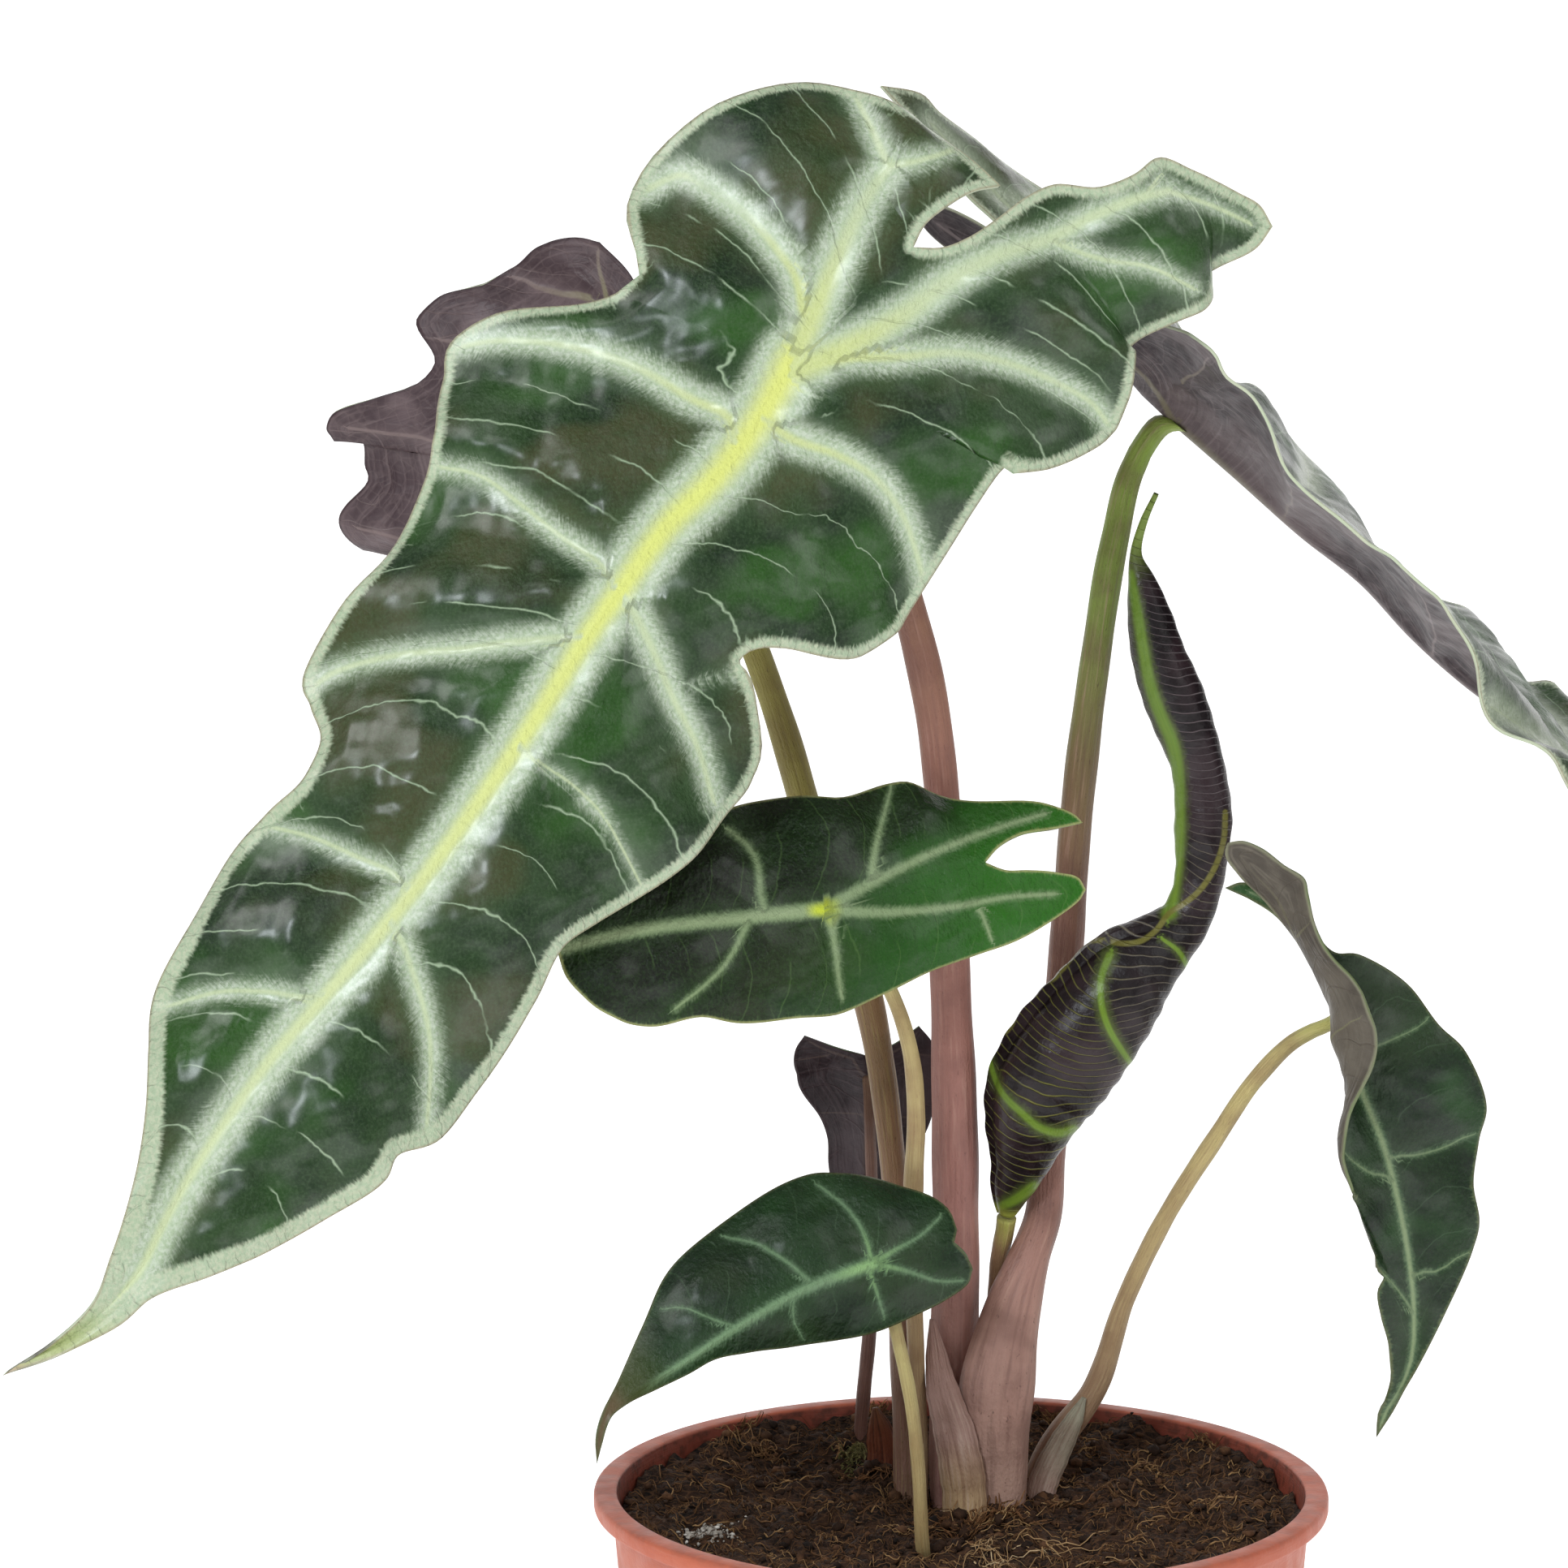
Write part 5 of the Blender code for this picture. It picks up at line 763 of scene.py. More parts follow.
smallUnder = {
    **mauveUnder, "dark": (42, 32, 36), "mid": (66, 54, 58), "light": (84, 70, 74), "vein": (80, 66, 68),
    "foot": (84, 70, 66),
}


# What all blades share, in millimetres: the thickness, how far the midrib stands out below, the gap above the
# stalk's end, the widths below which the relief and the ridge fade, and how far each form reaches or begins
sheet = {
    "thick": 0.5, "midribRise": 1.1, "stalkGap": 0.5, "fullWidth": 14, "ridgeWidth": 22, "puffFrom": 5,
    "ridgeReach": 2.2, "seamReach": 2, "quiltFrom": 6, "grooveReach": 2, "hairFrom": 1.8, "marginReach": 5,
    "joinedWithin": 0.02,
}


def leafPoints(leaf, points):
    # drawn points with the depth of the leaf's own leaning plane added
    points = np.array(points, float)
    start, lean = leaf["midrib"][0], leaf["lean"]
    points[:, 2] += leaf["depth"] + lean[0] * (points[:, 0] - start[0]) + lean[1] * (points[:, 1] - start[1])
    return points


def halfBlade(leaf, side):
    # half a blade: cross lines a(1-w)^2 + 2mw(1-w) + bw^2 from the midrib or inner edge a to the margin b
    half = leaf[side]
    midrib, inner = leafPoints(leaf, leaf["midrib"]), leafPoints(leaf, half["inner"])
    edgeLength = np.linalg.norm(np.diff(inner, axis=0), axis=1).sum()
    neckLength = np.linalg.norm(midrib[0] - inner[-1])
    notch = -neckLength / (edgeLength + neckLength)
    lobeRows, neckRows, midribRows = leaf["rows"]
    t = np.concatenate([np.linspace(-1, notch, lobeRows, endpoint=False),
                        np.linspace(notch, 0, neckRows, endpoint=False),
                        np.linspace(0, 1, midribRows + 1) ** 1.2])
    w = np.linspace(0, 1, leaf["columns"] + 1)
    onLobe = smooth(along(inner) * (1 + notch) - 1, inner, np.clip(t, -1, notch))
    onNeck = midrib[0] + (inner[-1] - midrib[0]) * np.clip(t / notch, 0, 1)[:, None]
    onMidrib = smooth(along(midrib), midrib, np.clip(t, 0, 1))
    start = np.where((t < notch)[:, None], onLobe, np.where((t < 0)[:, None], onNeck, onMidrib))
    outer = np.array(half["outer"], float)
    edge = smooth(outer[:, 0], leafPoints(leaf, outer[:, 1:]), t)
    middle = (start + edge) / 2
    if "belly" in half:
        belly = np.array(half["belly"], float)
        middle = middle + smooth(belly[:, 0], belly[:, 1:], t)
    share = w[None, :, None]
    grid = front(start[:, None] * (1 - share) ** 2 + middle[:, None] * 2 * share * (1 - share)
                 + edge[:, None] * share**2)
    return grid, t, w, notch


def facing(leaf, side):
    return 1 if (side == "right") == leaf["facesFront"] else -1


def squareTo(leaf, side, grid):
    # unit normals of a grid towards the leaf's upper side: the cross product of its two directions
    return unit(np.cross(np.gradient(grid, axis=0), np.gradient(grid, axis=1))) * facing(leaf, side)


def widths(grid):
    # how wide the half blade is at each row
    return np.linalg.norm(grid[:, -1] - grid[:, 0], axis=1)[:, None]


def relief(leaf, side, grid, t, w):
    # puff |sin(pi p)| 4w(1-w) - wave cos(2 pi p) w^3 - arch w^2, where p counts the side veins and the puff
    # eases in beside the midrib
    ribs = np.array([-1.0, *leaf[side]["ribs"]])
    phase = np.interp(t, ribs, np.arange(len(ribs)))[:, None]
    width = widths(grid)
    fade = np.clip(width / sheet["fullWidth"], 0, 1) ** 2
    field = np.abs(np.sin(np.pi * phase)) * 4 * w * (1 - w) * (1 - bell(width * w, sheet["puffFrom"]))
    lift = leaf["puff"] * field - leaf["wave"] * np.cos(fullTurn * phase) * w**3 - leaf["arch"] * w**2
    ridge = np.clip(width / sheet["ridgeWidth"], 0, 1) * bell(width * w, sheet["ridgeReach"])
    return grid + squareTo(leaf, side, grid) * (lift * fade)[..., None], phase + 0.0 * w, ridge, fade


def seamUp(leaf):
    # both halves' normals on the line that they share, added and brought to length 1
    total = 0.0
    for side in ("left", "right"):
        grid, t, w, _ = halfBlade(leaf, side)
        total = total + squareTo(leaf, side, relief(leaf, side, grid, t, w)[0])[:, :1]
    return unit(total)


def fromLine(points, line, up):
    # each point's distance from a line of straight runs, where its nearest place lies along it, the line's
    # length, and the point's side: 1 on the line's left, seen from up, and -1 on its right
    best, foot, passed = np.full(len(points), 1e9), np.zeros(len(points)), 0.0
    way = np.ones(len(points))
    for a, b in zip(line[:-1], line[1:]):
        length = max(np.linalg.norm(b - a), 1e-9)
        share = np.clip((points - a) @ (b - a) / length**2, 0, 1)
        gap = np.linalg.norm(points - a - share[:, None] * (b - a), axis=1)
        closer = gap < best
        best[closer], foot[closer] = gap[closer], passed + share[closer] * length
        way[closer] = np.sign((np.cross(b - a, points[closer] - a) * up[closer]).sum(-1))
        passed += length
    return best, foot, passed, way


def drawnRoutes(veins, step=2.0):
    return [(*sizes, dense(route, step)) for *sizes, route in veins]


def ruledRoutes(leaf, side, grid, t, w, lobeReach=0.86, out=0.42, nearMargin=0.93):
    # veins that follow the blade's own grid: the midrib, one rib into the lobe and one vein at each rib
    sizes = leaf["ruled"]

    def at(placeT, placeW):
        row, column = np.interp(placeT, t, np.arange(len(t))), np.interp(placeW, w, np.arange(len(w)))
        return grid[np.round(row).astype(int), np.round(column).astype(int)]

    share = np.linspace(0, 1, 14)
    routes = [(*sizes["midrib"], grid[t >= 0, 0][::4])]
    routes.append((*sizes["lobe"], dense(at(-lobeReach * share, out * share**0.7))))
    for rib in leaf[side]["ribs"][:-1]:
        begin = 0.0 if rib > 0 else out
        route = at(rib + 0.03 * (share - share**2), begin + (nearMargin - begin) * share)
        routes.append((*sizes["side"], dense(route)))
    return routes


def veinMarks(points, routes, up):
    # core is the distance over the core's half width, where it is least; offset, half, wide and main are that
    # vein's signed distance, its core's and border's half widths, and 1 for the midrib. For the vein whose
    # border is nearest, beyond is the way out of it, strand the place along it and reach the distance
    firsts = {"core": 9.0, "offset": 30.0, "half": 1.0, "wide": 0.0, "main": 0.0,
              "beyond": 30.0, "strand": 0.0, "reach": 30.0}
    marks = {key: np.full(len(points), first) for key, first in firsts.items()}
    for number, (coreStart, coreEnd, borderStart, borderEnd, line) in enumerate(routes):
        gap, foot, length, way = fromLine(points, line, up)
        share = (foot / length) ** 0.7
        thick = coreStart + (coreEnd - coreStart) * share
        border = borderStart + (borderEnd - borderStart) * share
        core = {"core": gap / thick, "half": thick, "offset": gap * way, "wide": border,
                "main": np.full(len(points), float(number == 0))}
        outside = {"beyond": gap - border, "reach": gap, "strand": foot + 40.0 * number}
        for found, key in ((core, "core"), (outside, "beyond")):
            nearer = found[key] < marks[key]
            for name, values in found.items():
                marks[name][nearer] = values[nearer]
    return marks


def halfMarks(leaf, side):
    # one half's points and its marks: veins, distances from margin and junction, the thin veins' phase and
    # its pace, the phase's change in a millimetre
    grid, t, w, notch = halfBlade(leaf, side)
    grid, phase, ridge, fade = relief(leaf, side, grid, t, w)
    points, square = grid.reshape(-1, 3), squareTo(leaf, side, grid).reshape(-1, 3)
    if "veins" in leaf:
        marks = veinMarks(seen(points), drawnRoutes(leaf["veins"]), np.full(points.shape, (0.0, 0.0, 1.0)))
    else:
        marks = veinMarks(points, ruledRoutes(leaf, side, grid, t, w), square)
    margin = np.concatenate([grid[t < notch, 0][::-1], grid[:, -1]])
    edge, brim, _, _ = fromLine(points, margin[::2], square)
    start = np.linalg.norm(points - grid[np.argmin(np.abs(t)), 0], axis=1)
    thin = phase * leaf["hairs"] + leaf["hairBend"] * (4 * w * (1 - w) + w)
    lengths = [np.maximum(np.linalg.norm(np.gradient(grid, axis=k), axis=-1), 0.05) for k in (0, 1)]
    pace = np.hypot(*(np.gradient(thin, axis=k) / lengths[k] for k in (0, 1)))
    outward, reach = (widths(grid) * w).ravel(), marks["reach"]

    # quilting between the veins, grooves on them and two sizes of unevenness
    inside = np.clip(edge / sheet["marginReach"], 0, 1) * fade.repeat(len(w), 1).ravel()
    pillow = leaf["quilt"] * (1 - bell(reach, sheet["quiltFrom"]))
    pillow = pillow - leaf["groove"] * bell(reach, sheet["grooveReach"])
    pillow += leaf["quilt"] * 0.35 * waves(points, 13.0, 3) * (1 - bell(reach, 7.0))
    pillow += 0.10 * waves(points, 4.5, 4)

    # near the line that the halves share, both are pushed the same way by the same amount
    seam = (t >= notch).repeat(len(w)) * bell(outward, sheet["seamReach"])
    hold = np.clip((1 - t) / 0.04, 0, 1) * np.clip((t - notch) / (-0.3 * notch), 0, 1)
    push = pillow * inside * (1 - seam) - leaf["groove"] * hold.repeat(len(w)) * seam
    shared = np.broadcast_to(seamUp(leaf), grid.shape).reshape(-1, 3)
    points = points + unit(square * (1 - seam)[:, None] + shared * seam[:, None]) * push[:, None]
    lobeRows, neckRows, midribRows = leaf["rows"]
    strength = np.concatenate([np.zeros(lobeRows), np.linspace(0, 1, neckRows, endpoint=False),
                               np.linspace(1, 0, midribRows + 1) ** 0.6])
    marks.update(edge=edge, brim=brim, start=start, thin=thin.ravel(), pace=np.minimum(pace, 0.5).ravel(),
                 away=1 - bell(outward, sheet["hairFrom"]), ridge=(strength[:, None] * ridge).ravel())
    faces = gridFaces(len(t), len(w))
    return points, faces if facing(leaf, side) > 0 else faces[:, ::-1], marks


def evenNormals(points, faces, rounds=2):
    # unit normals at the points, each face's cross product of its diagonals added at its corners, and then
    # each point's neighbours' normals added to its own in a few rounds
    corner = points[faces]
    across = np.cross(corner[:, 2] - corner[:, 0], corner[:, 3] - corner[:, 1])
    total = np.zeros_like(points)
    for k in range(4):
        np.add.at(total, faces[:, k], across)
    for _ in range(rounds):
        normals = unit(total)
        total = normals.copy()
        for k in range(4):
            here, beside = faces[:, k], faces[:, (k + 1) % 4]
            np.add.at(total, here, normals[beside])
            np.add.at(total, beside, normals[here])
    return unit(total)


def makeBlade(leaf, finishes):
    # a closed leaf blade: both halves joined on the midrib, thickened by half to each side
    left, right = halfMarks(leaf, "left"), halfMarks(leaf, "right")
    points = np.concatenate([left[0], right[0]])
    faces = np.concatenate([left[1], right[1] + len(left[0])])
    places = np.round(points / sheet["joinedWithin"]).astype(int)
    _, first, index = np.unique(places, axis=0, return_index=True, return_inverse=True)
    points, faces = points[first], index.reshape(-1)[faces]
    marks = {key: np.concatenate([left[2][key], right[2][key]])[first] for key in left[2]}
    normals = evenNormals(points, faces)

    # the rim is every side of a face that no other face has the other way round
    ends = np.concatenate([faces[:, [k, (k + 1) % 4]] for k in range(4)])
    ends = ends[ends[:, 0] != ends[:, 1]]
    keys, turned = ends[:, 0] * len(points) + ends[:, 1], ends[:, 1] * len(points) + ends[:, 0]
    rim = ends[~np.isin(keys, turned)]
    count, half = len(points), sheet["thick"] / 2
    top = points + normals * half
    under = points - normals * (half + sheet["midribRise"] * marks["ridge"][:, None])
    walls = np.stack([rim[:, 1], rim[:, 0], rim[:, 0] + count, rim[:, 1] + count], 1)
    quads = np.concatenate([faces, faces[:, ::-1] + count, walls])
    flat = [list(dict.fromkeys(quad)) for quad in quads.tolist()]
    pick = np.repeat([0, 1, 2], [len(faces), len(faces), len(walls)])
    solid = np.array([len(face) > 2 for face in flat])
    junction = front(leafPoints(leaf, leaf["midrib"]))[0]
    nearest = np.argmin(np.linalg.norm(points - junction, axis=1))
    makePiece(leaf["name"] + "Blade", np.concatenate([top, under]), [face for face in flat if len(face) > 2],
              finishes, leaf["name"] + "_blade", pick[solid],
              {key: np.tile(values, 2) for key, values in marks.items()})
    print(leaf["name"], "blade:", len(flat), "faces")
    return points[nearest] - normals[nearest] * (half + sheet["stalkGap"]), normals[nearest]


# Stalks, drawn as (x, v, depth, half width across, half width in depth) above a foot in the peat
def tubeFrame(points, count):
    # evenly spaced middles of a smooth curve with their depth and width directions
    at = np.linspace(0, 1, count)
    centre = smooth(along(points), points, at)
    tangent = np.gradient(centre, axis=0)
    tangent[0] = points[1] - points[0]
    tangent = unit(tangent)
    deep = unit(np.array([0.0, 1.0, 0.0]) - tangent * tangent[:, 1:2])
    return at, centre, deep, np.cross(deep, tangent)


def makeStalk(name, spec, finish, seat=None, up=None, footDepth=77.3, sides=28):
    # rings centre + wide a cos + deep b sin, where fluting makes a and b swell by a small share. Near the
    # seat, what stands past the plane square to up is pressed back onto it, and the last rings are drawn
    # up to it
    drawn = np.array(spec["path"], float)
    x, y, across, through = spec["foot"]
    points = np.concatenate([[(x, y, footDepth), (x, y, footDepth + 3.0)], front(drawn[:, :3])])
    sizes = np.concatenate([[(across, through)] * 2, drawn[:, 3:]])
    if seat is not None:
        points = np.concatenate([points, [seat]])
        sizes = np.concatenate([sizes, sizes[-1:] * 1.05])
    count, angle = spec.get("rings", 170), around(sides)
    at, centre, deep, wide = tubeFrame(points, count)
    size = smooth(along(points), sizes, at)[:, None]
    twist = spec.get("twist", 1.5) * at[:, None]
    flute = np.sin(5 * angle + twist) + 0.6 * np.sin(9 * angle - 2 * twist + 1)
    flute = 1 + spec.get("flute", 0.02) * flute
    swell = 1 + 0.02 * np.sin(at * 37.0 + 1)[:, None] + 0.015 * np.sin(at * 83.0)[:, None]
    x, y = size[..., 0] * np.cos(angle) * flute * swell, size[..., 1] * np.sin(angle) * flute * swell
    ring = centre[:, None] + wide[:, None] * x[..., None] + deep[:, None] * y[..., None]
    if up is not None:
        over = (ring - centre[-1]) @ up
        ease = np.clip((np.arange(count)[:, None] - count + 9) / 8.0, 0.0, 1.0)
        over = np.where(over > 0, over * (at[:, None] > 0.8), over * ease)
        ring -= over[..., None] * up
    length = np.concatenate([[0.0], np.cumsum(np.linalg.norm(np.diff(centre, axis=0), axis=1))])
    marks = {"rise": np.repeat(at, sides), "run": np.repeat(length, sides),
             "turnX": np.tile(np.cos(angle), count) * 3, "turnY": np.tile(np.sin(angle), count) * 3}
    marks = {key: np.concatenate([values, values[:1], values[-1:]]) for key, values in marks.items()}
    makePiece(name, capped(ring), tubeFaces(count, sides), [finish], spec["node"], marks=marks)


def stalkFinish(name, look):
    # satin skin: a colour for each height, fine long streaks, specks and short cross marks
    finish, tree, shader = newFinish(name)
    rise, run, x, y = readings(tree, "rise", "run", "turnX", "turnY")
    skin, close = joined(tree, x, y, run * 0.05), joined(tree, x, y, run * 0.35)
    node = tree.nodes.new("ShaderNodeValToRGB")
    feed(tree, node.inputs["Fac"], rise + (skin.mottle(2) - 0.5) * 0.10)
    stops = node.color_ramp.elements
    stops[0].color, stops[1].color = tint(look["stops"][0][1]), tint(look["stops"][-1][1])
    for position, shade in look["stops"][1:-1]:
        stops.new(position).color = tint(shade)
    streak = skin.mottle(0.55, 3)
    colour = streak.spread(0.3, 0.5, look["streak"], 0).blend(Wire(tree, node.outputs["Color"]), look["dark"])
    colour = streak.spread(0.52, 0.72, 0, look["streak"]).blend(colour, look["pale"])
    colour = close.mottle(0.42).spread(0.66, 0.74, 0, look["specks"]).blend(colour, look["speck"])
    colour = place(tree).mottle(8, 3).spread(0.42, 0.7, 0, 0.45).blend(colour, look["dark"])
    gloss = streak.spread(0.3, 0.7, 0.42, 0.58)
    fill(tree, shader, {"Base Color": colour, "Roughness": gloss, "Specular IOR Level": 0.45},
         streak * 1.2 + close.mottle(0.25), 0.18)
    return finish


heroStalk = {
    "node": "hero_stalk", "foot": (-0.6, 13, 3.6, 3.4),
    "path": [(-1.4, 2, 12.6, 3.8, 3.5), (-1.2, 17, 12, 3.9, 3.7), (-0.9, 31, 11, 3.9, 3.8),
        (-1, 60, 9.5, 3.7, 3.6), (-1.8, 85, 8.5, 3.3, 3.2), (-2.8, 110, 7.5, 2.9, 2.8),
        (-5.2, 130, 6.5, 2.8, 2.7), (-10.4, 150, 5, 2.7, 2.6), (-17, 167, 1, 2.6, 2.5)],
    "stops": [(0, (160, 124, 112)), (0.3, (166, 116, 106)), (0.6, (156, 106, 92)), (0.85, (150, 114, 84)),
        (1, (156, 146, 84))],
    "streak": 0.35, "dark": (124, 82, 74), "pale": (194, 154, 140), "speck": (96, 62, 54), "specks": 0.4,
}
backStalk = {
    "node": "back_stalk", "foot": (-8.6, 16.5, 2.4, 2.4),
    "path": [(-8.6, 2, 16.5, 2.5, 2.4), (-9.2, 22, 17, 2.4, 2.3), (-11, 52, 18, 2.1, 2.1),
        (-14.9, 78.6, 19.5, 2.5, 2.3), (-24.5, 108, 21.5, 2.6, 2.4), (-29.1, 124, 22.5, 2.4, 2.3),
        (-34, 138, 23.5, 2.3, 2.2), (-40, 152, 24.5, 2.2, 2.1), (-45.5, 165, 26, 2.1, 2.1)],
    "stops": [(0, (140, 104, 92)), (0.25, (136, 100, 78)), (0.5, (142, 112, 72)), (0.66, (152, 142, 74)),
        (1, (154, 154, 74))],
    "streak": 0.35, "dark": (106, 86, 48), "pale": (188, 178, 108), "speck": (84, 64, 36), "specks": 0.6,
}
rightStalk = {
    "node": "right_stalk", "foot": (5.4, 5.4, 5.2, 2.9), "rings": 190,
    "path": [(5.4, 4, 4.6, 5.6, 2.9), (5.9, 16, 4.7, 6, 3), (9, 30.8, 7.6, 4.4, 3),
        (11.2, 37.5, 10.2, 3.5, 3), (13.4, 44, 14.2, 3, 2.9), (14.2, 54, 18.5, 2.9, 2.8),
        (15.8, 72, 24, 2.8, 2.8), (17.4, 90, 25, 2.8, 2.7), (18.9, 110, 25.2, 2.7, 2.6),
        (22.1, 136, 25.4, 2.5, 2.4), (25.2, 155, 25.5, 2.3, 2.3), (28.3, 167, 25.5, 2.1, 2.2),
        (31.6, 172.4, 25.4, 2, 2.1)],
    "stops": [(0, (196, 166, 150)), (0.16, (182, 142, 128)), (0.35, (152, 108, 96)), (0.55, (140, 98, 82)),
        (0.7, (126, 108, 70)), (0.82, (126, 144, 62)), (1, (146, 176, 70))],
    "streak": 0.35, "dark": (104, 70, 60), "pale": (196, 160, 142), "speck": (78, 52, 44), "specks": 0.55,
}
middleStalk = {
    "node": "middle_stalk", "foot": (-6.6, 7.8, 1.3, 1.3), "rings": 120,
    "path": [(-6.6, 4, 6.8, 1.3, 1.3), (-7.6, 30, 3, 1.4, 1.4), (-7.7, 50.7, -1, 1.6, 1.5),
        (-7.3, 60, -3.5, 1.5, 1.5), (-8.4, 72, -7, 1.3, 1.3), (-11.2, 80.5, -10, 1.2, 1.2),
        (-15.4, 87.4, -14, 1.2, 1.2)],
    "stops": [(0, (164, 132, 108)), (0.45, (178, 152, 108)), (0.8, (192, 174, 118)), (1, (176, 180, 104))],
    "streak": 0.3, "dark": (140, 104, 72), "pale": (216, 200, 152), "speck": (110, 76, 52), "specks": 0.45,
}
frontStalk = {
    "node": "front_stalk", "foot": (-4.5, 1.5, 1.1, 1.1), "rings": 90,
    "path": [(-6.2, -10.1, -15.5, 1.15, 1.15), (-7, 4, -16, 1.1, 1.1), (-8.3, 15, -16.2, 1.1, 1.1),
        (-10, 23, -16.4, 1.1, 1.1), (-12, 31, -17.2, 1.1, 1.1)],
    "stops": [(0, (184, 160, 112)), (0.5, (190, 168, 116)), (0.8, (196, 184, 122)), (1, (180, 184, 112))],
    "streak": 0.3, "dark": (150, 116, 78), "pale": (218, 206, 158), "speck": (112, 80, 56), "specks": 0.5,
}
sideStalk = {
    "node": "side_stalk", "foot": (9.6, 14.5, 1.8, 1.6), "rings": 130,
    "path": [(12.4, -1, 17.8, 3, 1.9), (15.6, 7, 17.4, 2.6, 1.8), (21.6, 15.5, 16.4, 2.1, 1.7),
        (27, 30.8, 14.5, 1.6, 1.6), (33.5, 44.1, 12.5, 1.5, 1.5), (41.8, 57.2, 10.5, 1.5, 1.4),
        (48.6, 67.1, 9, 1.4, 1.3), (54.3, 72.8, 8, 1.3, 1.3), (59.6, 75.8, 7, 1.2, 1.2)],
    "stops": [(0, (160, 128, 116)), (0.25, (164, 132, 106)), (0.5, (188, 164, 116)), (0.85, (196, 180, 118)),
        (1, (176, 180, 98))],
    "streak": 0.3, "dark": (134, 98, 74), "pale": (214, 196, 150), "speck": (104, 72, 54), "specks": 0.45,
}
smallStalk = {
    "node": "small_stalk", "foot": (-5.5, 21, 1, 1), "rings": 100,
    "path": [(-16.4, 6.5, 41, 1, 1), (-15.9, 15, 41.5, 1.2, 1.1), (-15, 24.4, 42, 1.2, 1.1),
        (-14.4, 40, 42, 1.1, 1), (-14.6, 52, 41, 1, 1), (-15, 62, 40.6, 0.9, 0.9)],
    "stops": [(0, (120, 84, 76)), (0.5, (132, 96, 84)), (0.8, (128, 92, 78)), (1, (120, 92, 70))],
    "streak": 0.35, "dark": (92, 62, 54), "pale": (168, 132, 112), "speck": (74, 48, 40), "specks": 0.4,
}
rollStalk = {
    "node": "new_leaf_stalk", "foot": (4.6, 16, 1.2, 1.2), "rings": 90,
    "path": [(4.8, 6, 16, 1.2, 1.2), (5, 18, 15.6, 1.2, 1.2), (5.6, 31, 14.4, 1.3, 1.3),
        (6.5, 38.5, 12.9, 1.5, 1.4), (7.2, 42, 11.8, 1.6, 1.5), (7.5, 44.1, 11.1, 1.6, 1.5)],
    "stops": [(0, (150, 116, 100)), (0.5, (150, 112, 92)), (0.9, (150, 120, 86)), (1, (168, 168, 84))],
    "streak": 0.3, "dark": (120, 92, 66), "pale": (196, 176, 130), "speck": (110, 86, 60), "specks": 0.3,
}

# Old sheaths and dry scales at the foot: flat tapering straps with frayed lips
oldSheath = {
    "node": "old_sheath", "foot": (0.4, 0.2, 3.3, 0.8), "rings": 90, "flute": 0.05, "twist": 0.6,
    "path": [(0.6, -2, 0.2, 3.5, 0.8), (-0.9, 8, 0.6, 3.3, 0.8), (-3.3, 17, 3.4, 2.4, 0.7),
        (-4.3, 24, 6, 1.2, 0.6), (-4.7, 27.5, 6.4, 0.4, 0.4)],
    "stops": [(0, (196, 168, 122)), (0.3, (190, 160, 124)), (0.5, (172, 138, 126)), (1, (178, 140, 130))],
    "streak": 0.5, "dark": (120, 84, 68), "pale": (208, 184, 166), "speck": (110, 66, 36), "specks": 0.5,
}
sideSheath = {
    "node": "side_sheath", "foot": (12.8, 12.4, 2.2, 0.7), "rings": 60, "flute": 0.05, "twist": 0.4,
    "path": [(13.6, 1, 13.8, 2.4, 0.7), (16.4, 7, 14.3, 2.1, 0.6), (19, 12, 14.4, 1.2, 0.5),
        (20.2, 14.6, 14.4, 0.4, 0.4)],
    "stops": [(0, (162, 130, 116)), (0.35, (176, 146, 132)), (0.7, (164, 158, 136)), (1, (184, 184, 160))],
    "streak": 0.45, "dark": (132, 102, 88), "pale": (206, 192, 174), "speck": (104, 78, 62), "specks": 0.4,
}
brownScale = {
    "node": "brown_scale", "foot": (-12.6, 24, 2, 0.6), "rings": 50, "flute": 0.08, "twist": 0.8,
    "path": [(-12.8, 5, 24.5, 2.4, 0.6), (-13.2, 9, 24.6, 2.1, 0.6), (-14, 13, 24.7, 0.5, 0.4)],
    "stops": [(0, (70, 34, 22)), (0.5, (98, 46, 26)), (0.8, (120, 62, 36)), (1, (140, 90, 58))],
    "streak": 0.6, "dark": (48, 26, 18), "pale": (150, 96, 62), "speck": (36, 22, 16), "specks": 0.5,
}

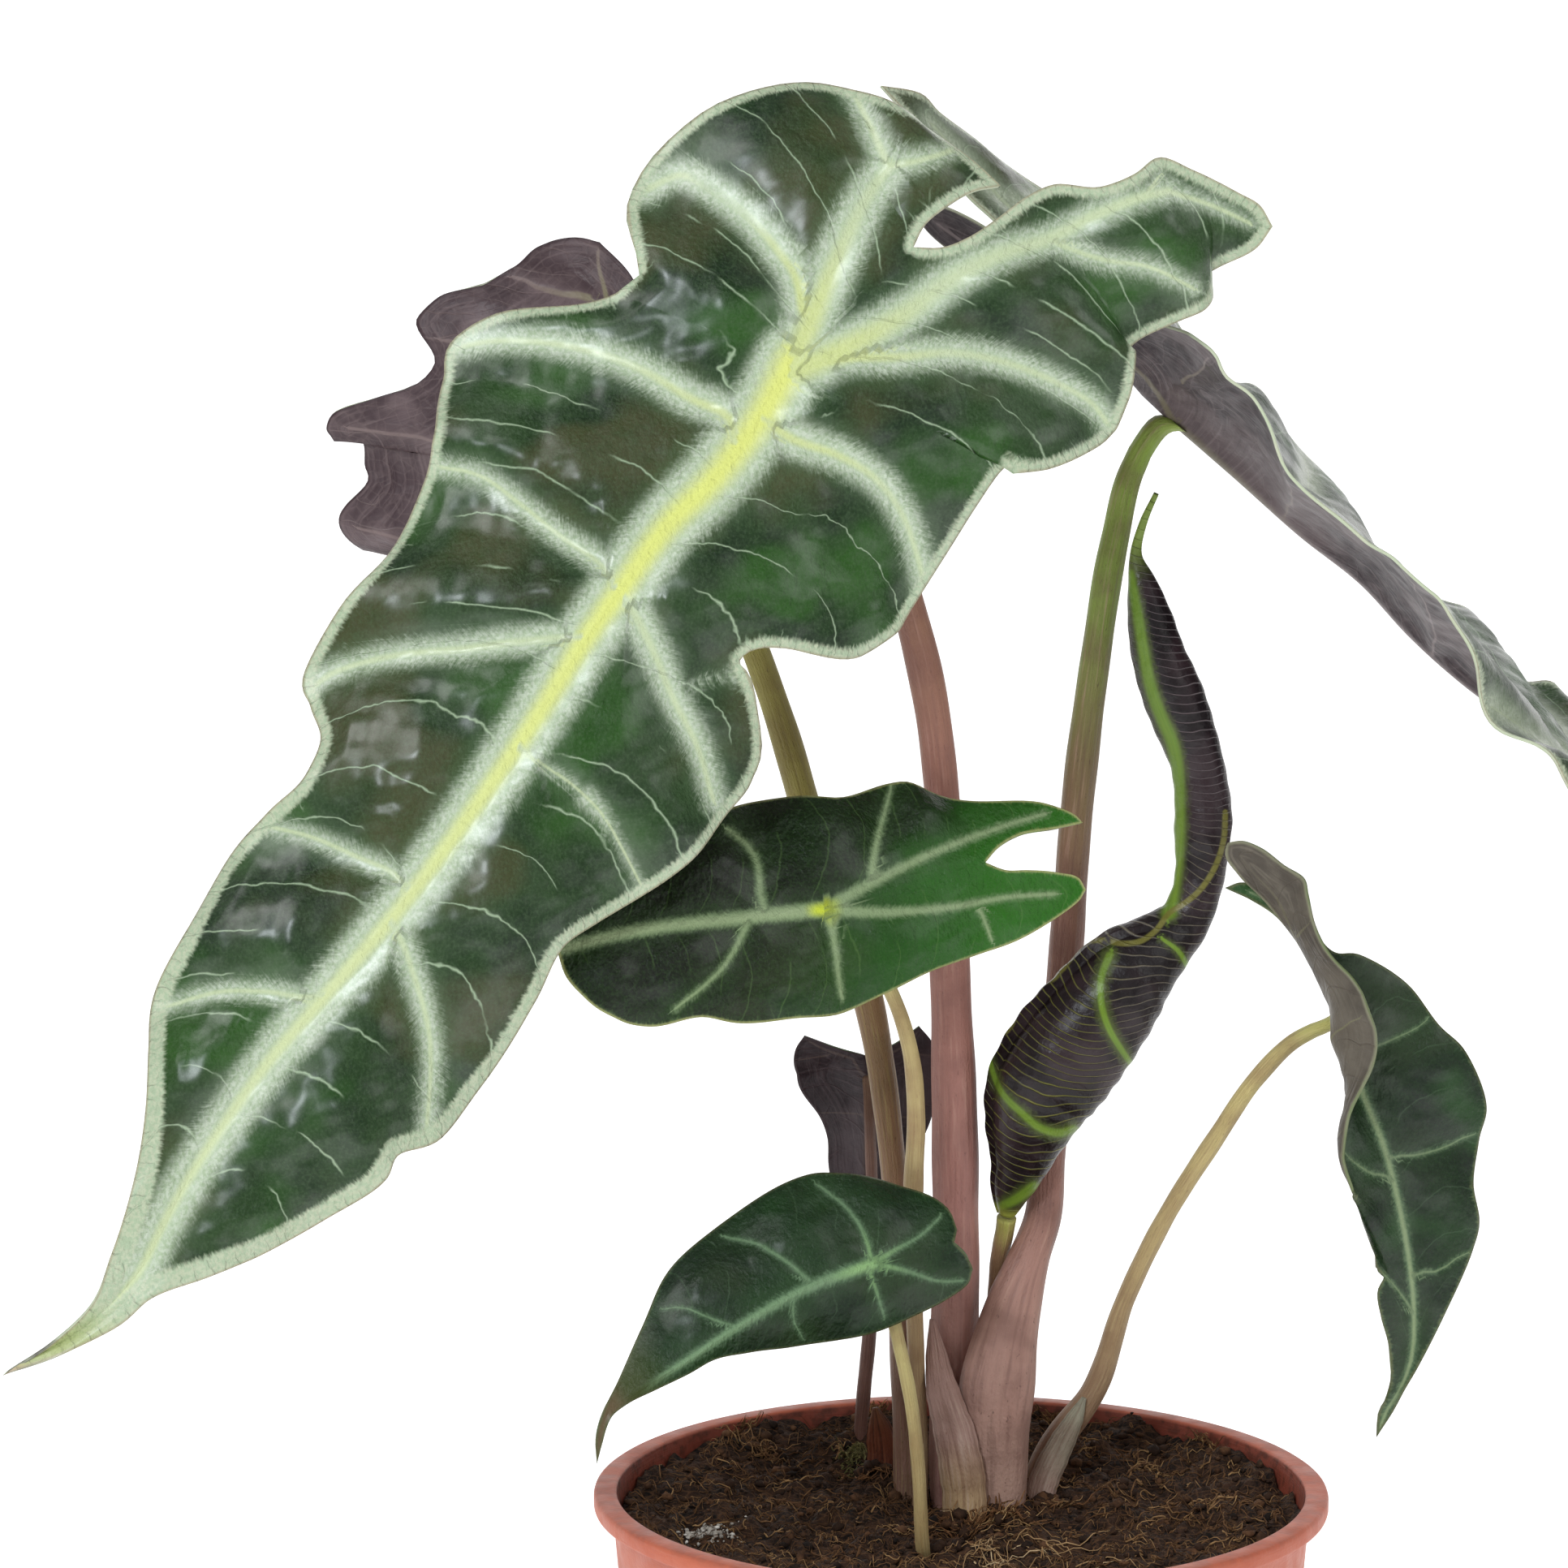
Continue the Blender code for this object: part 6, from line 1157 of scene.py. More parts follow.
# The rolled new leaf, as (x, v, depth, radius, turn of the free margin in degrees). Its veins are as the
# leaves', and hem is the free margin's line over the roll
newLeaf = {
    "rings": 230, "sides": 132, "step": 0.18, "flatness": 0.82, "crossGap": 1.35,
    "turns": [(7.5, 44.6, 10.8, 1.6, 180), (8.2, 48, 9.8, 3.4, 180), (9.8, 53, 8.6, 5.2, 180),
        (11.1, 58.5, 7.6, 7.5, 180), (13, 64.2, 7, 9.5, 182), (17, 70.5, 6.6, 10.3, 186),
        (22.4, 77.3, 7, 9.7, 192), (28, 84.3, 8.4, 8.3, 205), (33.1, 88.8, 10, 6, 225),
        (36.7, 92.4, 11.4, 4.7, 250), (38.7, 97, 12.2, 4.4, 280), (39.6, 101.6, 13, 4.7, 305),
        (39.7, 107.1, 13.4, 5.1, 335), (39.4, 112.5, 13.8, 4.8, 360), (38.4, 118.7, 14, 4.6, 375),
        (36.3, 124.6, 14, 5.1, 385), (34.4, 129.6, 14, 5.3, 392), (32.1, 135.9, 14, 4.7, 400),
        (30.7, 142.1, 14, 3.9, 400), (29.6, 147.6, 14, 2.6, 400), (28.6, 152.4, 14, 1.1, 400),
        (29.8, 157.7, 14, 0.7, 400), (32, 162.6, 14, 0.45, 400)],
    "veins": [
        (0.8, 1.3, 1.2, 1.8, [(27.7, 149.3), (28.9, 143), (29.9, 136.9), (31.1, 130.8), (32.7, 126.2),
            (34.4, 122.3), (35.6, 110.4), (35, 100.8), (34.1, 94)]),
        (0.7, 0.5, 1.5, 1.2, [(24.4, 87.1), (23, 83.4), (23, 79.1), (24.4, 74.7), (26.4, 71.4),
            (27.9, 69.2)]),
        (0.3, 0.8, 0.8, 1.5, [(4.4, 71.8), (5.2, 68), (7, 64.1), (10, 61.2), (12.9, 58.8), (16.2, 57.9),
            (18.5, 58.5)]),
        (0.3, 0.5, 0.6, 0.9, [(32.9, 89.7), (35.6, 87.7), (37.2, 85.1)]),
        (0.7, 1, 1.2, 1.6, [(5.6, 45.6), (8.2, 46.6), (12, 49)]),
    ],
    "hem": [(43.3, 110.4), (43, 105.7), (41.3, 100.8), (38.9, 97.4), (36.5, 95.4), (34.1, 93.9), (32.1, 91.2),
        (29.2, 89.2), (26.4, 88.9), (23, 89.5), (20, 88.9), (18.2, 86.8), (15.8, 83.4), (13.3, 80.6),
        (10.5, 77.1), (8.5, 75.3), (4.6, 72.7), (2.8, 70.4)],
}


def makeRoll(spec, finish, awayMark=9.0):
    # each ring is one turn of a spiral r (1 - step (1 - share)), with shallow pleats along it. The cross
    # veins' phase is the drawn height less a sag that grows with the square of the way from the middle
    drawn = np.array(spec["turns"], float)
    points = front(drawn[:, :3])
    count, sides = spec["rings"], spec["sides"]
    at, centre, back, aside = tubeFrame(points, count)
    radius, turn = smooth(along(points), drawn[:, 3:], at).T
    share = np.linspace(0, 1, sides)
    angle = np.radians(turn)[:, None] + fullTurn * share * (sides - 1) / sides
    pleat = 1 + 0.012 * np.sin(at[:, None] * 190 + 3 * np.sin(angle))
    pleat = pleat + 0.02 * np.sin(3 * angle + 9 * at[:, None])
    reach = radius[:, None] * (1 - spec["step"] * (1 - share)) * pleat
    ring = centre[:, None] + aside[:, None] * (reach * np.cos(angle))[..., None]
    ring = ring + back[:, None] * (spec["flatness"] * reach * np.sin(angle))[..., None]
    body = capped(ring)
    onDrawing, toEye = seen(body), np.full(body.shape, (0.0, 0.0, 1.0))
    marks = veinMarks(onDrawing, drawnRoutes(spec["veins"], 1.0), toEye)
    hem = fromLine(onDrawing, dense(spec["hem"], 1.0), toEye)[0]
    middle = np.concatenate([centre.repeat(sides, 0), centre[[0, -1]]])
    behind = body[:, 1] > middle[:, 1] + 0.5
    for key in ("core", "beyond"):
        marks[key] = np.where(behind, awayMark, marks[key])
    sag = 0.06 * (onDrawing[:, 0] - seen(middle)[:, 0] - 2.0) ** 2
    marks.update(edge=np.where(behind, awayMark, hem), thin=(onDrawing[:, 1] - sag) / spec["crossGap"],
                 rise=np.concatenate([np.repeat(at, sides), [0.0, 1.0]]))
    makePiece("newLeafRoll", body, tubeFaces(count, sides), [finish], "new_leaf_roll",
              marks=marks)


def rollFinish(name):
    # near-black purple underside of a young leaf: lime veins, wavy yellow-green cross veins, a yellow foot
    finish, tree, shader = newFinish(name)
    spot = place(tree)
    rise, thin, offset, strand, edge = readings(tree, "rise", "thin", "offset", "strand", "edge")
    vein, border = veinReach(tree)
    upper = rise.spread(0.5, 0.62)
    purple = spot.mottle(9, 3).spread(0.35, 0.65).blend((18, 11, 14), (46, 33, 37))
    warp = spot.mottle(14, 0) + spot.mottle(4, 1) * 0.18
    wave = (thin + warp * 3.4).lines(0.12)
    wave = wave * spot.mottle(6).spread(0.36, 0.5, 0.45, 1) * vein.spread(1, 2.2)
    east = spot.part(0) + spot.mottle(9) * 8
    crossTint = upper.blend((116, 114, 54), (98, 86, 84))
    crossTint = east.spread(20, 32, 0, 0.7).blend(crossTint, (104, 94, 98))
    colour = wave.blend(purple, crossTint)
    colour = (border + spot.mottle(0.7) * 1.6).spread(0, 1.5, 0.75, 0).blend(colour, (78, 90, 40))
    lime = upper.blend((108, 136, 44), (102, 130, 46))
    groove = joined(tree, offset * 2.4, strand * 0.12)
    lime = groove.mottle(1).spread(0.4, 0.7, 0, 0.5).blend(lime, (84, 116, 38))
    colour = vein.spread(0.4, 1.3, 1, 0).blend(colour, lime)
    colour = edge.spread(0.25, 0.65, 0.9, 0).blend(colour, (112, 108, 50))
    colour = rise.spread(0, 0.02, 1, 0).blend(colour, (152, 160, 68))
    colour = rise.spread(0.88, 0.95).blend(colour, (120, 140, 62))
    fill(tree, shader, {"Base Color": colour, "Roughness": spot.mottle(3, 3).spread(0.3, 0.7, 0.3, 0.44),
                        "Specular IOR Level": 0.3, "Coat Weight": 0.12, "Coat Roughness": 0.25},
         wave * 0.8 + spot.mottle(0.9) * 0.7, 0.22)
    return finish


# Peat: a lumpy disc with loose crumbs, fibres and fine roots on it
peat = {
    "top": 89, "radius": 55.5, "foot": 47.2, "floor": 1.8, "rings": 150, "sides": 300, "bankRadius": 57.2,
    "crumbs": 1700, "fibres": 2300, "roots": 60, "moss": 220, "grit": 320, "straw": 110,
}


def peatHeight(x, y):
    # banked towards the wall and the back, lumpy in four sizes, with pits between the lumps
    bank = 2.0 * (x**2 + y**2) / peat["bankRadius"]**2 + 0.045 * y
    broad = 0.5 * np.sin(0.31 * x + 0.9 * np.sin(0.23 * y)) + 0.35 * np.sin(0.47 * y + 1.3 * np.cos(0.29 * x))
    lumps = 1.5 * np.abs(crumble(x, y, 6.5, 1)) + 1.3 * np.abs(crumble(x, y, 3.1, 2))
    lumps += 0.8 * np.abs(crumble(x, y, 1.6, 3)) + 0.4 * crumble(x, y, 0.8, 4)
    return peat["top"] + bank + broad + 0.3 * np.sin(0.8 * x - 0.55 * y + 1) + lumps - 1.4


def onTop(x, y, lift=0.0):
    # points this far above the peat
    return np.stack([x, y, peatHeight(x, y) + lift], -1)


def makePeat(finish):
    sides, rings = peat["sides"], peat["rings"]
    angle = around(sides)
    radius = peat["radius"] * np.linspace(1, 0, rings, endpoint=False)[:, None]
    ring = np.stack([np.cos(angle), np.sin(angle), np.ones(sides)], -1)
    foot = ring * (peat["foot"], peat["foot"], peat["floor"])
    dome = onTop(radius * np.cos(angle), radius * np.sin(angle))
    ends = [[[0, 0, peat["floor"]]], onTop(np.zeros(1), np.zeros(1))]
    points = np.concatenate([foot, dome.reshape(-1, 3), *ends])
    makePiece("peatBed", points, tubeFaces(rings + 1, sides), [finish], "soil")


ball = {
    "points": np.array([(0, 0, -1), (0.72, -0.53, -0.45), (-0.28, -0.85, -0.45), (-0.89, 0, -0.45),
                        (-0.28, 0.85, -0.45), (0.72, 0.53, -0.45), (0.28, -0.85, 0.45), (-0.72, -0.53, 0.45),
                        (-0.72, 0.53, 0.45), (0.28, 0.85, 0.45), (0.89, 0, 0.45), (0, 0, 1)]),
    "faces": np.array([(0, 1, 2), (1, 0, 5), (0, 2, 3), (0, 3, 4), (0, 4, 5), (1, 5, 10), (2, 1, 6),
                       (3, 2, 7), (4, 3, 8), (5, 4, 9), (1, 10, 6), (2, 6, 7), (3, 7, 8), (4, 8, 9),
                       (5, 9, 10), (6, 10, 11), (7, 6, 11), (8, 7, 11), (9, 8, 11), (10, 9, 11)]),
}


def scatter(name, centres, sizes, finish, seed, squash=0.75):
    # one mesh of uneven lumps: the ball's corners pushed in and out, each lump turned and sized its own way
    dice = np.random.default_rng(seed)
    count, each = len(centres), len(ball["points"])
    corners = ball["points"][None] * dice.uniform(0.65, 1.3, (count, each, 1))
    turn = dice.uniform(*anyWay, count)[:, None]
    x = corners[..., 0] * np.cos(turn) - corners[..., 1] * np.sin(turn)
    y = corners[..., 0] * np.sin(turn) + corners[..., 1] * np.cos(turn)
    corners = np.stack([x, y, corners[..., 2] * squash], -1) * sizes[:, None, None]
    corners *= dice.uniform(0.7, 1.3, (count, 1, 3))
    points = (centres[:, None] + corners).reshape(-1, 3)
    faces = (ball["faces"][None] + each * np.arange(count)[:, None, None]).reshape(-1, 3)
    makePiece(name, points, faces.tolist(), [finish],
              marks={"tone": np.repeat(dice.uniform(0, 1, count), each)})


def strands(name, starts, headings, lengths, radii, finish, seed, runs=8, rise=0.0, curl=1.2):
    # one mesh of bent threads with three sides, resting on the peat: a heading plus a curl along the length
    dice = np.random.default_rng(seed)
    count = len(starts)
    share = np.linspace(0, 1, runs + 1)
    bend = dice.normal(0, curl, (count, 1)) * share
    heading = headings[:, None] + (bend + dice.normal(0, curl * 0.5, (count, 1)) * np.sin(6 * share))
    step = (lengths / runs)[:, None]
    x = starts[:, :1] + np.cumsum(np.cos(heading) * step, 1)
    y = starts[:, 1:2] + np.cumsum(np.sin(heading) * step, 1)
    out = np.maximum(np.hypot(x, y) / (peat["radius"] - 0.8), 1.0)
    hump = dice.uniform(0.1, 1.0, (count, 1)) * np.sin(np.pi * share) * lengths[:, None] * 0.12
    middle = onTop(x / out, y / out, 0.25)
    middle[..., 2] += hump + rise * share * lengths[:, None]
    ahead = unit(np.gradient(middle, axis=1))
    beside = unit(np.cross(ahead, [0.0, 0.0, 1.0]))
    above = np.cross(beside, ahead)
    angle = np.array([0.0, 2.094, 4.189])[:, None]
    thick = (radii[:, None] * (1 - 0.7 * share))[..., None, None]
    spoke = beside[:, :, None] * np.cos(angle) + above[:, :, None] * np.sin(angle)
    ring = middle[:, :, None] + thick * spoke
    each = (runs + 1) * 3
    firsts = each * np.arange(count)
    faces = (gridFaces(runs + 1, 3, closed=True)[None] + firsts[:, None, None]).reshape(-1, 4).tolist()
    faces += np.stack([firsts, firsts + 1, firsts + 2], 1).tolist()
    faces += np.stack([firsts + each - 1, firsts + each - 2, firsts + each - 3], 1).tolist()
    makePiece(name, ring.reshape(-1, 3), faces, [finish],
              marks={"tone": np.repeat(dice.uniform(0, 1, count), each)})


def onPeat(x, v):
    # the world x and y where the line of sight through a drawn point meets the peat's level
    drawn = rimMiddle + v * lookUp + np.array([x, 0.0, 0.0])
    ray = drawn - eye
    return (eye + ray * ((peat["top"] + 1.5 - eye[2]) / ray[2]))[:2]


def inDisc(dice, radius, count):
    # x and y of seeded spots that lie evenly in a disc: radius sqrt(share) at any angle
    reach, turn = radius * np.sqrt(dice.uniform(0, 1, count)), dice.uniform(*anyWay, count)
    return reach * np.cos(turn), reach * np.sin(turn)


def rough(name, low, middle, high, bumpSize, depth, gloss=0.85):
    # dull granular stuff: three tones by the lump's own tone and by fine noise
    finish, tree, shader = newFinish(name)
    spot = place(tree)
    tone = readings(tree, "tone")[0] * 0.7 + spot.mottle(1.2, 4, 0.65) * 0.6
    colour = tone.spread(0.2, 0.62).blend(low, middle)
    colour = tone.spread(0.72, 1.05).blend(colour, high)
    fill(tree, shader, {"Base Color": colour, "Roughness": gloss, "Specular IOR Level": 0.25},
         spot.mottle(bumpSize, 4, 0.65), depth)
    return finish


def peatFinish():
    # damp dark peat: near-black pits, brown lumps, reddish-brown bits and pale shreds
    finish, tree, shader = newFinish("dampPeat")
    spot = place(tree)
    grain = spot.mottle(1.6, 5, 0.7)
    colour = grain.spread(0.36, 0.62).blend((18, 11, 8), (58, 38, 26))
    colour = spot.mottle(6, 3).spread(0.45, 0.7, 0, 0.6).blend(colour, (78, 51, 33))
    shred = place(tree, 300, 1300, 1300).cells(1.5).spread(0, 0.1, 0.5, 0)
    colour = shred.blend(colour, (108, 76, 50))
    gloss = grain.spread(0.3, 0.7, 0.95, 0.7)
    fill(tree, shader, {"Base Color": colour, "Roughness": gloss, "Specular IOR Level": 0.3},
         grain + spot.mottle(0.5, 3) * 0.6, 0.9)
    return finish


def makePeatDetail():
    dice = np.random.default_rng(12)

    def threads(name, spots, turns, lengths, radii, finish, seed, **form):
        # strands whose headings, lengths and half widths are drawn from these ranges, in this order
        drawn = [dice.uniform(*limits, len(spots)) for limits in (turns, lengths, radii)]
        strands(name, spots, *drawn, finish, seed, **form)

    crumbs = rough("peatCrumbs", (18, 11, 8), (56, 37, 25), (104, 72, 48), 0.5, 0.25)
    fibres = rough("peatFibres", (52, 34, 22), (110, 78, 50), (172, 136, 92), 0.6, 0.1)
    x, y = inDisc(dice, 54.6, peat["crumbs"])
    sizes = 0.3 + 0.9 * dice.power(0.6, peat["crumbs"]) ** 2
    scatter("peatCrumbs", onTop(x, y, 0.3 * sizes), sizes, crumbs, 21)
    count = peat["fibres"]
    spots = np.stack(inDisc(dice, 54.0, count), -1)
    strands("peatFibres", spots, dice.uniform(*anyWay, count), dice.uniform(1.5, 6.5, count),
            0.07 + 0.16 * dice.power(0.5, count), fibres, 23, runs=7, rise=0.1, curl=2.4)
    tufts = ((-23, 18.5), (26, 16.5), (19, 14), (-43, 9), (30, 2), (-34, 4), (44, 6), (38, -4))
    spots = np.concatenate([onPeat(x, v) + dice.normal(0, 1.8, (30, 2)) for x, v in tufts])
    threads("fibreTufts", spots, anyWay, (2, 5), (0.1, 0.24), fibres, 24, rise=0.45, curl=1.9)
    roots = rough("fineRoots", (130, 98, 64), (176, 142, 100), (214, 188, 148), 0.8, 0.1, 0.6)
    spots = np.stack([dice.uniform(*limits, peat["roots"]) for limits in ((-1, 17), (-44, -6))], -1)
    threads("fineRoots", spots, (-2.4, 0.2), (6, 17), (0.1, 0.2), roots, 25, runs=12, curl=1.0)

    # dry shreds, straw-coloured bits and crumbs banked against the feet of the sheath and the stalks
    feet = np.array([(0.6, -3.6), (5.4, 0.4), (9.5, 1.5), (15, 10.6), (-3.5, -0.6), (-12.8, 22)])[:, None]
    shreds = rough("dryShreds", (84, 56, 36), (126, 88, 56), (192, 158, 112), 0.7, 0.1)
    spots = (feet + dice.normal(0, (2.0, 1.1), (6, 26, 2))).reshape(-1, 2)
    threads("footShreds", spots, (-2.8, -0.3), (2, 7), (0.1, 0.22), shreds, 29, rise=0.3, curl=1.8)
    spots = np.column_stack([dice.uniform(-2.5, 9.5, peat["straw"]), dice.normal(-2.6, 0.7, peat["straw"])])
    spots[:, 1] += 0.35 * np.maximum(spots[:, 0] - 2.0, 0.0)
    threads("strawBits", spots, (-2.6, 3.0), (1.5, 4.5), (0.14, 0.3), shreds, 31, rise=0.8, curl=1.6)
    x, y = (feet + dice.normal(0, (2.6, 1.0), (6, 40, 2))).reshape(-1, 2).T
    sizes = dice.uniform(0.4, 1.3, len(x))
    scatter("footCrumbs", onTop(x, y, dice.uniform(0.3, 1.5, len(x)) * sizes), sizes, crumbs, 30)

    # a tuft of moss, pale grit and one chip of wood
    moss = rough("moss", (56, 52, 28), (110, 106, 62), (165, 158, 110), 0.4, 0.1)
    spots = onPeat(-17.5, 3.5) + dice.normal(0, 1.2, (peat["moss"], 2)) * np.array([1.0, 2.0])
    threads("mossTuft", spots, anyWay, (0.6, 1.6), (0.1, 0.2), moss, 26, runs=3, rise=0.7)
    grit = rough("paleGrit", (120, 112, 104), (176, 170, 160), (232, 228, 220), 0.4, 0.1)
    x, y = (onPeat(-41, -7) + dice.normal(0, 1.5, (peat["grit"], 2)) * np.array([1.3, 1.6])).T
    sizes = 0.1 + 0.4 * dice.power(0.5, len(x))
    scatter("paleGrit", onTop(x, y, 0.9 * sizes), sizes, grit, 27)
    chip = rough("woodChip", (96, 56, 34), (140, 88, 56), (176, 122, 84), 0.9, 0.2)
    x, y = onPeat(-26.4, -12.3)
    scatter("woodChip", onTop(x, y, 0.6)[None], np.array([2.6]), chip, 28, squash=0.35)


# The pot: thin tapered wall with a collar lip, drain holes in the floor
pot = {
    "height": 95, "lip": 60, "lipHeight": 2.8, "wallTop": 57.2, "base": 49, "wall": 1, "floor": 1.5,
    "sides": 216, "holes": 8, "holeRadius": 4, "holeRing": 32, "drill": 8,
}


def potFinish():
    # matte terracotta plastic: faint rings from its mould, a rubbed lip, a darker inner wall, and peat dust
    # inside and near the rim
    finish, tree, shader = newFinish("terracottaPlastic")
    spot = place(tree)
    inside, = readings(tree, "inside")
    colour = spot.mottle(14, 3).spread(0.3, 0.7).blend((184, 96, 70), (193, 105, 78))
    rings = place(tree, 1000, 1000, 5000).mottle(2).spread(0.4, 0.8, 0, 0.25)
    colour = rings.blend(colour, (170, 80, 60))
    dusty = spot.part(2).spread(93.6, 95.1) * spot.mottle(3, 4).spread(0.4, 0.62)
    colour = (dusty * 0.4).blend(colour, (140, 84, 70))
    # the whole inner wall a darker terracotta, then smears of peat dust on it
    colour = inside.blend(colour, (140, 70, 54))
    smear = inside * spot.mottle(2.2, 4).spread(0.45, 0.65, 0, 0.6)
    colour = smear.blend(colour, (66, 40, 30))
    gloss = spot.mottle(4, 3).spread(0.3, 0.7, 0.42, 0.56)
    fill(tree, shader, {"Base Color": colour, "Roughness": gloss, "Specular IOR Level": 0.4},
         spot.mottle(0.8, 3) + place(tree, 300, 300, 9000).mottle(2) * 0.7, 0.08)
    return finish


def makePot(finish):
    top, lip, base, floor = (pot[key] for key in ("height", "lip", "base", "floor"))
    collar = top - pot["lipHeight"]

    def wallAt(height):
        return base + (pot["wallTop"] - base) * height / top

    outside = [(base - 1.5, 0), (base - 0.4, 0.4), (base, 1.5)]
    outside += [(wallAt(height), height) for height in np.linspace(6, collar - 0.6, 12)]
    outside += [(wallAt(collar) + 0.25, collar - 0.12), (wallAt(collar) + 0.8, collar), (lip - 0.5, collar),
                (lip - 0.12, collar + 0.15), (lip, collar + 0.5), (lip, top - 0.7), (lip - 0.15, top - 0.25),
                (lip - 0.5, top)]
    inner = pot["wallTop"] - pot["wall"]
    inside = [(inner + 0.6, top + 0.05), (inner + 0.15, top - 0.1), (inner, top - 0.5)]
    inside += [(wallAt(height) - pot["wall"], height) for height in np.linspace(92, 4, 10)]
    inside += [(wallAt(floor) - pot["wall"] - 0.8, floor)]
    profile = np.array(outside + inside, float)
    sides, count = pot["sides"], len(profile)
    angle = around(sides)
    ring = np.stack([profile[:, :1] * np.cos(angle), profile[:, :1] * np.sin(angle),
                     np.repeat(profile[:, 1:], sides, axis=1)], -1)
    points = np.concatenate([ring.reshape(-1, 3), [[0, 0, 0], [0, 0, floor]]])
    mark = np.concatenate([np.repeat(np.arange(count) >= len(outside) + 2, sides), [False, True]])
    piece = makePiece("nurseryPot", points, tubeFaces(count, sides), [finish], "pot",
                      marks={"inside": mark.astype(float)})
    drills = bpy.data.collections.new("drills")
    for hole in range(pot["holes"]):
        turn = fullTurn * (hole + 0.5) / pot["holes"]
        where = (pot["holeRing"] * mm * np.cos(turn), pot["holeRing"] * mm * np.sin(turn), 0.0)
        bpy.ops.mesh.primitive_cylinder_add(vertices=40, radius=pot["holeRadius"] * mm,
                                            depth=pot["drill"] * mm, location=where)
        drill = bpy.context.object
        bpy.context.scene.collection.objects.unlink(drill)
        drills.objects.link(drill)
    bpy.context.scene.collection.children.link(drills)
    cut = piece.modifiers.new("drain holes", "BOOLEAN")
    cut.operand_type, cut.collection, cut.solver = "COLLECTION", drills, "EXACT"
    done = bpy.data.meshes.new_from_object(piece.evaluated_get(bpy.context.evaluated_depsgraph_get()))
    piece.modifiers.clear()
    piece.data = done
    for drill in list(drills.objects):
        bpy.data.objects.remove(drill, do_unlink=True)
    bpy.data.collections.remove(drills)
    print("pot:", len(done.polygons), "faces")


# Studio, in metres: pale floor that sweeps up behind, even light from all round, two large soft boxes and a
# smaller one beside the camera for the highlights on the leaves
studio = {
    "floor": (0.7, 0.7, 0.7, 1.0), "glow": 0.8, "world": 0.3, "air": (1.0, 0.99, 0.97, 1.0),
    "reach": (-2.5, 2.2), "sweep": 1.2, "height": 3.0, "halfWidth": 4.0,
    "boxes": [  # (place, size, power, aim, colour)
        ((-0.9, -0.9, 1.5), (0.9, 0.9), 12.5, (0.0, 0.0, 0.2), (1.0, 1.0, 1.0)),
        ((1.1, -0.7, 1.0), (0.7, 1.0), 4.5, (0.0, 0.0, 0.2), (1.0, 1.0, 1.0)),
        ((-0.45, -1.3, 0.95), (0.26, 0.34), 6.5, (0.0, 0.0, 0.15), (0.88, 0.94, 1.0)),
    ],
}


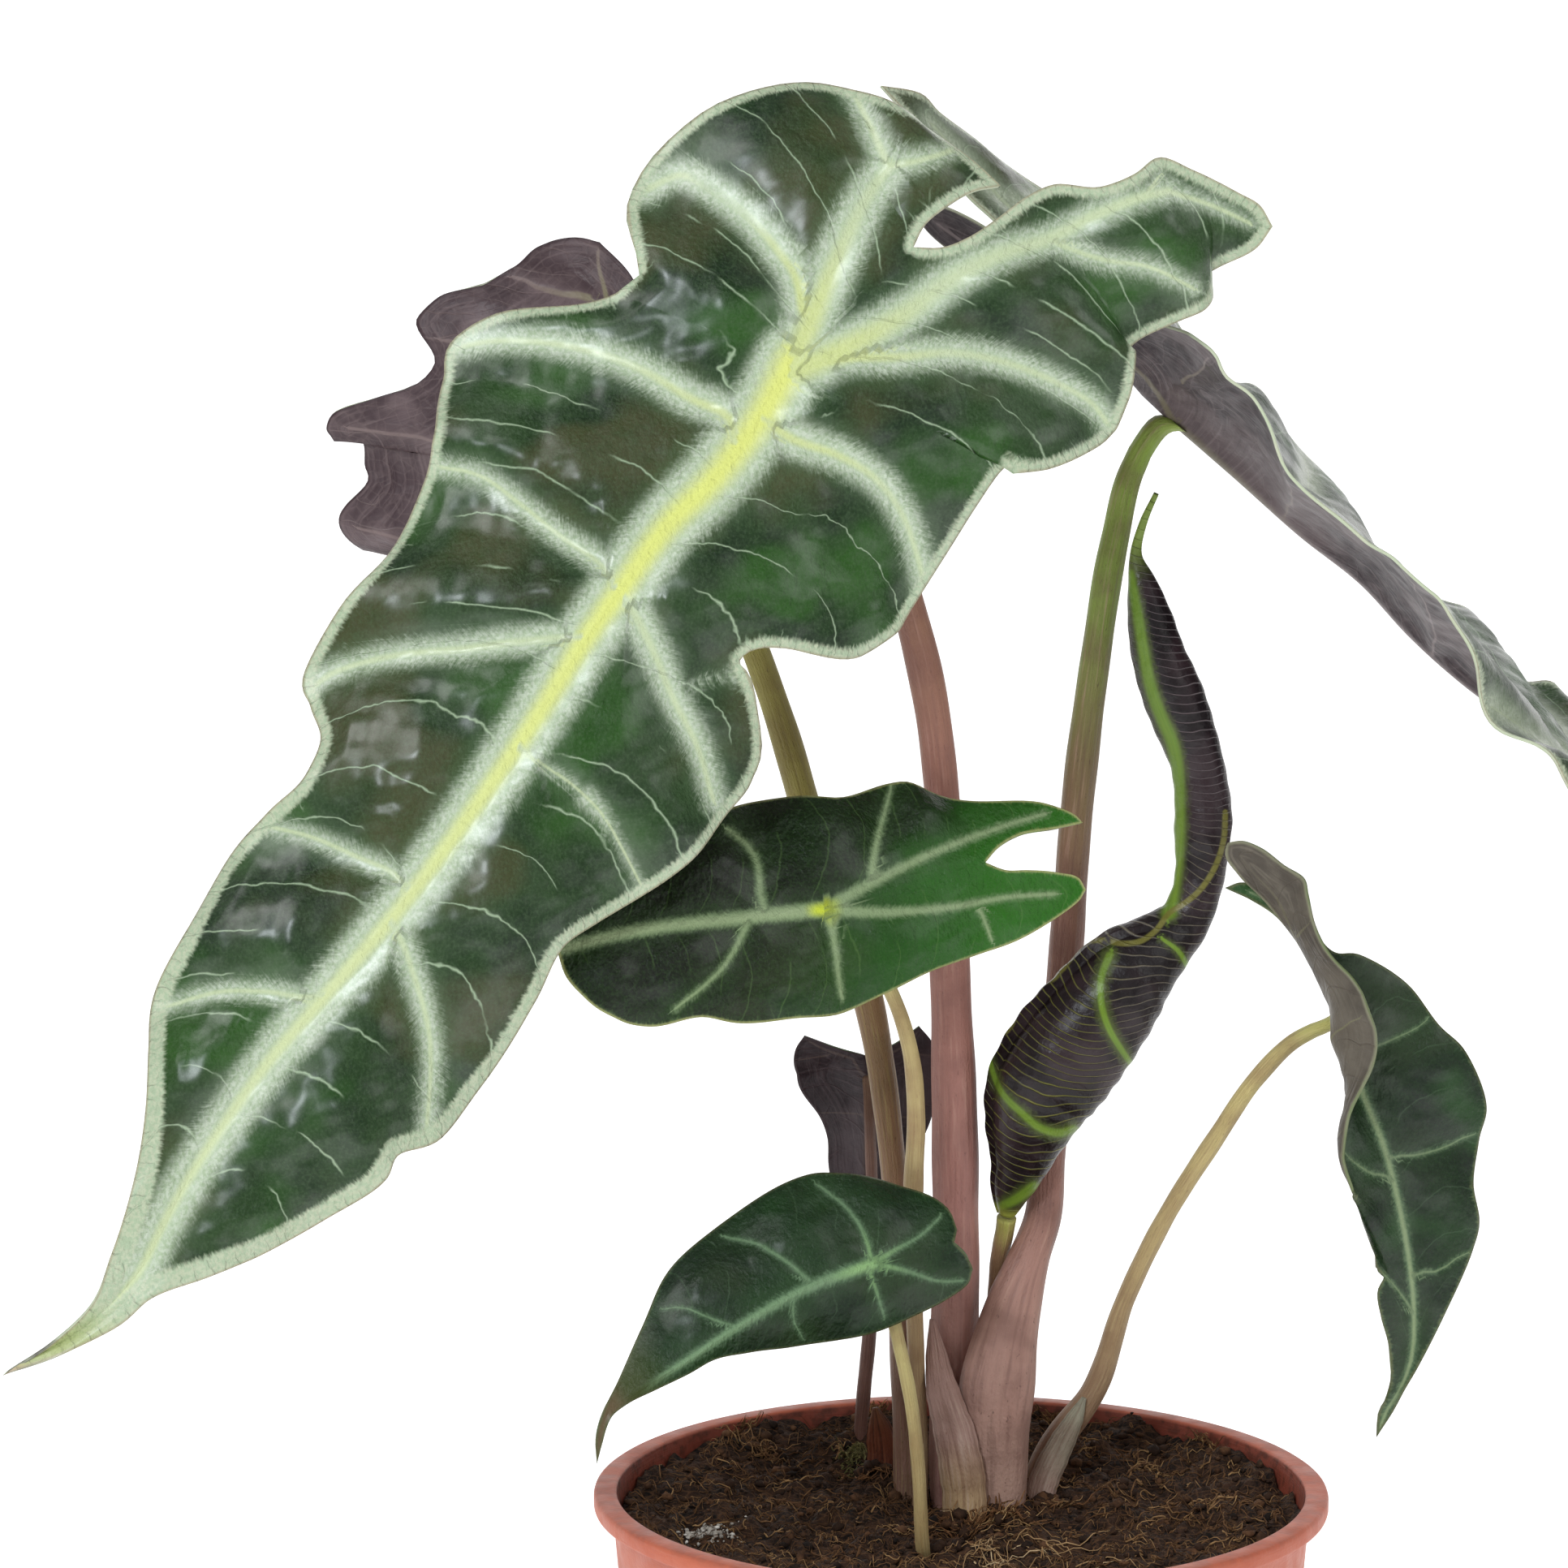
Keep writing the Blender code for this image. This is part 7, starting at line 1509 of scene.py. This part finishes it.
def makeStudio():
    world = bpy.data.worlds.new("studio")
    bpy.context.scene.world = world
    world.use_nodes = True
    sky = world.node_tree.nodes["Background"].inputs
    sky["Color"].default_value, sky["Strength"].default_value = studio["air"], studio["world"]
    finish, tree, shader = newFinish("paleFloor")
    fill(tree, shader, {"Base Color": studio["floor"], "Roughness": 0.9, "Emission Strength": studio["glow"],
                        "Emission Color": (1.0, 1.0, 1.0, 1.0)})
    turn = np.linspace(0, np.pi / 2, 24)
    (near, far), sweep = studio["reach"], studio["sweep"]
    y = np.concatenate([[near], far + sweep * np.sin(turn), [far + sweep]])
    z = np.concatenate([[0.0], sweep - sweep * np.cos(turn), [studio["height"]]])
    sides = (-studio["halfWidth"], studio["halfWidth"])
    points = np.concatenate([np.stack([np.full(len(y), x), y, z], -1) for x in sides])
    mesh = bpy.data.meshes.new("floor")
    mesh.from_pydata(points.tolist(), [], gridFaces(2, len(y)).tolist())
    mesh.materials.append(finish)
    mesh.shade_smooth()
    floor = bpy.data.objects.new("floor", mesh)
    bpy.context.scene.collection.objects.link(floor)
    for number, (where, size, power, aim, colour) in enumerate(studio["boxes"]):
        data = bpy.data.lights.new(f"softBox{number}", "AREA")
        data.shape, data.size, data.size_y, data.energy = "RECTANGLE", *size, power
        data.color = colour
        lamp = bpy.data.objects.new(f"softBox{number}", data)
        lamp.location = where
        away = np.array(aim) - np.array(where)
        lamp.rotation_euler = (np.arctan2(np.hypot(away[0], away[1]), -away[2]), 0.0,
                               np.arctan2(away[1], away[0]) - np.pi / 2)
        bpy.context.scene.collection.objects.link(lamp)
    bpy.context.scene.view_settings.view_transform = "Standard"


setCamera()
makeStudio()
print("camera, floor and lights")

blades = (
    (hero, "dark_green_blade", mauveUnder, heroStalk, "pink_brown_stalk"),
    (middle, "dark_green_blade", greyUnder, middleStalk, "straw_stalk"),
    (frontLeaf, "dark_green_blade", greyUnder, frontStalk, "pale_yellow_stalk"),
    (back, "purple_blade", mauveUnder, backStalk, "olive_stalk"),
    (right, "purple_blade", darkUnder, rightStalk, "pink_taupe_stalk"),
    (side, "dark_green_blade", greyUnder, sideStalk, "tan_stalk"),
    (small, "purple_blade", smallUnder, smallStalk, "brown_stalk"),
)
for leaf, slot, underLook, stalk, stalkSlot in blades:
    name = leaf["name"]
    finishes = [bladeTop(name + "Top", leaf["top"]), bladeUnder(name + "Under", underLook),
                bladeRim(name + "Rim", leaf["top"]["rim"], underLook["rim"])]
    seat, up = makeBlade(leaf, finishes)
    makeStalk(name + "Stalk", stalk, stalkFinish(name + "StalkSkin", stalk), seat, up)
print("blades and stalks")

makeRoll(newLeaf, rollFinish("rolledLeaf"))
makeStalk("newLeafStalk", rollStalk, stalkFinish("newLeafStalkSkin", rollStalk))
sheaths = (("oldSheath", oldSheath, "pale_sheath"), ("sideSheath", sideSheath, "papery_sheath"),
           ("brownScale", brownScale, "brown_scale"))
for name, sheath, slot in sheaths:
    makeStalk(name, sheath, stalkFinish(name + "Skin", sheath), footDepth=83.0, sides=40)
print("new leaf and sheaths")

makePeat(peatFinish())
makePeatDetail()
print("peat")
makePot(potFinish())

cormFinish = rough("cormSkin", (74, 48, 34), (126, 90, 64), (170, 130, 96), 1.5, 0.5)
frame["nodes"]["corm"].material_slots[0].material = cormFinish
